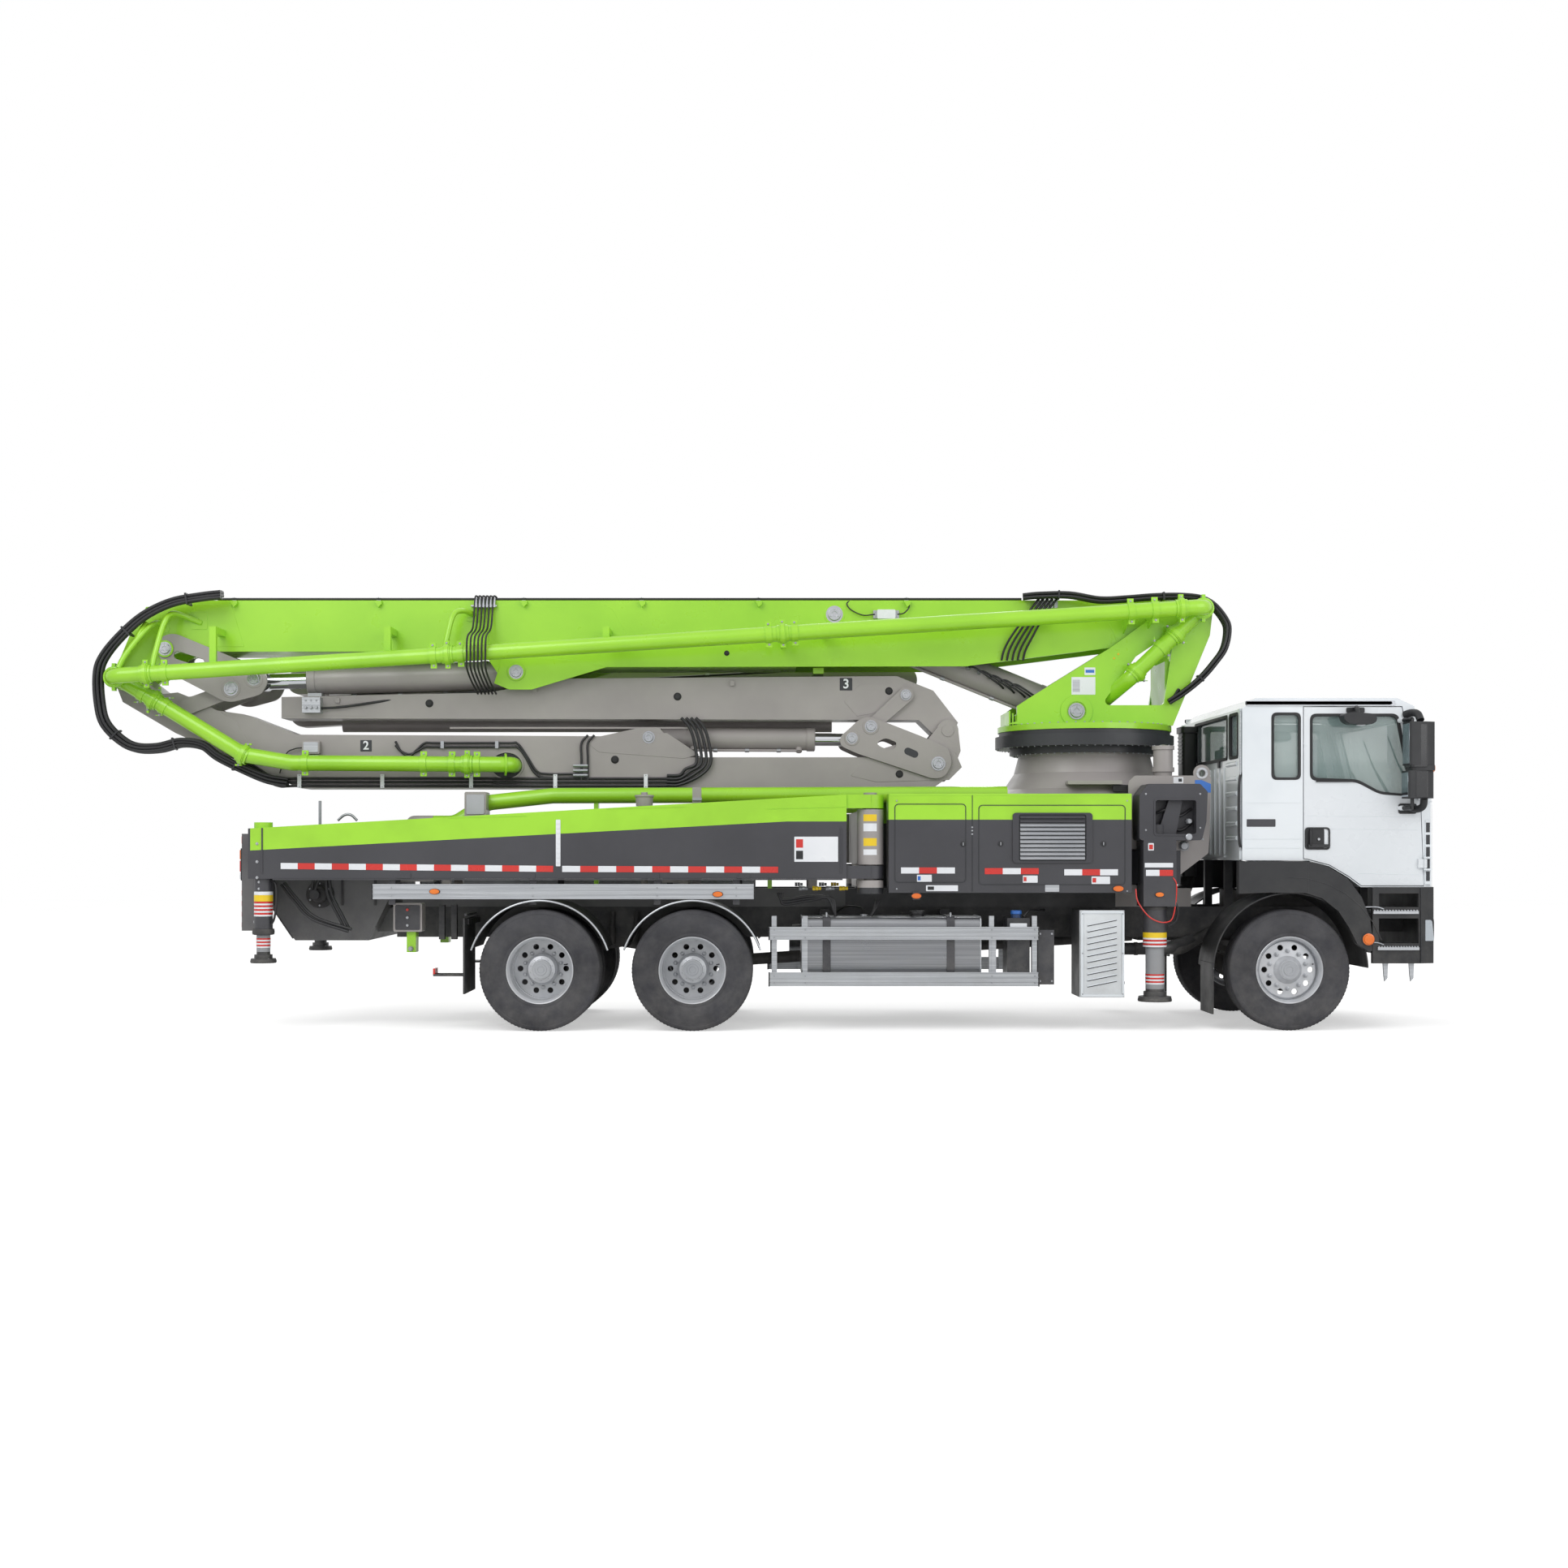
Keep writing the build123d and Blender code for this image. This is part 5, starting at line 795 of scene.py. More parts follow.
def boom_2():
    """Section 2: its number, pins, hydraulic tubes, clips, cover plates and sensor box."""
    number_plate("number_2", "2", -3.678, 2.58, -FACE_2, 0.106, "boom_2")

    pins = Piece("section_2_pins")
    for sign in (RIGHT, LEFT):
        for point, y, radius in (((-5.344, 2.944), FACE_2, 0.045), (FOLD_3_PIN, FACE_2, 0.045),
                                 ((1.677, 2.412), 0.262, 0.052), (LINK_3, FACE_2, 0.040)):
            pin_head(pins, point, sign * y, sign, radius)
    pins.make("boom_2", "steel", 0.0008)

    pipe = Piece("pipe_2_couplings")
    bend = (-4.771, -0.43, 2.487)
    low = ((KNEE_1[0], -0.43, KNEE_1[1]), bend)
    mid = ((-4.320, -0.43, 2.411), (-2.291, -0.43, 2.396))
    coupling(pipe, *at(low, -5.60), PIPE_R)
    coupling(pipe, bend, (-0.90, 0, 0.43), PIPE_R)
    coupling(pipe, *at(mid, -2.70), PIPE_R)
    for x in (-5.50, -5.70):
        saddle(pipe, *at(low, x), PIPE_R, (0, 1, 0))
    for x in (-2.61, -2.84, -4.20, -3.103):
        saddle(pipe, *at(mid, x), PIPE_R, (0, 1, 0))
    pipe.lathe([(0, PIPE_R), (0, 0.105), (0.018, 0.105), (0.018, PIPE_R)], (-2.36, -0.40, 2.396), (1, 0.2, 0),
               "green")
    pipe.make("boom_2", "boom_green", 0.0015)

    hole = Piece("section_2_pipe_recess")
    rim = oval(-2.36, 2.395, 0.145, 0.12, 32)
    hole.frame(oval(-2.36, 2.395, 0.16, 0.135, 32), rim, -0.246, -SKIN_2, "grey")
    hole.prism(rim, -0.2325, -SKIN_2, "plastic")
    hole.make("boom_2", "boom_grey", 0.001)

    tubes = Piece("section_2_tubes")
    for k in range(3):
        z, y = 2.205 + 0.034 * k, -0.246
        tubes.tube([(-4.95, y, 2.50 + 0.03 * k), (-4.80, y, 2.41 + 0.02 * k), (-4.66, y, 2.31 + 0.02 * k),
                    (-4.50, y, z), (-4.2, y, z), (-2.6, y, z), (-2.48, -0.258, z - 0.002 * k),
                    (-2.28, -0.258, z - 0.002 * k), (-2.16, y, z), (-0.98, y, z),
                    (-0.82, y - 0.01, z + 0.004)], 0.0125, "hose", 10)
    for k in range(4):
        x = -0.47 - 0.045 * k
        tubes.tube([(-0.86, -0.252, 2.21 + 0.03 * k), (-0.74, -0.262, 2.215 + 0.03 * k),
                    (x - 0.08, -0.27, 2.30 + 0.02 * k), (x + 0.02, -0.27, 2.42), (x, -0.262, 2.62),
                    (x - 0.05, -0.256, 2.76), (x - 0.12, -0.24, 2.84)], 0.015, "hose", 10)
    for k in range(2):
        y, d = -0.247, 0.036 * k
        tubes.tube([(-3.40, y, 2.62 - d), (-3.35, y, 2.53), (-3.27, y, 2.483 + d / 2),
                    (-3.19, y, 2.55 - d / 2), (-3.12, y, 2.605 - d), (-3.0, y, 2.605 - d),
                    (-2.36, y, 2.605 - d), (-2.26, y, 2.60 - d), (-2.17 - d / 2, y, 2.48),
                    (-2.08 - d / 2, y, 2.345 - d / 2), (-1.98, y, 2.316 - d), (-1.66, y, 2.316 - d)],
                   0.011, "hose", 10)
        tubes.tube([(-1.66 + 0.06 * k, y - 0.004, 2.26), (-1.66 + 0.06 * k, y - 0.006, 2.45),
                    (-1.66 + 0.06 * k, y, 2.60), (-1.60 + 0.06 * k, y + 0.004, 2.68)], 0.011, "hose", 10)
    for z in (2.30, 2.345, 2.39):
        tubes.rod((-1.735, -0.264, z), (-1.60, -0.264, z), 0.016, "zinc", 6)
    tubes.make("boom_2", "black_plastic")

    clips = Piece("section_2_clips")
    for x in (-4.295, -3.52, -2.69, -1.903, -1.057):
        clips.box((x - 0.018, -0.266, 2.185), (x + 0.018, -SKIN_2, 2.312), "label")
        for z in (2.195, 2.302):
            clips.bolt((x, -0.266, z), (0, -1, 0), 0.008)
    for x in (-2.96, -2.45):
        clips.box((x - 0.016, -0.264, 2.555), (x + 0.016, -SKIN_2, 2.622), "zinc")
    for x, z in ((-1.348, 2.45), (1.315, 2.315)):
        plug(clips, x, z, -FACE_2, RIGHT, 0.03)
    clips.make("boom_2", "white", 0.001)

    skin = Piece("section_2_doublers")
    for sign in (RIGHT, LEFT):
        ys = (sign * SKIN_2, sign * 0.2335)
        skin.skin([(-5.62, 3.06), (-5.44, 3.08), (-5.24, 3.00), (-4.90, 2.82), (-4.78, 2.60), (-4.96, 2.52),
                   (-5.30, 2.70)], ys, "grey")
        skin.skin([(-1.62, 2.62), (-1.30, 2.70), (-0.86, 2.70), (-0.56, 2.50), (-0.70, 2.46), (-1.50, 2.52)],
                  ys, "grey")
        skin.skin([(0.86, 2.30), (1.05, 2.52), (1.50, 2.66), (1.84, 2.52), (1.90, 2.38), (1.78, 2.26),
                   (1.10, 2.24)], ys, "grey")
    skin.make("boom_2", "boom_grey", 0.002)

    box = Piece("section_2_sensor_box")
    box.prism(rounded(-4.261, -4.099, 2.502, 2.624, 0.012), -0.300, -0.2335, "grey")
    box.prism(rounded(-4.248, -4.112, 2.515, 2.611, 0.008), -0.305, -0.300, "aluminium")
    for x in (-4.238, -4.122):
        for z in (2.525, 2.601):
            box.bolt((x, -0.305, z), (0, -1, 0), 0.006, washer=False)
    box.tube([(-4.26, -0.27, 2.56), (-4.34, -0.262, 2.55), (-4.42, -0.26, 2.50), (-4.48, -0.258, 2.32)],
             0.006, "hose", 8)
    box.make("boom_2", "light_grey", 0.0015)


def boom_3():
    """Section 3: its number, plugs, lugs, pins, doubler plates and lines."""
    number_plate("number_3", "3", 0.817, 3.16, -FACE_3, 0.117, "boom_3")
    bits = Piece("section_3_fittings")
    for x, z in ((-3.092, 2.98), (-0.764, 3.044), (1.22, 3.096)):
        plug(bits, x, z, -FACE_3, RIGHT, 0.03)
    for x, z in ((-3.95, 3.03), (-2.10, 3.13), (-0.25, 3.19)):
        bits.box((x - 0.02, -0.215, z - 0.045), (x + 0.02, -SKIN_3, z), "grey")
    bits.box((-2.90, -0.196, 2.742), (-0.62, -SKIN_3, 2.758), "grey")
    for sign in (RIGHT, LEFT):
        pin_head(bits, LINK_3, sign * FACE_3, sign, 0.045)
        ys = (sign * SKIN_3, sign * 0.1935)
        bits.skin([(0.92, 2.86), (0.80, 3.00), (0.95, 3.16), (1.38, 3.16), (1.46, 3.06), (1.36, 2.94)], ys,
                  "grey")
        bits.skin([(-4.46, 2.86), (-4.46, 3.02), (-3.85, 3.03), (-3.65, 2.86)], ys, "grey")
    bits.make("boom_3", "boom_grey", 0.001)

    lines = Piece("section_3_lines")
    for k in range(3):
        lines.rod((-3.9, 0.215 + 0.03 * k, 3.20), (0.6, 0.215 + 0.03 * k, 3.20), 0.012, "hose", 10)
    for x in (-3.5, -2.1, -0.7):
        lines.box((x - 0.02, 0.195, 3.184), (x + 0.02, 0.30, 3.190), "zinc")
        lines.box((x - 0.02, 0.195, 3.212), (x + 0.02, 0.30, 3.216), "zinc")
        lines.box((x - 0.02, 0.189, 3.15), (x + 0.02, 0.197, 3.19), "zinc")
    lines.make("boom_3", "black_plastic")


boom_2()
boom_3()


ROCKER_2 = shaped([(-5.437, 3.622), (-4.607, 3.278), (-4.567, 3.176), (-4.628, 3.055), (-4.891, 2.984),
                   (-4.975, 2.988), (-5.417, 3.217), (-5.57, 3.38), (-5.62, 3.50), (-5.55, 3.60)], 0.06)
ROCKER_3 = shaped([(0.765, 2.577), (0.758, 2.664), (0.849, 2.742), (0.936, 2.826), (1.023, 2.855),
                   (1.128, 2.82), (1.528, 2.664), (1.772, 2.559), (1.807, 2.411), (1.737, 2.289),
                   (1.633, 2.268), (0.919, 2.507)], 0.05)
# Openings in the rocker plates.
SLOT_2 = slot_outline((-5.41, 3.418), (-5.20, 3.35), 0.038)
WINDOW_3 = shaped([(1.09, 2.600), (1.18, 2.656), (1.295, 2.607), (1.267, 2.545), (1.17, 2.552)], 0.04)


def rockers():
    """The broad rocker plates of the two folding linkages."""
    for name, edge, holes, (low, high), pins in (
            ("rocker_2", ROCKER_2, [SLOT_2], (0.312, 0.337),
             ((-4.913, 3.106, 0.052), (*FOLD_2_EYE, 0.05))),
            ("rocker_3", ROCKER_3, [WINDOW_3], (0.240, 0.262),
             ((1.047, 2.760, 0.045), (*FOLD_3_EYE, 0.042)))):
        piece = Piece(f"{name}_plates")
        for sign in (RIGHT, LEFT):
            ends = sorted((sign * low, sign * high))
            plate(piece, [edge] + holes, *ends, "grey")
            if name == "rocker_3":
                # Painted shade: this slot is not cut through the plate; a thin dark patch in ring paint
                # stands for the shade inside the opening.
                dark = sorted((sign * high, sign * (high + 0.001)))
                piece.prism(slot_outline((1.392, 2.528), (1.456, 2.500), 0.034), *dark, "ring")
            for x, z, radius in pins:
                pin_head(piece, (x, z), sign * high, sign, radius)
                piece.lathe([(0, radius * 1.7), (0.005, radius * 1.65), (0.005, radius)],
                            (x, sign * high, z), (0, sign, 0), "grey", 32)
        for x, z, radius in pins if name == "rocker_2" else pins[1:]:
            piece.rod((x, -high, z), (x, high, z), radius * 0.75, "steel", 20)
        piece.make(name, "boom_grey", 0.0015)
        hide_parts(name)


def along(start, end, distance):
    """A point on a cylinder's centre line, and its direction."""
    a, b = Vector((start[0], 0, start[1])), Vector((end[0], 0, end[1]))
    way = (b - a).normalized()
    return a + way * distance, way


def barrels():
    """Gland, ports, oil lines and the valve block of the boom's cylinders."""
    for body, start, end, length, radius, rod in (
            ("lift_barrel", LIFT_PIN, LIFT_EYE, 2.23, 0.155, 0.08),
            ("fold_2_barrel", FOLD_2_PIN, FOLD_2_EYE, 2.0, 0.135, 0.075),
            ("fold_3_barrel", FOLD_3_PIN, FOLD_3_EYE, 1.56, 0.105, 0.06)):
        piece = Piece(f"{body}_fittings")
        near, way = along(start, end, 0.30)
        far = along(start, end, length)[0]
        piece.lathe([(-0.075, radius - 0.002), (-0.075, radius + 0.008), (-0.004, radius + 0.008),
                     (0.004, radius - 0.004), (0.004, rod + 0.002)], far, way, "grey", 40)
        piece.lathe([(0.0, radius * 0.99), (0.0, radius + 0.006), (0.05, radius + 0.006),
                     (0.05, radius * 0.99)], near, way, "grey", 40)
        up = Vector((-way.z, 0, way.x))
        up = up if up.z < 0 else -up
        drop = up if body == "fold_2_barrel" else up * 0.86 + Vector((0, -0.5, 0))
        side = drop.normalized() * (radius + 0.022)
        first, last = near + way * 0.12 + side, far - way * 0.14 + side
        piece.tube([first - side.normalized() * 0.03, first, first + way * 0.08, (first + last) / 2,
                    last - way * 0.08, last, last - side.normalized() * 0.03], 0.013, "grey", 10)
        for share in (0.2, 0.5, 0.8):
            spot = first.lerp(last, share)
            piece.rod(spot - way * 0.02, spot + way * 0.02, 0.019, "zinc", 12)
        for spot in (near + way * 0.11, far - way * 0.15):
            piece.rod(spot + side * 0.8, spot + side * 1.08, 0.03, "grey", 16)
        piece.make(body, "boom_grey", 0.001)

    block = Piece("fold_2_valve_block")
    middle = along(FOLD_2_PIN, FOLD_2_EYE, 2.0)[0]
    block.box((middle.x, -0.30, 2.885), (middle.x + 0.17, -0.155, 3.03), "aluminium")
    block.box((middle.x + 0.02, -0.155, 2.90), (middle.x + 0.15, -0.06, 3.08), "aluminium")
    for x in (0.035, 0.085, 0.135):
        block.bolt((middle.x + x, -0.30, 3.00), (0, -1, 0), 0.014)
        block.rod((middle.x + x, -0.30, 2.935), (middle.x + x, -0.33, 2.935), 0.016, "zinc", 6)
    block.tube([(middle.x + 0.17, -0.25, 2.93), (middle.x + 0.4, -0.22, 2.95), (-3.2, -0.155, 3.05),
                (-2.7, -0.12, 3.09), (-2.5, -0.10, 3.12)], 0.012, "hose", 10)
    block.make("fold_2_barrel", "aluminium", 0.002)


def bundles():
    """Hose bundles that cross the boom's pivot and its first knee, and the thin lines over section 1."""
    left = [(-4.95, -0.50, 3.955), (-5.127, -0.50, 3.935), (-5.408, -0.50, 3.88), (-5.668, -0.50, 3.75),
            (-5.889, -0.50, 3.55), (-6.035, -0.50, 3.36), (-6.075, -0.505, 3.202), (-6.065, -0.505, 2.962),
            (-6.02, -0.50, 2.775), (-5.889, -0.48, 2.625), (-5.748, -0.46, 2.55), (-5.548, -0.44, 2.55),
            (-5.347, -0.41, 2.60), (-5.16, -0.37, 2.575), (-5.02, -0.33, 2.47), (-4.80, -0.30, 2.36),
            (-4.586, -0.275, 2.27), (-4.40, -0.262, 2.235)]
    bundle("knee_1_hoses", left, [(0.038 * (k % 4) - 0.057, 0.030 * (k // 4) - 0.03) for k in range(10)],
           0.0155, seed=3,
           clamps=(9, 22, 52, 70, 88))
    right = [(2.45, -0.38, 3.955), (2.60, -0.40, 3.965), (2.873, -0.43, 3.962), (3.148, -0.44, 3.915),
             (3.40, -0.44, 3.925), (3.648, -0.44, 3.945), (3.90, -0.44, 3.95), (4.08, -0.44, 3.93),
             (4.20, -0.44, 3.867), (4.30, -0.44, 3.747), (4.335, -0.44, 3.643), (4.303, -0.44, 3.471),
             (4.21, -0.43, 3.333), (4.09, -0.41, 3.195), (3.94, -0.39, 3.07), (3.80, -0.38, 2.98)]
    bundle("pivot_hoses", right, [(0.036 * (k % 4) - 0.054, 0.028 * (k // 4) - 0.014) for k in range(8)],
           0.0145, seed=5,
           clamps=(10, 32, 78))

    thin = Piece("section_1_drop_lines")
    for k in range(6):
        x = -2.64 + 0.034 * k
        thin.tube([(x + 0.03, -0.235, 3.945), (x + 0.01, -0.29, 3.972), (x, -0.335, 3.955),
                   (x - 0.005, -0.352, 3.86), (x - 0.01, -0.43 - 0.01 * (k % 2), 3.66),
                   (x - 0.01, -0.755, 3.54), (x - 0.015, -0.765, 3.36), (x - 0.02, -0.72, 3.26),
                   (x - 0.01, -0.50, 3.16), (x + 0.02, -0.30, 3.06)], 0.009, "hose", 8)
        thin.rod((x + 0.004, -0.326, 3.95), (x + 0.004, -0.345, 3.86), 0.0145, "zinc", 6)
    thin.box((-2.68, -0.345, 3.87), (-2.44, -SKIN_1, 3.885), "zinc")
    thin.make("boom_1", "black_plastic")


rockers()
barrels()
bundles()


def outer_sections():
    """Pin heads, hydraulic lines and clips on the three slim sections of the left side."""
    beams = ((4, 0.370, 0.550, KNEE_3, KNEE_4), (5, 0.600, 0.760, KNEE_4, KNEE_5),
             (6, 0.810, 0.950, KNEE_5, (1.30, 3.25)))
    for number, near, far, start, end in beams:
        piece = Piece(f"section_{number}_trim")
        pin_head(piece, start, far, 1, 0.072)
        if number < 6:
            pin_head(piece, end, far, 1, 0.066)
        rise = (end[1] - start[1]) / (end[0] - start[0])
        way = 1 if end[0] > start[0] else -1
        for y in (near + 0.035, near + 0.060, near + 0.085):
            line = [(start[0] + way * reach, y, start[1] + way * reach * rise + 0.150 - 0.012 * (reach > 5))
                    for reach in (0.45, 1.8, 3.2, 4.6, 5.35)]
            piece.tube(line, 0.009, "hose", 8)
        for reach in (0.6, 1.7, 2.8, 3.9, 5.0):
            x, z = start[0] + way * reach, start[1] + way * reach * rise
            piece.box((x - 0.02, near + 0.012, z + 0.118), (x + 0.02, near + 0.108, z + 0.152), "cast")
            piece.box((x - 0.02, near + 0.012, z + 0.152), (x + 0.02, near + 0.108, z + 0.164), "zinc")
            piece.bolt((x, near + 0.108 - 0.048, z + 0.164), (0, 0, 1), 0.012, "zinc", False)
        for reach in (0.9, 4.4):
            x, z = start[0] + way * reach, start[1] + way * reach * rise
            piece.prism(rounded(x - 0.14, x + 0.14, z - 0.10, z + 0.06, 0.03), far - 0.001, far + 0.006,
                        "grey")
        piece.make(f"boom_{number}", "boom_grey", 0.001)


outer_sections()


BAND_HEIGHT = 0.054  # of the red and white marking strips


def band(piece, x1, x2, z, y, sign, count, first="label", slope=0.0):
    """A red and white marking strip on a side face."""
    step = (x2 - x1) / count
    for i in range(count):
        mat = first if i % 2 == 0 else ("red" if first == "label" else "label")
        a, b = x1 + i * step, x1 + (i + 1) * step
        left, right = z + slope * (a - x1), z + slope * (b - x1)
        piece.skin([(a, left), (b, right), (b, right + BAND_HEIGHT), (a, left + BAND_HEIGHT)],
                   (y + sign * 0.0002, y + sign * 0.0022), mat)


def sticker(piece, x1, x2, z1, z2, y, sign, mat="label", marks=()):
    """A thin blank plate; marks are coloured fields (x1, x2, z1, z2, finish) as shares of it."""
    piece.skin(rounded(x1, x2, z1, z2, 0.004, 2), (y, y + sign * 0.002), mat)
    for a, b, c, d, field in marks:
        piece.block((x1 + a * (x2 - x1), x1 + b * (x2 - x1)), (y + sign * 0.0019, y + sign * 0.0028),
                    (z1 + c * (z2 - z1), z1 + d * (z2 - z1)), field)


def marker_lamp(piece, x, z, y, sign, size=0.05):
    """An amber side marker on its rubber base."""
    for depth, scale, mat in ((0.006, 1.15, "plastic"), (0.016, 1.0, "amber"), (0.020, 0.75, "amber")):
        piece.skin(oval(x, z, size * scale, size * 0.55 * scale, 28), (y, y + sign * depth), mat)


def spool(piece, place, axis, radius, length, mat="zinc"):
    """A hydraulic fitting: hexagons and collars in a row."""
    way = Vector(axis).normalized()
    for i in range(3):
        start, reach, wide = Vector(place) + way * (length * i / 3), length / 3 * 0.9, radius * (1 - 0.12 * i)
        piece.lathe([(0, 0), (0, wide), (reach, wide), (reach, 0)], start, way, mat, 16 if i % 2 else 6)


def collar(piece, spot, z, proud, tall, mat, sides, radius):
    """A thin band round an upright tube."""
    piece.lathe([(0, radius), (0, radius + proud), (tall, radius + proud), (tall, radius)], (*spot, z),
                (0, 0, 1), mat, sides)


def stripes(piece, spot, z, pitch, tall, count, proud, sides, radius):
    """White and red bands by turns, one above the other, round an upright tube."""
    for i in range(count):
        collar(piece, spot, z + pitch * i, proud, tall, "red" if i % 2 else "label", sides, radius)


# Outer faces of the swing arms and side housings; places (x, y) and radii of rear jack and hinge column.
ARM_Y, HOUSING_Y = 1.2245, 1.2125
REAR_JACK, REAR_JACK_R, REAR_LEG_R = (-4.41, 1.118), 0.081, 0.061
HINGE, HINGE_R = (0.993, 1.08), 0.1186


def arms():
    """Strips, labels, bolts and reflectors on the rear outriggers, and the bands of their jacks and feet."""
    for side, sign in SIDES.items():
        piece, y = Piece(f"rear_arm_trim_{side}"), sign * ARM_Y
        band(piece, -4.23, -1.82, 1.436, y, sign, slope=-0.0108, count=16)
        band(piece, -1.74, 0.17, 1.41, y, sign, slope=-0.004, count=12)
        piece.skin(rounded(-1.796, -1.755, 1.46, 1.873, 0.006, 2), (y, y + sign * 0.006), "label")
        for i in range(9):
            piece.block((-1.79, -1.761), (y, y + sign * 0.011), (1.49 + 0.043 * i, 1.505 + 0.043 * i),
                        "label")
        sticker(piece, 0.313, 0.70, 1.50, 1.722, y, sign,
                marks=[(0.04, 0.20, 0.56, 0.90, "red"), (0.04, 0.20, 0.10, 0.44, "plastic")])
        for x in (-3.2, -2.1, -1.0, -0.2):
            piece.skin([(x, 1.353), (x + 0.12, 1.353), (x + 0.12, 1.398), (x + 0.03, 1.398)],
                       (y, y + sign * 0.006), "band")
        piece.block((-4.30, 0.74), (sign * 1.235, sign * 1.205), (1.338, 1.3495), "band")
        piece.bolts((-4.44,), y, (1.66, 1.50, 1.36), 0.018)
        for x in (-4.40, 0.72):
            piece.skin([(x, 1.40), (x + 0.012, 1.40), (x + 0.012, 1.80), (x, 1.80)],
                       (sign * 1.224, sign * 1.232), "band")
        for x, z in ((0.42, 1.965), (-1.0, 1.965), (-2.4, 1.885)):
            piece.skin([(x - 0.35, z), (x + 0.35, z + 0.018), (x + 0.35, z + 0.022), (x - 0.35, z + 0.004)],
                       (y, y + sign * 0.003), "green")
        low, high = sorted((sign * 1.03, sign * 1.20))
        for z in (1.632, 1.712):
            piece.prism(rounded(low, high, z, z + 0.035, 0.006), -4.524, -4.519, "red", "x")
            piece.prism(rounded(low, high, z + 0.037, z + 0.072, 0.006), -4.524, -4.519, "label", "x")
        piece.make(f"rear_outrigger_{side}", "dark_grey", 0.001)

        jack, x = Piece(f"rear_jack_trim_{side}"), REAR_JACK[0]
        tube = (x, sign * REAR_JACK[1])
        for z, tall, mat in ((1.148, 0.056, "yellow"), (1.205, 0.03, "label")):
            collar(jack, tube, z, 0.0016, tall, mat, 40, REAR_JACK_R)
        stripes(jack, tube, 1.015, 0.0165, 0.0155, 8, 0.0018, 40, REAR_JACK_R)
        jack.lathe([(0, 0.078), (0, 0.094), (0.022, 0.098), (0.05, 0.094), (0.05, 0.078)], (*tube, 0.853),
                   (0, 0, 1), "cast", 40)
        jack.bolts((x - 0.02,), sign * 1.196, (1.32, 1.26), 0.016)
        jack.tube([(x + 0.07, sign * 1.15, 1.34), (x + 0.12, sign * 1.17, 1.30),
                   (x + 0.13, sign * 1.18, 1.15), (x + 0.11, sign * 1.17, 1.0),
                   (x + 0.07, sign * 1.15, 0.93)], 0.010, "hose", 8)
        jack.make(f"rear_outrigger_{side}", "dark_grey", 0.0008)

        foot = Piece(f"rear_foot_trim_{side}")
        stripes(foot, tube, 0.735, 0.0145, 0.014, 6, 0.0015, 36, REAR_LEG_R)
        foot.lathe([(0, 0.0), (0, 0.112), (0.012, 0.116), (0.03, 0.112), (0.036, 0.08), (0.036, 0.0)],
                   (*tube, 0.601), (0, 0, 1), "cast", 40)
        for k in range(4):
            turn = radians(45 + 90 * k)
            foot.bolt((x + 0.088 * cos(turn), tube[1] + 0.088 * sin(turn), 0.636), (0, 0, 1), 0.011)
        foot.make(f"rear_leg_{side}", "dark_grey", 0.001)


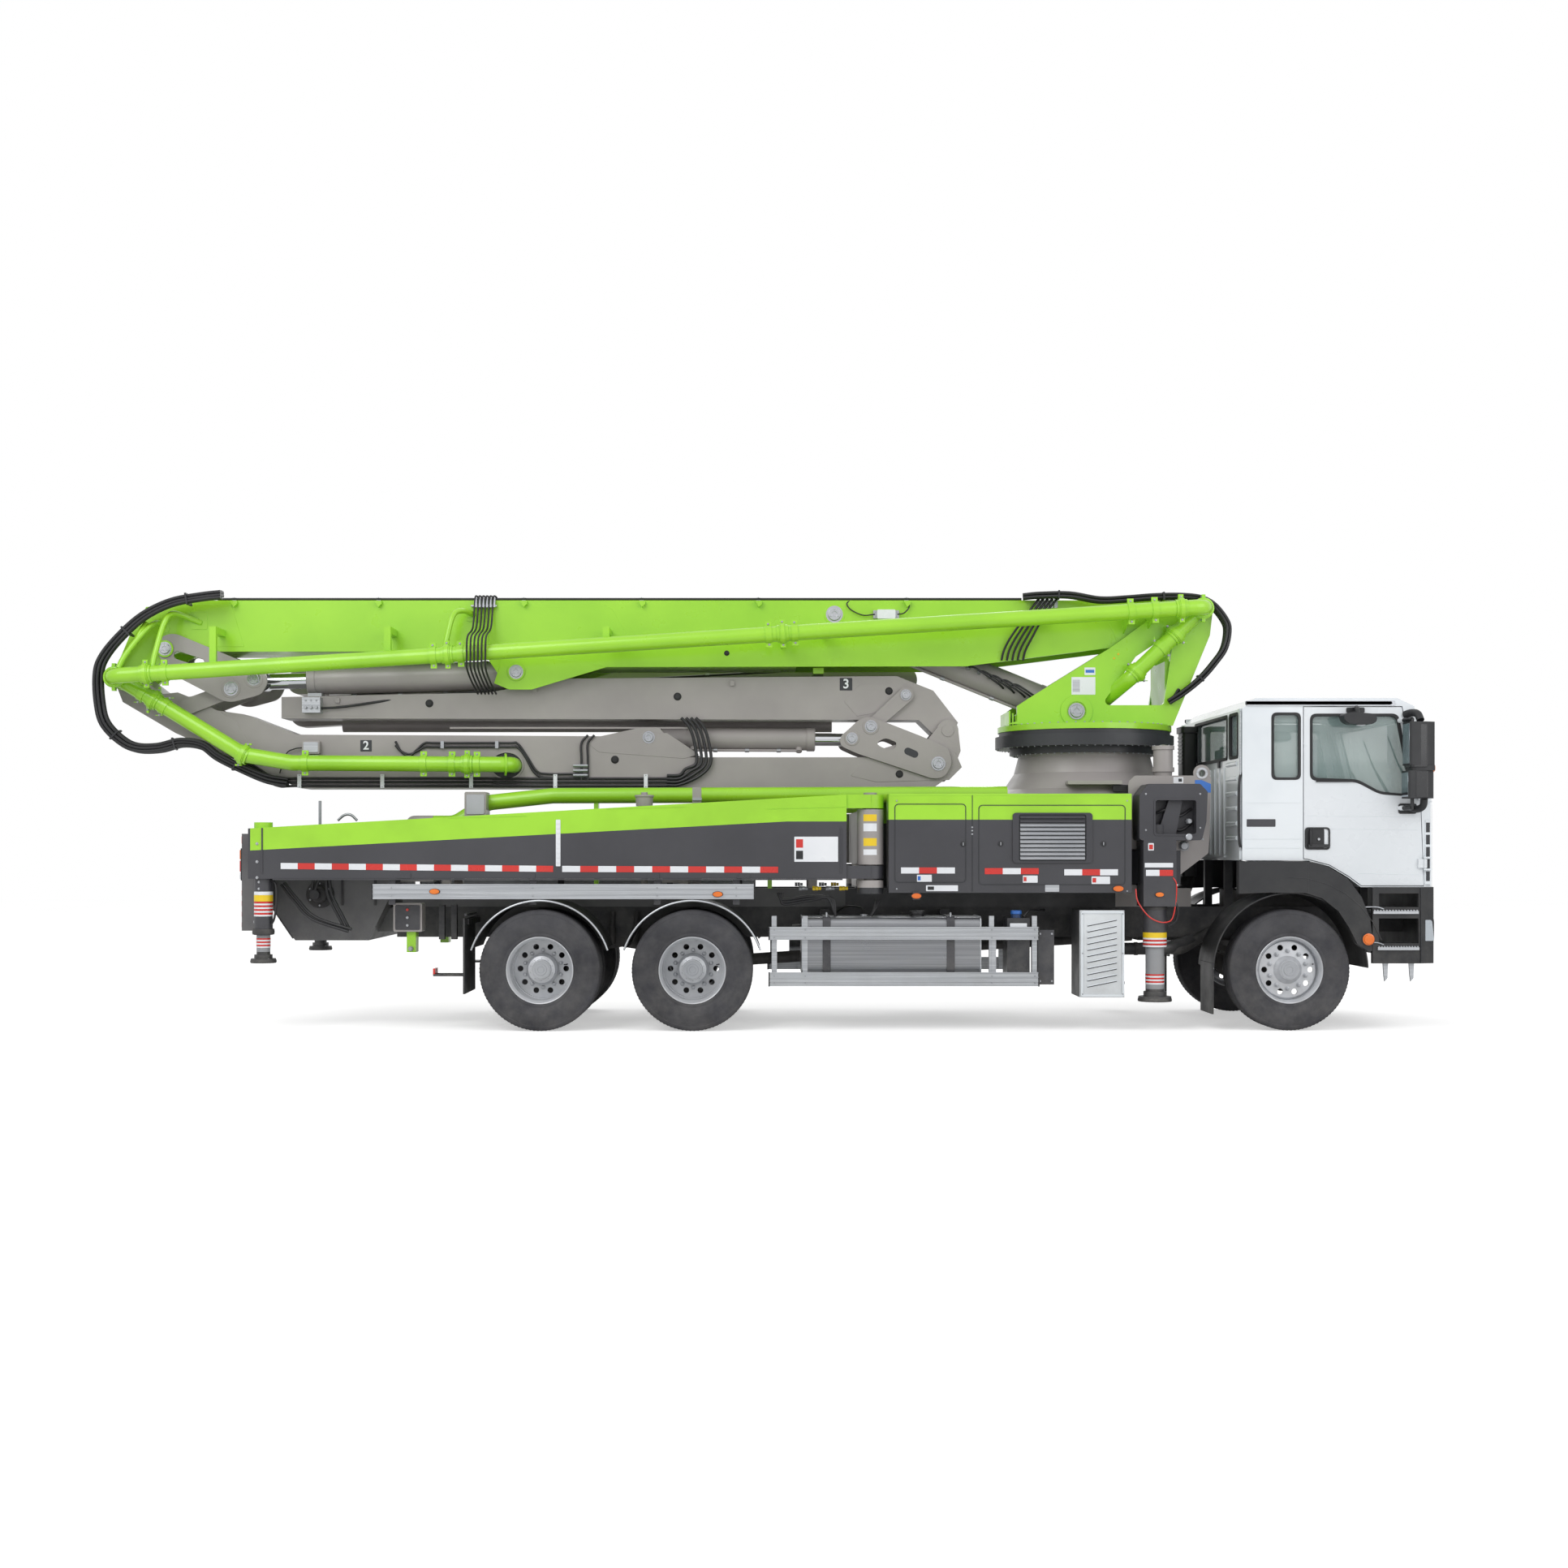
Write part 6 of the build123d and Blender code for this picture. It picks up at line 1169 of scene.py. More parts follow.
def housings():
    """Doors, louvre, strips and labels on the side housings, and the hinge columns."""
    for side, sign in SIDES.items():
        piece, y = Piece(f"housing_trim_{side}"), sign * HOUSING_Y
        ys = sorted((y, y + sign * 0.0035))
        for x1, x2, z1, z2 in ((1.20, 1.834, 1.315, 2.014), (1.943, 3.245, 1.295, 2.004)):
            inner = rounded(x1 + 0.007, x2 - 0.007, z1 + 0.007, z2 - 0.007, 0.03)
            piece.frame(rounded(x1, x2, z1, z2, 0.035), inner, *ys, "ring")
        piece.block((1.886, 1.892), ys, (1.235, 2.09), "ring")
        piece.bolts((1.888,), y, (1.745, 1.775, 1.805), 0.012)
        piece.frame(rounded(2.245, 2.951, 1.49, 1.934, 0.03), rounded(2.300, 2.896, 1.505, 1.919, 0.02),
                    *sorted((y, y + sign * 0.014)), "band")
        piece.prism(rounded(2.300, 2.896, 1.505, 1.919, 0.02), y - sign * 0.001, y + sign * 0.0005, "ring")
        for i in range(11):
            z = 1.517 + 0.0365 * i
            rows = [(sign * 1.213, z), (sign * 1.228, z + 0.003), (sign * 1.229, z + 0.008),
                    (sign * 1.215, z + 0.030)]
            piece.prism(rows, 2.312, 2.884, "band" if i > 8 else "zinc", "x")
        for x, z in ((1.808, 1.657), (2.14, 1.66), (3.05, 1.66)):
            piece.lathe([(0, 0.024), (0.006, 0.024), (0.007, 0.019), (0.007, 0.0)], (x, y, z), (0, sign, 0),
                        "plastic", 24)
            piece.block((x - 0.004, x + 0.004), (y, y + sign * 0.011), (z - 0.014, z + 0.014), "zinc")
        for x1, x2, first, z in ((1.258, 1.735, "label", 1.396), (1.999, 2.477, "red", 1.390),
                                 (2.703, 3.178, "label", 1.380)):
            band(piece, x1, x2, z, y, sign, count=3, first=first)
        for x1, x2, z1, z2, mark in ((1.399, 1.53, 1.323, 1.385, "blue"), (2.336, 2.467, 1.315, 1.378, "red"),
                                     (2.944, 3.108, 1.303, 1.370, "red"),
                                     (1.479, 1.762, 1.240, 1.292, "plastic")):
            sticker(piece, x1, x2, z1, z2, y, sign, marks=[(0.05, 0.25, 0.2, 0.8, mark)])
        sticker(piece, 2.533, 2.658, 1.235, 1.295, y, sign, "aluminium")
        marker_lamp(piece, 3.18, 1.262, y, sign, 0.045)
        for x, z in ((1.22, 1.26), (3.26, 1.24), (1.22, 2.04), (3.26, 2.04)):
            piece.bolt((x, y, z), (0, sign, 0), 0.010)
        piece.block((1.15, 3.30), (sign * 1.19, sign * 1.214), (2.086, 2.103), "green")
        piece.make("base", "dark_grey", 0.001)

        hinge = Piece(f"hinge_trim_{side}")
        for z, tall, mat in ((1.86, 0.06, "yellow"), (1.77, 0.07, "label"), (1.64, 0.07, "yellow"),
                             (1.56, 0.05, "label")):
            turns = [sign * radians(124 - 7.5 * k) for k in range(9)]
            hinge.add([(HINGE[0] + HINGE_R * cos(turn), sign * HINGE[1] + HINGE_R * sin(turn), level)
                       for level in (z, z + tall) for turn in turns],
                      [(k, k + 1, k + 10, k + 9) for k in range(8)], mat)
        hinge.make("base", "light_grey")


arms()
housings()


# Outer faces of the front outrigger heads, the side guards and their rails; radii of the front jacks.
HEAD_Y, GUARD_Y, RAIL_Y = 1.2405, 1.2355, 1.2415
FRONT_JACK_R, FRONT_LEG_R = 0.103, 0.0825


def front_legs():
    """Bands, blank labels, hoses and reflectors on the front outriggers' heads, jacks and feet."""
    for side, sign in SIDES.items():
        head, y = Piece(f"front_head_trim_{side}"), sign * HEAD_Y
        for x, z in ((3.42, 2.10), (3.42, 1.78), (3.90, 2.10), (3.90, 1.80)):
            head.bolt((x, y, z), (0, sign, 0), 0.012)
        head.lathe([(0, 0.030), (0.008, 0.030), (0.014, 0.022), (0.014, 0)], (3.80, y, 1.66 + 0.06),
                   (0, sign, 0), "steel", 28)
        head.frame(rounded(3.49, 3.88, 1.73, 2.06, 0.03), rounded(3.505, 3.865, 1.745, 2.045, 0.022),
                   *sorted((sign * 1.10, sign * 1.2455)), "band")
        for z in (1.80, 1.93):
            head.tube([(3.53, sign * 1.12, z), (3.62, sign * 1.16, z + 0.03), (3.74, sign * 1.14, z - 0.02),
                       (3.85, sign * 1.11, z + 0.04)], 0.013, "hose", 10)
        spool(head, (3.82, sign * 1.105, 1.86), (0, sign, 0), 0.026, 0.09)
        sticker(head, 3.44, 3.49, 1.60, 1.665, y, sign, marks=[(0.15, 0.85, 0.15, 0.8, "red")])
        sticker(head, 3.41, 3.66, 1.45, 1.49, y, sign)
        band(head, 3.42, 3.66, 1.375, y, sign, count=2)
        marker_lamp(head, 3.54, 1.21, y, sign, 0.036)
        tube = (3.527, sign * 1.10)
        collar(head, tube, 0.815, 0.0017, 0.057, "yellow", 48, FRONT_JACK_R)
        stripes(head, tube, 0.743, 0.0165, 0.0155, 5, 0.0019, 48, FRONT_JACK_R)
        head.lathe([(0, 0.10), (0, 0.110), (0.02, 0.114), (0.03, 0.110), (0.03, 0.10)], (*tube, 1.075),
                   (0, 0, 1), "cast", 48)
        head.tube([(3.66, sign * 1.20, 1.20), (3.71, sign * 1.20, 1.08), (3.70, sign * 1.18, 0.98),
                   (3.64, sign * 1.17, 0.93)], 0.012, "hose", 8)
        head.tube([(3.333, sign * 1.225, 1.26), (3.35, sign * 1.232, 1.15), (3.434, sign * 1.232, 1.03),
                   (3.52, sign * 1.23, 0.975), (3.60, sign * 1.23, 0.965), (3.656, sign * 1.232, 1.00),
                   (3.685, sign * 1.235, 1.14), (3.69, sign * 1.242, 1.30),
                   (3.66, sign * 1.245, 1.36)], 0.006, "red", 8)
        head.make(f"front_outrigger_{side}", "dark_grey", 0.0015)

        foot = Piece(f"front_foot_trim_{side}")
        stripes(foot, tube, 0.41, 0.0155, 0.0145, 6, 0.0017, 44, FRONT_LEG_R)
        foot.lathe([(0, 0), (0, 0.147), (0.012, 0.151), (0.030, 0.147), (0.040, 0.11), (0.075, 0.0835),
                    (0.075, 0)], (*tube, 0.2575), (0, 0, 1), "cast", 48)
        for k in range(6):
            turn = radians(30 + 60 * k)
            foot.bolt((tube[0] + 0.125 * cos(turn), tube[1] + 0.125 * sin(turn), 0.288), (0, 0, 1), 0.011)
        foot.make(f"front_leg_{side}", "steel", 0.001)


def tanks():
    """Straps and caps of the two tanks, and the louvres and pipes of the silencer."""
    fuel = Piece("fuel_tank_trim")
    for x in (0.60, 1.70):
        fuel.frame(rounded(-1.205, -0.61, 0.50, 1.020, 0.055, 5),
                   rounded(-1.198, -0.617, 0.507, 1.013, 0.05, 5), x - 0.035, x + 0.035, "band", "x")
        fuel.box((x - 0.045, -0.66, 0.96), (x + 0.045, -0.48, 1.06), "frame")
        fuel.rod((x, -1.17, 1.0), (x, -1.17, 1.045), 0.010, "zinc", 10)
        fuel.bolt((x, -1.17, 1.04), (0, 0, 1), 0.016)
    for x in (0.385, 1.965):
        fuel.frame(rounded(-1.200, -0.615, 0.505, 1.015, 0.05, 5),
                   rounded(-1.192, -0.623, 0.513, 1.007, 0.045, 5), x - 0.006, x + 0.006, "aluminium", "x")
    fuel.lathe([(0, 0.062), (0.022, 0.062), (0.026, 0.072), (0.05, 0.070), (0.054, 0.060), (0.054, 0)],
               (1.42, -0.98, 1.008), (0, 0, 1), "plastic", 36)
    fuel.lathe([(0, 0.035), (0.015, 0.035), (0.015, 0)], (0.95, -0.86, 1.010), (0, 0, 1), "zinc", 24)
    fuel.tube([(0.95, -0.86, 1.02), (0.93, -0.80, 1.08), (0.80, -0.66, 1.09), (0.70, -0.52, 1.02)], 0.009,
              "hose", 8)
    fuel.make("base", "aluminium", 0.0015)

    side_tank = Piece("additive_tank_trim")
    side_tank.lathe([(0, 0.045), (0.03, 0.045), (0.034, 0.050), (0.062, 0.048), (0.066, 0.04), (0.066, 0)],
                    (2.30, -1.04, 1.0), (0, 0, 1), "blue", 32)
    sticker(side_tank, 2.225, 2.375, 0.84, 0.955, -1.1955, RIGHT, marks=[(0.05, 0.3, 0.3, 0.7, "blue")])
    side_tank.box((2.46, -1.16, 0.40), (2.475, -0.84, 0.91), "frame")
    side_tank.box((2.475, -1.17, 0.41), (2.62, -1.155, 0.895), "band")
    side_tank.bolts((2.495, 2.60), -1.17, (0.44, 0.86), 0.013)
    side_tank.box((2.475, -1.155, 0.42), (2.61, -0.86, 0.885), "plastic")
    side_tank.tube([(2.36, -1.06, 1.01), (2.42, -1.02, 1.06), (2.52, -0.9, 1.06), (2.60, -0.7, 1.06)], 0.011,
                   "hose", 8)
    side_tank.make("base", "black_plastic", 0.002)

    silencer = Piece("silencer_trim")
    low, high = -1.2265, -1.2245
    silencer.frame(rounded(2.848, 3.232, 0.306, 1.064, 0.02), rounded(2.868, 3.212, 0.326, 1.044, 0.012),
                   -1.232, -1.2245, "white")
    for i in range(11):
        z = 0.405 + 0.054 * i
        silencer.prism([(2.905, z - 0.010), (3.165, z + 0.052 - 0.010), (3.165, z + 0.052), (2.905, z)],
                       -1.2345, low, "white")
        silencer.prism([(2.905, z - 0.018), (3.165, z + 0.034), (3.165, z + 0.0415), (2.905, z - 0.0105)],
                       low, high, "ring")
    silencer.bolts((2.862, 3.218), -1.232, (0.33, 0.69, 1.04), 0.009)
    silencer.lathe([(0, 0.05), (0.0, 0.075), (0.02, 0.075), (0.02, 0.052), (0.16, 0.052), (0.16, 0.06),
                    (0.19, 0.06), (0.19, 0.046), (0.02, 0.046)], (3.241, -0.80, 0.71), (1, 0, 0), "cast", 32)
    silencer.tube([(3.42, -0.80, 0.71), (3.50, -0.80, 0.72), (3.60, -0.78, 0.72), (3.68, -0.76, 0.715)],
                  0.050, "cast", 24)
    silencer.lathe([(0, 0.05), (0, 0.078), (0.016, 0.078), (0.016, 0.05)], (3.67, -0.76, 0.715), (1, 0, 0),
                   "cast", 32)
    silencer.tube([(3.68, -0.76, 0.715), (3.80, -0.74, 0.70), (3.90, -0.66, 0.72), (4.05, -0.55, 0.80),
                   (4.2, -0.48, 0.86)], 0.048, "cast", 24)
    silencer.make("base", "white", 0.001)


def guards():
    """Grooves, end caps, hangers and markers on the side rails."""
    for side, sign in SIDES.items():
        piece, y = Piece(f"guard_trim_{side}"), sign * GUARD_Y
        for x1, x2, z1, z2 in ((-3.42, -0.04, 1.17, 1.30), (0.09, 2.475, 0.81, 0.92),
                               (0.09, 2.475, 0.40, 0.52)):
            for share in (0.0, 0.31, 0.62, 0.93):
                z = z1 + share * (z2 - z1)
                piece.block((x1, x2), (y - sign * 0.001, y + sign * 0.006), (z, z + 0.012), "aluminium")
            for x in (x1, x2):
                piece.block((x - 0.006, x + 0.006), (sign * 1.203, sign * RAIL_Y), (z1 - 0.003, z2 + 0.003),
                            "plastic")
        marker_lamp(piece, -2.866, 1.237, y + sign * 0.006, sign, 0.042)
        marker_lamp(piece, -0.364, 1.213, y + sign * 0.006, sign, 0.042)
        marker_lamp(piece, 1.392, 1.198, sign * GUARD_Y, sign, 0.042)
        piece.block((1.36, 1.425), (sign * 1.19, sign * 1.236), (1.165, 1.235), "band")
        for x in (-3.25, -2.0, -0.9, -0.2):
            piece.block((x - 0.03, x + 0.03), (sign * 1.19, sign * 1.206), (1.12, 1.345), "band")
            piece.bolts((x,), sign * RAIL_Y, (1.20, 1.27), 0.009)
        for x in (0.135, 0.41, 2.06, 2.44):
            piece.block((x - 0.022, x + 0.022), (sign * 1.165, sign * 1.206), (0.41, 1.02), "aluminium")
            piece.bolts((x,), sign * RAIL_Y, (0.43, 0.49, 0.83, 0.90), 0.009)
        piece.make("base", "aluminium", 0.001)


front_legs()
tanks()
guards()


# Outer and inner outline of the window seal on a door.
DOOR_RIM = shaped([(4.878, 2.812), (5.662, 2.812), (5.799, 2.076), (5.493, 2.097), (5.290, 2.206),
                   (4.878, 2.220)], 0.06, 5)
DOOR_GAP_RIM = shaped([(4.902, 2.788), (5.640, 2.788), (5.771, 2.096), (5.499, 2.122), (5.300, 2.230),
                       (4.902, 2.244)], 0.05, 5)


ARCH, ARCH_R = (4.71, 0.522), 0.842  # the seam round the front wheel arch
MIRROR_Y, KERB_MIRROR_Y = 1.39, 1.35


def door_trim():
    """Window seals, handles, mirrors and press lines of the doors."""
    for side, sign in SIDES.items():
        piece = Piece(f"door_trim_{side}")
        piece.frame(DOOR_RIM, DOOR_GAP_RIM, *sorted((sign * 1.195, sign * 1.2145)), "rubber")
        piece.skin(rounded(4.832, 5.005, 1.607, 1.805, 0.030), (sign * 1.2095, sign * 1.2125), "plastic")
        piece.frame(rounded(4.832, 5.055, 1.607, 1.805, 0.030), rounded(4.846, 5.041, 1.621, 1.791, 0.022),
                    *sorted((sign * 1.2095, sign * 1.219)), "plastic")
        piece.tube([(4.885, sign * 1.213, 1.63), (4.880, sign * 1.232, 1.66), (4.880, sign * 1.236, 1.71),
                    (4.880, sign * 1.232, 1.76), (4.885, sign * 1.213, 1.785)], 0.012, "plastic", 12)
        piece.lathe([(0, 0.012), (0.004, 0.012), (0.004, 0)], (4.955, sign * 1.2195, 1.70), (0, sign, 0),
                    "zinc", 20)
        for z, x1, x2 in ((1.905, 4.84, 5.82), (1.790, 5.03, 5.83), (1.395, 5.30, 5.86)):
            piece.skin([(x1, z), (x2, z - 0.012), (x2, z - 0.007), (x1, z + 0.005)],
                       (sign * 1.2098, sign * 1.2116), "white")
        piece.block((4.93, 5.27), (sign * 1.2145, sign * 1.225), (2.206, 2.222), "rubber")
        reach = sign * KERB_MIRROR_Y
        piece.tube([(5.29, sign * 1.205, 2.845), (5.28, sign * 1.25, 2.862), (5.265, sign * 1.31, 2.845),
                    (5.262, sign * 1.345, 2.80)], 0.020, "plastic", 14)
        piece.skin(rounded(5.20, 5.36, 2.818, 2.865, 0.012), (sign * 1.20, sign * 1.222), "plastic")
        low, high = sorted((reach - 0.075, reach + 0.075))
        piece.prism(shaped([(5.115, 2.795), (5.18, 2.812), (5.39, 2.795), (5.41, 2.735), (5.36, 2.703),
                            (5.16, 2.710), (5.12, 2.745)], 0.03), low, high, "plastic")
        piece.prism(rounded(5.25, 5.32, 2.697, 2.704, 0.003), reach - 0.02, reach + 0.02, "label")
        for z1, z2, x1, depth in ((2.345, 2.725, 5.735, 0.105), (2.056, 2.298, 5.725, 0.10)):
            low, high = sorted((sign * MIRROR_Y - depth, sign * MIRROR_Y + depth))
            outline = [(x1 - 0.065, low + 0.012), (x1 - 0.065, high - 0.012), (x1 - 0.05, high),
                       (x1 + 0.08, high - 0.008), (x1 + 0.165, high - 0.05), (x1 + 0.185, (low + high) / 2),
                       (x1 + 0.165, low + 0.05), (x1 + 0.08, low + 0.008), (x1 - 0.05, low)]
            piece.prism(outline, z1, z2, "plastic", "z")
            piece.box((x1 - 0.067, low + 0.018, z1 + 0.016), (x1 - 0.0645, high - 0.018, z2 - 0.016),
                      "mirror")
        piece.prism(rounded(5.69, 5.905, sign * MIRROR_Y - 0.088, sign * MIRROR_Y + 0.088, 0.04, 3), 2.298,
                    2.345, "plastic", "z")
        piece.lathe([(0, 0.052), (0.035, 0.048), (0.055, 0.03), (0.06, 0)], (5.862, sign * MIRROR_Y, 2.322),
                    (1, sign * 0.8, 0), "amber", 24)
        piece.tube([(5.72, sign * 1.205, 2.80), (5.76, sign * 1.26, 2.815), (5.79, sign * 1.33, 2.80),
                    (5.80, sign * 1.38, 2.74)], 0.034, "plastic", 14)
        piece.tube([(5.73, sign * 1.205, 1.985), (5.80, sign * 1.28, 1.965), (5.83, sign * 1.35, 1.99),
                    (5.83, sign * 1.385, 2.06)], 0.032, "plastic", 14)
        piece.skin(rounded(5.66, 5.82, 1.925, 2.015, 0.02), (sign * 1.20, sign * 1.225), "plastic")
        piece.make(f"cab_door_{side}", "white", 0.0025)


def cab_trim():
    """Gutters, window seals, corner vents, turn lamps, arch seams, steps and grab rails of the cab."""
    for side, sign in SIDES.items():
        piece = Piece(f"cab_side_trim_{side}")
        piece.skin(rounded(4.315, 5.63, 2.880, 2.925, 0.01), (sign * 1.198, sign * 1.222), "aluminium")
        piece.frame(shaped([(4.537, 2.225), (4.537, 2.822), (4.797, 2.822), (4.797, 2.225)], 0.05, 5),
                    shaped([(4.560, 2.247), (4.560, 2.800), (4.775, 2.800), (4.775, 2.247)], 0.04, 5),
                    *sorted((sign * 1.195, sign * 1.2145)), "rubber")
        low, high = sorted((sign * 1.2095, sign * 1.2125))
        piece.prism(rounded(4.318, 4.573, 1.810, 1.877, 0.006), low, high, "band")
        for z in (2.02, 1.70, 1.62):
            piece.box((4.30, low, z), (4.80, high - (high - low) * 0.4, z + 0.004), "white")
        piece.skin([(5.900, 1.30), (5.905, 1.87), (5.952, 1.87), (5.955, 1.30)], (sign * 1.17, sign * 1.198),
                   "white")
        for i in range(5):
            z = 1.33 + 0.108 * i
            piece.block((5.911, 5.943), (sign * 1.19, sign * 1.2015), (z, z + 0.085), "ring")
        piece.lathe([(0, 0.052), (0.008, 0.052), (0.010, 0.044), (0.024, 0.040), (0.028, 0.0)],
                    (5.385, sign * 1.2455, 0.815), (0, sign, 0), "amber", 32)
        piece.lathe([(0, 0.058), (0.007, 0.058), (0.007, 0.050)], (5.385, sign * 1.245, 0.815), (0, sign, 0),
                    "plastic", 32)
        for k in range(1, 7):
            ends = (radians(8 + 12 * k), radians(20 + 12 * k))
            piece.tube([(ARCH[0] + ARCH_R * cos(turn), sign * 1.2452,
                         ARCH[1] + ARCH_R * sin(turn)) for turn in ends], 0.0035, "frame", 6, 2)
        piece.block((4.855, 4.860), (sign * 1.244, sign * 1.2465), (1.215, 1.50), "frame")
        for x1, x2, z in ((5.425, 5.825, 1.040), (5.465, 5.830, 0.720)):
            piece.block((x1, x2), (sign * 1.00, sign * 1.262), (z, z + 0.026), "aluminium")
            for i in range(15):
                a = x1 + (x2 - x1) * (i + 0.15) / 15
                b = a + (x2 - x1) * 0.6 / 15
                piece.skin([(a, z + 0.025), (b, z + 0.025), (b - 0.004, z + 0.036), (a + 0.004, z + 0.036)],
                           (sign * 1.04, sign * 1.262), "aluminium")
            for y in (1.10, 1.18):
                piece.block((x1 + 0.01, x2 - 0.01), (sign * y, sign * (y + 0.02)), (z + 0.024, z + 0.031),
                            "plastic")
        for z in (1.10, 0.785):
            piece.tube([(5.36, sign * 1.235, z), (5.46, sign * 1.245, z), (5.52, sign * 1.245, z - 0.018)],
                       0.006, "zinc", 8)
        for x in (5.52, 5.75):
            piece.skin([(x, 0.70), (x + 0.055, 0.70), (x + 0.045, 0.47), (x + 0.020, 0.44),
                        (x + 0.012, 0.50)], (sign * 1.19, sign * 1.21), "aluminium")
        piece.tube([(5.47, sign * 1.20, 0.725), (5.475, sign * 1.21, 0.685), (5.50, sign * 1.21, 0.672),
                    (5.80, sign * 1.21, 0.672), (5.825, sign * 1.21, 0.685),
                    (5.83, sign * 1.20, 0.725)], 0.008, "aluminium", 10)
        piece.tube([(4.30, sign * 1.16, 1.60), (4.255, sign * 1.20, 1.70), (4.255, sign * 1.20, 2.2),
                    (4.30, sign * 1.16, 2.30)], 0.012, "plastic", 12)
        piece.make("base", "white", 0.0015)


door_trim()
cab_trim()


def on_windscreen(piece):
    """Lean what the piece holds so far against the sloping windscreen."""
    for point in piece.points:
        point.x += 5.80 + (2.88 - point.z) * 0.22 / 0.93


def front():
    """Windscreen seal, wipers, grille, lamps, bumper inlets and the blank plate."""
    piece = Piece("cab_front_trim")
    piece.frame(rounded(-1.055, 1.055, 2.005, 2.795, 0.07), rounded(-1.022, 1.022, 2.038, 2.762, 0.055),
                -0.008, 0.010, "rubber", "x")
    piece.prism(rounded(-1.10, 1.10, 2.80, 2.872, 0.02), -0.004, 0.016, "plastic", "x")
    for y in (-0.72, 0.0, 0.72):
        tilt = 0.34
        piece.tube([(0.02, y, 1.985), (0.045, y + 0.05, 2.02), (0.035, y + tilt * 0.5, 2.20),
                    (0.030, y + tilt, 2.38)], 0.011, "plastic", 8)
        piece.tube([(0.020, y + tilt - 0.21, 2.16), (0.026, y + tilt, 2.38), (0.020, y + tilt + 0.10, 2.66)],
                   0.009, "rubber", 8)
        piece.lathe([(-0.02, 0.028), (0.01, 0.028), (0.022, 0.015), (0.022, 0)], (0.02, y, 1.985),
                    (1, 0, 0.2), "plastic", 20)
    on_windscreen(piece)
    piece.frame(rounded(-0.92, 0.92, 1.335, 1.885, 0.06), rounded(-0.87, 0.87, 1.385, 1.835, 0.04), 6.012,
                6.034, "plastic", "x")
    piece.prism(rounded(-0.87, 0.87, 1.385, 1.835, 0.04), 6.012, 6.019, "ring", "x")
    for i in range(6):
        z = 1.402 + 0.072 * i
        piece.prism([(6.018, z), (6.038, z + 0.012), (6.040, z + 0.034), (6.018, z + 0.046)], -0.865, 0.865,
                    "band")
    for y in (-0.43, 0.0, 0.43):
        piece.box((6.018, y - 0.008, 1.39), (6.030, y + 0.008, 1.83), "ring")
    for z in (1.30, 1.92):
        piece.box((6.008, -1.00, z), (6.0225, 1.00, z + 0.005), "band")
    piece.prism(rounded(-0.62, 0.62, 1.05, 1.20, 0.03), 6.008, 6.018, "ring", "x")
    for z in (1.075, 1.105, 1.135, 1.165):
        piece.box((6.014, -0.60, z), (6.024, 0.60, z + 0.010), "band")
    piece.prism(rounded(-0.235, 0.235, 0.83, 0.955, 0.012), 6.012, 6.020, "zinc", "x")
    piece.prism(rounded(-0.60, 0.60, 0.645, 0.735, 0.03), 6.008, 6.016, "ring", "x")
    piece.prism(rounded(-0.85, 0.85, 1.225, 1.268, 0.012), 6.010, 6.030, "plastic", "x")
    for sign in (RIGHT, LEFT):
        y1, y2 = sorted((sign * 0.66, sign * 1.045))
        piece.frame(rounded(y1, y2, 0.775, 1.005, 0.045), rounded(y1 + 0.02, y2 - 0.02, 0.795, 0.985, 0.035),
                    6.008, 6.036, "plastic", "x")
        piece.prism(rounded(y1 + 0.015, y2 - 0.015, 0.79, 0.99, 0.035), 6.010, 6.018, "chrome", "x")
        for y, radius in ((0.765, 0.074), (0.925, 0.068)):
            piece.lathe([(0, radius), (0.010, radius), (0.014, radius * 0.8), (0.026, radius * 0.45),
                         (0.028, 0)], (6.017, sign * y, 0.89), (1, 0, 0), "lens", 32)
            piece.lathe([(0, radius * 1.12), (0.008, radius * 1.12), (0.012, radius)],
                        (6.016, sign * y, 0.89), (1, 0, 0), "chrome", 32)
        piece.prism(rounded(*sorted((sign * 1.0, sign * 1.032)), 0.81, 0.97, 0.01), 6.018, 6.030, "amber",
                    "x")
        piece.lathe([(0, 0.058), (0.010, 0.058), (0.014, 0.048), (0.022, 0.0)], (6.010, sign * 0.80, 0.69),
                    (1, 0, 0), "lens", 28)
        piece.frame(rounded(*sorted((sign * 0.72, sign * 0.88)), 0.625, 0.755, 0.03),
                    rounded(*sorted((sign * 0.735, sign * 0.865)), 0.64, 0.74, 0.025), 6.008, 6.022, "band",
                    "x")
        piece.rod((6.0, sign * 0.38, 0.79), (6.045, sign * 0.38, 0.79), 0.026, "cast", 20)
        low, high = sorted((sign * 1.238, sign * 1.246))
        piece.skin(shaped([(5.86, 0.80), (5.86, 0.985), (5.955, 0.985), (5.975, 0.80)], 0.02),
                   (sign * 1.17, sign * 1.222), "lens")
        piece.prism([(5.846, 0.61), (5.852, 0.61), (5.852, 1.27), (5.846, 1.27)], low - 0.006, high - 0.002,
                    "ring")
        piece.skin(shaped([(4.307, 2.888), (4.307, 2.922), (5.60, 2.922), (5.608, 2.900), (5.59, 2.888)],
                          0.008), (sign * 1.204, sign * 1.222), "band")
    piece.make("base", "black_plastic", 0.002)


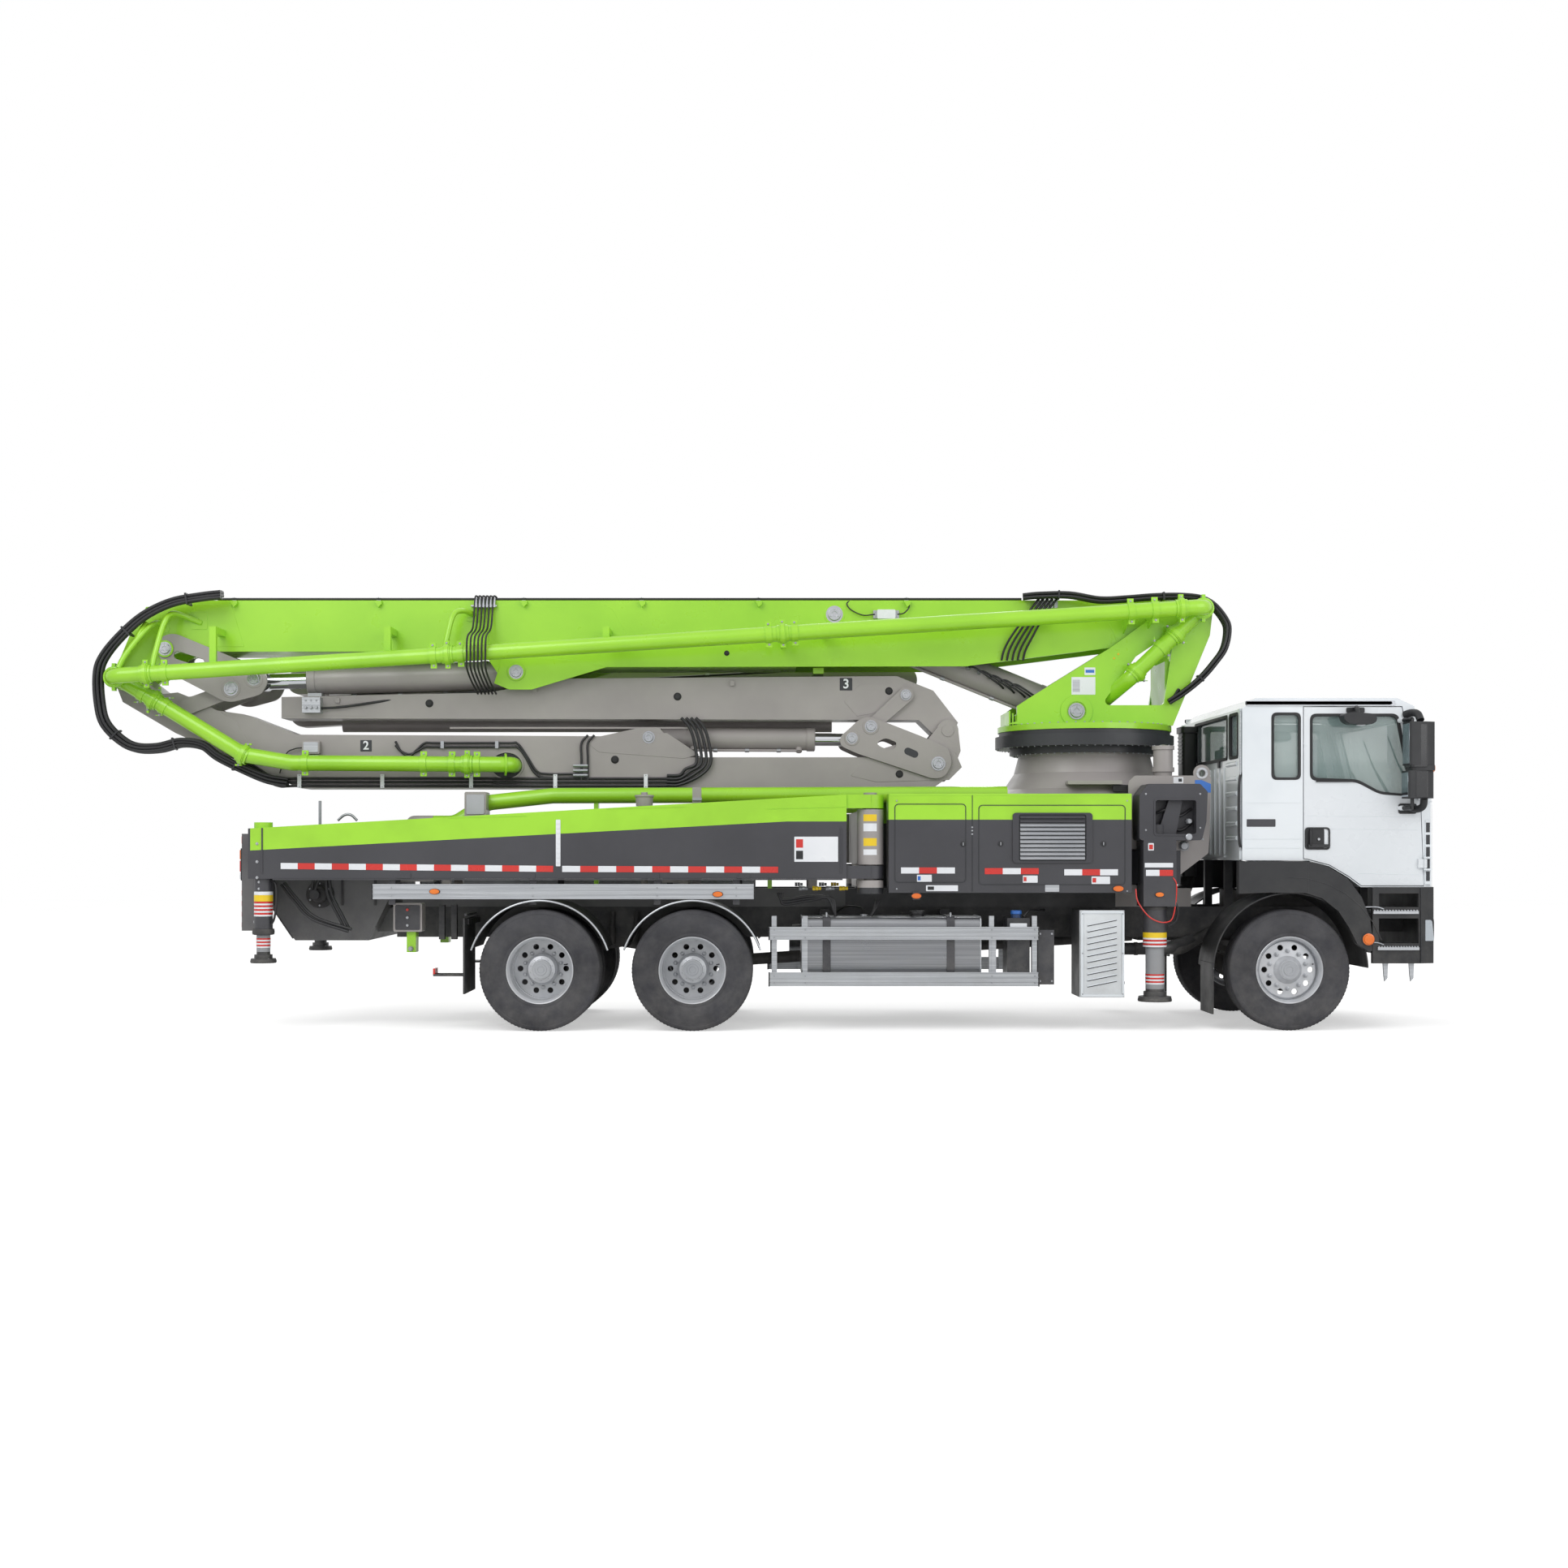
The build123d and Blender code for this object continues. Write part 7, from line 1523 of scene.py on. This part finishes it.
def back_wall():
    """Ribs, window seals, vent and air intake on the rear wall of the cab."""
    piece = Piece("cab_rear_trim")
    for y1, y2 in ((-1.05, -0.76), (-0.66, 0.62)):
        piece.frame(rounded(y1 - 0.018, y2 + 0.018, 2.422, 2.838, 0.04),
                    rounded(y1 + 0.010, y2 - 0.010, 2.45, 2.81, 0.03), 4.272, 4.300, "rubber", "x")
    for sign in (RIGHT, LEFT):
        y1, y2 = sorted((sign * 0.64, sign * 1.02))
        for z in (2.357, 2.225, 2.090, 1.955, 1.820, 1.690):
            piece.prism([(4.281, z), (4.266, z + 0.012), (4.266, z + 0.032), (4.281, z + 0.044)], y1, y2,
                        "white")
        piece.block((4.262, 4.281), (sign * 1.15, sign * 1.17), (1.52, 2.86), "white")
        piece.tube([(4.268, sign * 1.19, 1.60), (4.268, sign * 1.19, 2.84)], 0.008, "aluminium", 8)
    for i in range(7):
        y = -0.54 + 0.18 * i
        piece.prism([(y - 0.03, 1.56), (y + 0.03, 1.56), (y + 0.02, 2.36), (y - 0.02, 2.36)], 4.268, 4.281,
                    "white", "x")
    piece.box((4.262, -0.41, 2.364), (4.279, -0.35, 2.424), "plastic")
    piece.box((4.262, -0.60, 1.535), (4.281, 0.60, 1.555), "white")
    piece.prism(rounded(4.105, 4.245, 0.40, 0.62, 0.03), 1.35, 2.74, "plastic", "z")
    piece.prism(rounded(4.09, 4.262, 0.385, 0.635, 0.035), 2.74, 2.80, "plastic", "z")
    for i in range(8):
        z = 2.44 + 0.036 * i
        piece.box((4.101, 0.42, z), (4.106, 0.60, z + 0.018), "ring")
    piece.tube([(4.175, 0.51, 1.40), (4.17, 0.51, 1.30), (4.14, 0.48, 1.22), (4.05, 0.42, 1.18)], 0.065,
               "rubber", 20)
    piece.box((4.20, 0.46, 1.90), (4.281, 0.56, 1.94), "plastic")
    piece.make("base", "white", 0.0015)


def seats():
    """Cushions, backs and head rests on the two cab seats, and the belts."""
    piece = Piece("seat_cushions")
    for sign in (RIGHT, LEFT):
        middle = sign * 0.58
        for y1, y2, rise in ((-0.25, -0.19, 0.022), (-0.187, 0.187, 0.0), (0.19, 0.25, 0.022)):
            piece.prism(shaped([(4.66, 1.822), (4.66, 1.862 + rise), (5.03, 1.866 + rise),
                                (5.085, 1.835 + rise), (5.10, 1.79),
                                (5.078, 1.76)], 0.02), middle + y1, middle + y2, "seat")
            piece.prism(shaped([(4.69, 1.868), (4.583, 2.432), (4.60 + rise, 2.44), (4.64 + rise, 2.36),
                                (4.72 + rise, 1.92),
                                (4.735 + rise, 1.868)], 0.018), middle + y1, middle + y2, "seat")
        piece.prism(shaped([(4.555, 2.43), (4.54, 2.62), (4.60, 2.635), (4.645, 2.58), (4.65, 2.46),
                            (4.62, 2.43)], 0.02), middle - 0.15, middle + 0.15, "seat")
        piece.tube([(4.70, middle + sign * 0.275, 1.72), (4.72, middle + sign * 0.272, 1.80),
                    (4.72, middle + sign * 0.272, 1.85)], 0.012, "red", 8)
    piece.make("base", "seat_fabric", 0.012, segments=3)


front()
back_wall()
seats()


SHAFT_X, SHAFT_Z = -4.0, 1.20  # the agitator's shaft


def rear():
    """Grate, agitator, ribs, clean-out cover, bearings, tail lamps and marking bands of the hopper."""
    piece = Piece("hopper_trim")
    for i in range(13):
        y = -0.63 + 0.105 * i
        piece.box((-4.572, y - 0.005, 1.548), (-3.408, y + 0.005, 1.578), "frame")
    for x in (-4.565, -4.28, -4.0, -3.985, -3.70, -3.415):
        piece.box((x - 0.008, -0.672, 1.544), (x + 0.008, 0.672, 1.572), "frame")
    for y in (-0.42, 0.42):
        piece.rod((-3.39, y - 0.07, 1.575), (-3.39, y + 0.07, 1.575), 0.018, "cast", 14)
        piece.tube([(-4.50, y - 0.09, 1.575), (-4.50, y - 0.07, 1.61), (-4.50, y + 0.07, 1.61),
                    (-4.50, y + 0.09, 1.575)], 0.010, "zinc", 10)
    piece.rod((SHAFT_X, -0.73, SHAFT_Z), (SHAFT_X, 0.73, SHAFT_Z), 0.036, "cast", 24)
    for i, y in enumerate((-0.55, -0.40, -0.25, 0.25, 0.40, 0.55)):
        turn = radians(60 * i)
        tip = Vector((SHAFT_X + 0.27 * cos(turn), y + 0.05, SHAFT_Z + 0.27 * sin(turn)))
        piece.rod((SHAFT_X, y, SHAFT_Z), tip, 0.020, "cast", 12)
        across = Vector((-sin(turn), 0, cos(turn))) * 0.07
        piece.rod(tip - across, tip + across, 0.026, "cast", 12)
    for z in (1.50, 1.36):
        piece.box((-4.612, -0.69, z), (-4.598, 0.69, z + 0.025), "frame")
    for y in (-0.66, -0.22, 0.22, 0.66):
        piece.prism([(-4.598, 1.52), (-4.626, 1.49), (-4.626, 1.33), (-4.262, 0.795), (-4.236, 0.80),
                     (-4.598, 1.32)], y - 0.008, y + 0.008, "frame")
    middle, out = Vector((-4.36, 0, 0.97)), Vector((-0.825, 0, -0.565))
    piece.lathe([(-0.02, 0.15), (0.02, 0.15), (0.026, 0.143), (0.026, 0.11), (0.045, 0.10), (0.045, 0)],
                middle, out, "frame", 40)
    for i in range(8):
        turn = radians(45 * i)
        side, down = Vector((0, 1, 0)), Vector((0.565, 0, -0.825))
        piece.bolt(middle + out * 0.026 + side * 0.128 * cos(turn) + down * 0.128 * sin(turn), out, 0.016,
                   "zinc", False)
    for sign in (RIGHT, LEFT):
        piece.lathe([(0, 0.125), (0.022, 0.125), (0.028, 0.118), (0.028, 0.08), (0.085, 0.07), (0.10, 0.055),
                     (0.10, 0)], (SHAFT_X, sign * 0.69, SHAFT_Z), (0, sign, 0), "cast", 36)
        for i in range(6):
            turn = radians(60 * i + 30)
            piece.bolt((SHAFT_X + 0.10 * cos(turn), sign * 0.716, SHAFT_Z + 0.10 * sin(turn)), (0, sign, 0),
                       0.018,
                       "zinc", False)
        piece.rod((-4.02, sign * 0.79, 1.20), (-4.02, sign * 0.855, 1.20), 0.045, "frame", 20)
        piece.tube([(-4.02, sign * 0.84, 1.23), (-3.95, sign * 0.86, 1.36), (-3.75, sign * 0.84, 1.42),
                    (-3.42, sign * 0.72, 1.36)], 0.014, "hose", 10)
        piece.tube([(-4.05, sign * 0.84, 1.23), (-3.99, sign * 0.86, 1.40), (-3.77, sign * 0.84, 1.46),
                    (-3.42, sign * 0.70, 1.40)], 0.014, "hose", 10)
        for x in (-4.42, -3.80, -3.50):
            piece.skin([(x - 0.008, 1.53), (x + 0.008, 1.53), (x + 0.008, 1.10), (x - 0.008, 1.10)],
                       (sign * 0.688, sign * 0.716), "frame")
        low, high = sorted((sign * 0.905, sign * 0.975))
        piece.prism([(low, 0.90), (high, 0.90), (high, 1.30), (low, 1.30)], -4.642, -4.639, "label", "x")
        for i in range(4):
            z = 0.91 + 0.095 * i
            piece.prism([(low, z), (high, z + 0.03), (high, z + 0.075), (low, z + 0.045)], -4.6435, -4.6415,
                        "red", "x")
        piece.prism(rounded(low, high, 1.33, 1.62, 0.012), -4.652, -4.639, "plastic", "x")
        for z, tall, mat in ((1.345, 0.055, "label"), (1.41, 0.10, "red"), (1.52, 0.085, "amber")):
            piece.prism(rounded(low + 0.006, high - 0.006, z, z + tall, 0.008), -4.662, -4.650, mat, "x")
        piece.prism(rounded(low, high, 1.66, 1.73, 0.01), -4.644, -4.639, "red", "x")
        for z in (0.96, 1.66):
            piece.bolt((-4.52, sign * 0.98, z), (0, sign, 0), 0.022)
    piece.prism(rounded(-0.24, 0.24, 1.39, 1.48, 0.01), -4.642, -4.608, "frame", "x")
    piece.prism(rounded(-0.235, 0.235, 1.395, 1.475, 0.01), -4.646, -4.641, "zinc", "x")
    piece.make("base", "dark_grey", 0.001)


rear()


SLEW_X = 3.081  # the slewing axis
TURRET_Y = 0.3705  # outer faces of the turret's cheeks


def ring_of(piece, centre, radius, z, count, axis, size):
    """Bolts round a circle."""
    for k in range(count):
        turn = 2 * pi * (k + 0.5) / count
        piece.bolt((centre[0] + radius * cos(turn), centre[1] + radius * sin(turn), z), axis, size,
                   washer=False)


def turret_trim():
    """Bolt rings, pins, couplings, blank labels and hoses of turret, pedestal, pivot and lift cylinder."""
    piece = Piece("turret_trim")
    ring_of(piece, (SLEW_X, 0), 0.772, 2.765, 60, (0, 0, 1), 0.017)
    piece.lathe([(0, 0.806), (0.0, 0.812), (0.052, 0.812), (0.052, 0.806)], (SLEW_X, 0, 2.711), (0, 0, 1),
                "green", 96)
    for sign in (RIGHT, LEFT):
        pin_head(piece, LIFT_PIN, sign * TURRET_Y, sign, 0.060)
        if sign == LEFT:
            pin_head(piece, PIVOT, TURRET_Y, LEFT, 0.085)
        piece.lathe([(0, 0.150), (0.010, 0.148), (0.010, 0.09)], (LIFT_PIN[0], sign * 0.370, LIFT_PIN[1]),
                    (0, sign, 0), "green", 40)
        for x, z in ((3.339, 3.424), (3.300, 3.385)):
            piece.bolt((x, sign * 0.370, z), (0, sign, 0), 0.014, "yellow")
        piece.skin(shaped([(2.30, 2.775), (2.40, 2.80), (3.76, 2.80), (3.80, 2.775)], 0.01),
                   (sign * 0.369, sign * 0.374), "green")
    sticker(piece, 2.903, 3.125, 3.047, 3.211, -TURRET_Y, RIGHT,
            marks=[(0.05, 0.35, 0.15, 0.85, "aluminium")])
    sticker(piece, 3.024, 3.125, 3.229, 3.300, -TURRET_Y, RIGHT, marks=[(0.1, 0.9, 0.3, 0.7, "blue")])
    riser = ((3.440, -0.470, 3.200), (PIVOT[0], -0.470, PIVOT[1]))
    for x in (3.485, 3.847):
        coupling(piece, *at(riser, x), PIPE_R)
    saddle(piece, *at(riser, 3.718), PIPE_R, (0, 1, 0))
    for k in range(6):
        y = -0.30 + 0.05 * k
        piece.tube([(3.90, -0.39 + 0.012 * k, 3.10 - 0.012 * k), (3.82, -0.36 + 0.02 * k, 2.98 - 0.02 * k),
                    (3.70, y, 2.88), (3.55, y, 2.80), (3.42, y * 0.8, 2.785)], 0.0145, "hose", 10)
    piece.box((3.36, -0.34, 2.765), (3.50, 0.04, 2.83), "aluminium")
    for k in range(5):
        spool(piece, (3.43, -0.29 + 0.07 * k, 2.83), (0, 0, 1), 0.02, 0.05)
    for k in range(3):
        piece.box((2.33 + 0.03 * k, -0.31, 2.766), (2.345 + 0.03 * k, 0.31, 2.90 - 0.02 * k), "green")
    piece.make("turret", "boom_green", 0.001)

    below = Piece("pedestal_trim")
    ring_of(below, (SLEW_X, 0), 0.665, 2.499, 60, (0, 0, -1), 0.016)
    ring_of(below, (SLEW_X, 0), 0.818, 2.559, 72, (0, 0, -1), 0.012)
    for x, y in ((3.665, -0.795), (3.665, 0.795)):
        below.lathe([(0, 0.0), (0, 0.078), (0.05, 0.082), (0.05, 0.100), (0.09, 0.100), (0.09, 0.088),
                     (0.25, 0.088), (0.25, 0.10), (0.285, 0.10), (0.285, 0.06), (0.30, 0.0)],
                    (x, y, 2.262), (0, 0, 1), "grey", 32)
        ring_of(below, (x, y), 0.092, 2.547, 8, (0, 0, 1), 0.011)
        for k in range(3):
            spool(below, (x - 0.05 + 0.05 * k, y, 2.262), (0, 0, -1), 0.016, 0.04)
    below.prism(rounded(2.79, 3.28, 2.198, 2.232, 0.01), -0.875, -0.70, "grey")
    for k in range(5):
        below.tube([(3.62 + 0.025 * k, -0.80, 2.235), (3.60 + 0.03 * k, -0.81, 2.17),
                    (3.52 + 0.03 * k, -0.83, 2.125 + 0.01 * k), (3.40, -0.84, 2.13 + 0.012 * k),
                    (3.20, -0.84, 2.14 + 0.012 * k)], 0.012, "hose", 10)
    for sign in (RIGHT, LEFT):
        y = sign * 0.9055
        faces = sorted((y, y + sign * 0.0025))
        below.prism([(3.93, 2.122), (4.072, 2.122), (4.072, 2.20), (3.99, 2.235), (3.93, 2.235)], *faces,
                    "blue")
        below.lathe([(0, 0.032), (0.0, 0.052), (0.006, 0.052), (0.006, 0.032)], (3.992, y, 2.296),
                    (0, sign, 0), "aluminium", 32)
        sticker(below, 3.735, 3.825, 2.205, 2.262, y, sign, marks=[(0.5, 0.85, 0.25, 0.75, "plastic")])
        below.lathe([(0, 0.045), (0.012, 0.045), (0.016, 0.036), (0.03, 0.03), (0.03, 0)], (3.83, y, 1.64),
                    (0, sign, 0), "zinc", 28)
        for x, z in ((4.0, 1.70), (3.78, 1.45), (4.02, 1.95)):
            below.bolt((x, y, z), (0, sign, 0), 0.014)
    below.make("base", "boom_grey", 0.001)

    boom = Piece("pivot_fittings")
    for k in range(5):
        x = 2.60 + 0.042 * k
        boom.box((x - 0.016, -0.318, 3.86), (x + 0.016, -SKIN_1, 3.98), "zinc")
        spool(boom, (x, -0.318, 3.935), (0, -1, 0), 0.018, 0.045)
        boom.tube([(x, -0.36, 3.935), (x - 0.03, -0.375, 3.90), (x - 0.12, -0.37, 3.78),
                   (x - 0.26 + 0.008 * k, -0.35, 3.58), (x - 0.32 + 0.008 * k, -0.335, 3.46),
                   (x - 0.34 + 0.008 * k, -0.318, 3.37)], 0.011, "hose", 8)
    boom.make("boom_1", "black_plastic", 0.001)

    lift = Piece("lift_barrel_fittings_side")
    near, way = along(LIFT_PIN, LIFT_EYE, 0.62)
    for k in range(5):
        spot = near + way * (0.11 * k)
        spool(lift, (spot.x, -0.15, spot.z + 0.02), (0, -1, 0.2), 0.022, 0.06)
        lift.tube([(spot.x, -0.205, spot.z + 0.03), (spot.x + 0.05, -0.235, spot.z + 0.02),
                   (spot.x + 0.16, -0.235, spot.z - 0.05), (spot.x + 0.28, -0.205, spot.z - 0.13),
                   (spot.x + 0.33, -0.165, spot.z - 0.17)], 0.010, "hose", 8)
    lift.make("lift_barrel", "steel", 0.001)


turret_trim()


GUARD_R = 0.634  # rims of the rear mudguards


def deck():
    """Tread marks, control box, handles and pots on the deck, hoses and valves below it, mudguard rims."""
    piece = Piece("deck_trim")
    for i in range(28):
        for j in range(9):
            x, y, turn = -2.63 + 0.06 * i, -0.29 + 0.07 * j, 0.6 if (i + j) % 2 else -0.6
            dx, dy = 0.020 * cos(turn), 0.020 * sin(turn)
            piece.prism([(x - dx, y - dy), (x + 0.3 * dy, y - 0.3 * dx), (x + dx, y + dy),
                         (x - 0.3 * dy, y + 0.3 * dx)], 1.9, 1.9035, "zinc", "z")
    piece.prism(rounded(-2.682, -2.484, 1.905, 2.134, 0.015), -0.72, -0.48, "grey")
    piece.prism(rounded(-2.665, -2.50, 1.93, 2.11, 0.012), -0.727, -0.72, "zinc")
    piece.tube([(-3.862, -0.6, 1.875), (-3.80, -0.6, 1.925), (-3.74, -0.6, 1.925), (-3.684, -0.6, 1.875)],
               0.012, "zinc", 12)
    piece.rod((-4.02, -0.62, 1.56), (-4.02, -0.62, 2.055), 0.014, "zinc", 12)
    piece.lathe([(0, 0.0), (0, 0.075), (0.08, 0.080), (0.085, 0.088), (0.10, 0.088), (0.105, 0.03),
                 (0.125, 0.03), (0.125, 0)], (-1.035, -0.86, 2.0), (0, 0, 1), "grey", 32)
    piece.rod((-1.035, -0.86, 1.26), (-1.035, -0.86, 2.0), 0.03, "grey", 16)
    piece.box((-0.60, -0.90, 1.26), (-0.52, -0.84, 2.17), "grey")
    piece.box((-0.60, -0.92, 2.05), (-0.515, -0.83, 2.075), "zinc")
    piece.make("base", "boom_grey", 0.0015)

    below = Piece("underdeck_hoses")
    for sign in (RIGHT, LEFT):
        rows = [[(-4.289, 1.293), (-4.176, 1.149), (-4.012, 0.985), (-3.683, 0.872)],
                [(-3.889, 1.365), (-3.868, 1.19), (-3.766, 0.985), (-3.714, 0.882)]]
        for n, row in enumerate(rows):
            for k in range(2):
                below.tube([(x + 0.03 * k, sign * (0.98 - 0.02 * n), z + 0.02 * k) for x, z in row], 0.014,
                           "hose", 10)
        below.prism(rounded(-3.273, -3.016, 0.872, 1.129, 0.015), *sorted((sign * 0.84, sign * 1.02)), "grey")
        below.skin(rounded(-3.255, -3.034, 0.89, 1.111, 0.012), (sign * 1.02, sign * 1.026), "band")
        for z in (0.93, 1.0, 1.07):
            below.lathe([(0, 0.012), (0.012, 0.012), (0.012, 0)], (-3.145, sign * 1.026, z), (0, sign, 0),
                        "red" if z > 1.05
                        else "zinc", 16)
        below.block((-3.16, -3.078), (sign * 0.84, sign * 0.98), (0.687, 0.885), "green")
        spool(below, (-3.12, sign * 0.98, 0.72), (0, sign, 0), 0.024, 0.06)
        for x in (-2.88, -2.77):
            below.block((x, x + 0.05), (sign * 0.86, sign * 0.93), (0.80, 1.11), "frame")
        for x in (-1.36, -1.14):
            below.lathe([(0, 0.0), (0, 0.036), (0.16, 0.036), (0.16, 0.026), (0.30, 0.026), (0.30, 0)],
                        (x, sign * 0.50, 0.74), (0.05, 0, 1), "cast", 20)
        for k in range(3):
            below.tube([(0.17 + 0.02 * k, sign * 1.0, 1.22), (0.22, sign * 1.02, 1.16 - 0.02 * k),
                        (0.45, sign * 1.02, 1.19 - 0.02 * k), (0.62 + 0.02 * k, sign * 1.02, 1.17),
                        (0.70, sign * 1.02, 1.0 - 0.02 * k), (0.87, sign * 1.0, 0.95 - 0.02 * k),
                        (1.01, sign * 0.98, 1.02), (1.05 + 0.02 * k, sign * 0.95, 1.16)], 0.012, "hose", 10)
        for k in range(4):
            spool(below, (0.36 + 0.12 * k, sign * 1.0, 1.262), (1, 0, 0), 0.022, 0.08,
                  "yellow" if k % 2 else "zinc")
    below.tube([(0.86, -0.99, 0.95), (0.34, -0.99, 0.93), (0.33, -0.99, 0.92)], 0.010, "frame", 8)
    below.make("base", "black_plastic", 0.001)

    arcs = Piece("mudguard_rims")
    for sign in (RIGHT, LEFT):
        for x in (-0.59, -1.94):
            turns = [radians(a) for a in range(18, 163, 4)]
            arcs.tube(None, 0.009, "aluminium", 8,
                      line=[Vector((x + GUARD_R * cos(turn), sign * 1.2465,
                                    ARCH[1] + GUARD_R * sin(turn))) for turn in turns])
        arcs.block((-2.893, -2.604), (sign * 0.95, sign * 1.16), (0.482, 0.50), "frame")
        arcs.block((-2.90, -2.88), (sign * 0.98, sign * 1.13), (0.49, 0.55), "red")
        arcs.rod((-2.60, sign * 1.20, 1.03), (-2.60, sign * 0.62, 1.03), 0.012, "frame", 10)
    arcs.make("base", "aluminium", 0.0005)


deck()

# ------------------------------------------------------------------ camera, light and floor
def stage():
    """Camera at the truck's right side, soft studio light and a plain pale floor."""
    scene = bpy.context.scene
    lens = bpy.data.cameras.new("side_camera")
    lens.sensor_width, lens.lens, lens.clip_end = 36.0, 44.19, 300.0
    lens.shift_x, lens.shift_y = 0.0160, 0.0424
    camera = bpy.data.objects.new("side_camera", lens)
    scene.collection.objects.link(camera)
    camera.location, camera.rotation_euler = (0.0, -18.25, 1.6), (radians(90), 0.0, 0.0)
    scene.camera = camera
    for name, power, size, place, aim in (("key", 900, 9.0, (-7, -11, 11), (0, 0, 1.5)),
                                          ("fill", 420, 9.0, (10, -9, 7), (2, 0, 1.5)),
                                          ("back", 500, 9.0, (0, 12, 10), (0, 0, 2))):
        lamp = bpy.data.lights.new(name, "AREA")
        lamp.energy, lamp.size = power, size
        thing = bpy.data.objects.new(name, lamp)
        scene.collection.objects.link(thing)
        thing.location = place
        thing.rotation_euler = (Vector(aim) - Vector(place)).to_track_quat("-Z", "Y").to_euler()

    world = bpy.data.worlds.new("studio")
    scene.world = world
    world.use_nodes = True
    nodes, links = world.node_tree.nodes, world.node_tree.links
    path = nodes.new("ShaderNodeLightPath")
    seen = nodes.new("ShaderNodeMath")
    seen.operation = "MAXIMUM"
    links.new(path.outputs["Is Camera Ray"], seen.inputs[0])
    both = nodes.new("ShaderNodeMath")
    both.operation = "MAXIMUM"
    links.new(path.outputs["Is Glossy Ray"], both.inputs[0])
    links.new(path.outputs["Is Transmission Ray"], both.inputs[1])
    links.new(both.outputs[0], seen.inputs[1])
    level = nodes.new("ShaderNodeMapRange")
    level.inputs["To Min"].default_value, level.inputs["To Max"].default_value = 0.62, 1.0
    links.new(seen.outputs[0], level.inputs["Value"])
    links.new(level.outputs[0], nodes["Background"].inputs["Strength"])
    nodes["Background"].inputs["Color"].default_value = (1.0, 1.0, 1.0, 1.0)

    ground = Piece("studio_floor")
    ground.add([(-45, -45, 0), (45, -45, 0), (45, 45, 0), (-45, 45, 0)], [(0, 1, 2, 3)], "label")
    floor = ground.make(None, None)
    floor.data.materials.clear()
    tree = Tree("pale_floor")
    tone = tree.mix(tree.noise(0.6), rgb(236, 236, 236), rgb(242, 242, 242))
    base = tree.put("BsdfDiffuse", {"Color": tone})
    glow = tree.put("Emission", {"Color": (1, 1, 1, 1), "Strength": tree.span(
        tree.put("LightPath").outputs["Is Camera Ray"], 0.0, 1.0, 0.0, 0.46)})
    both = tree.put("AddShader", {0: base.outputs[0], 1: glow.outputs[0]})
    tree.links.new(both.outputs[0], tree.output.inputs["Surface"])
    floor.data.materials.append(tree.material)
    scene.view_settings.view_transform = "Standard"


stage()
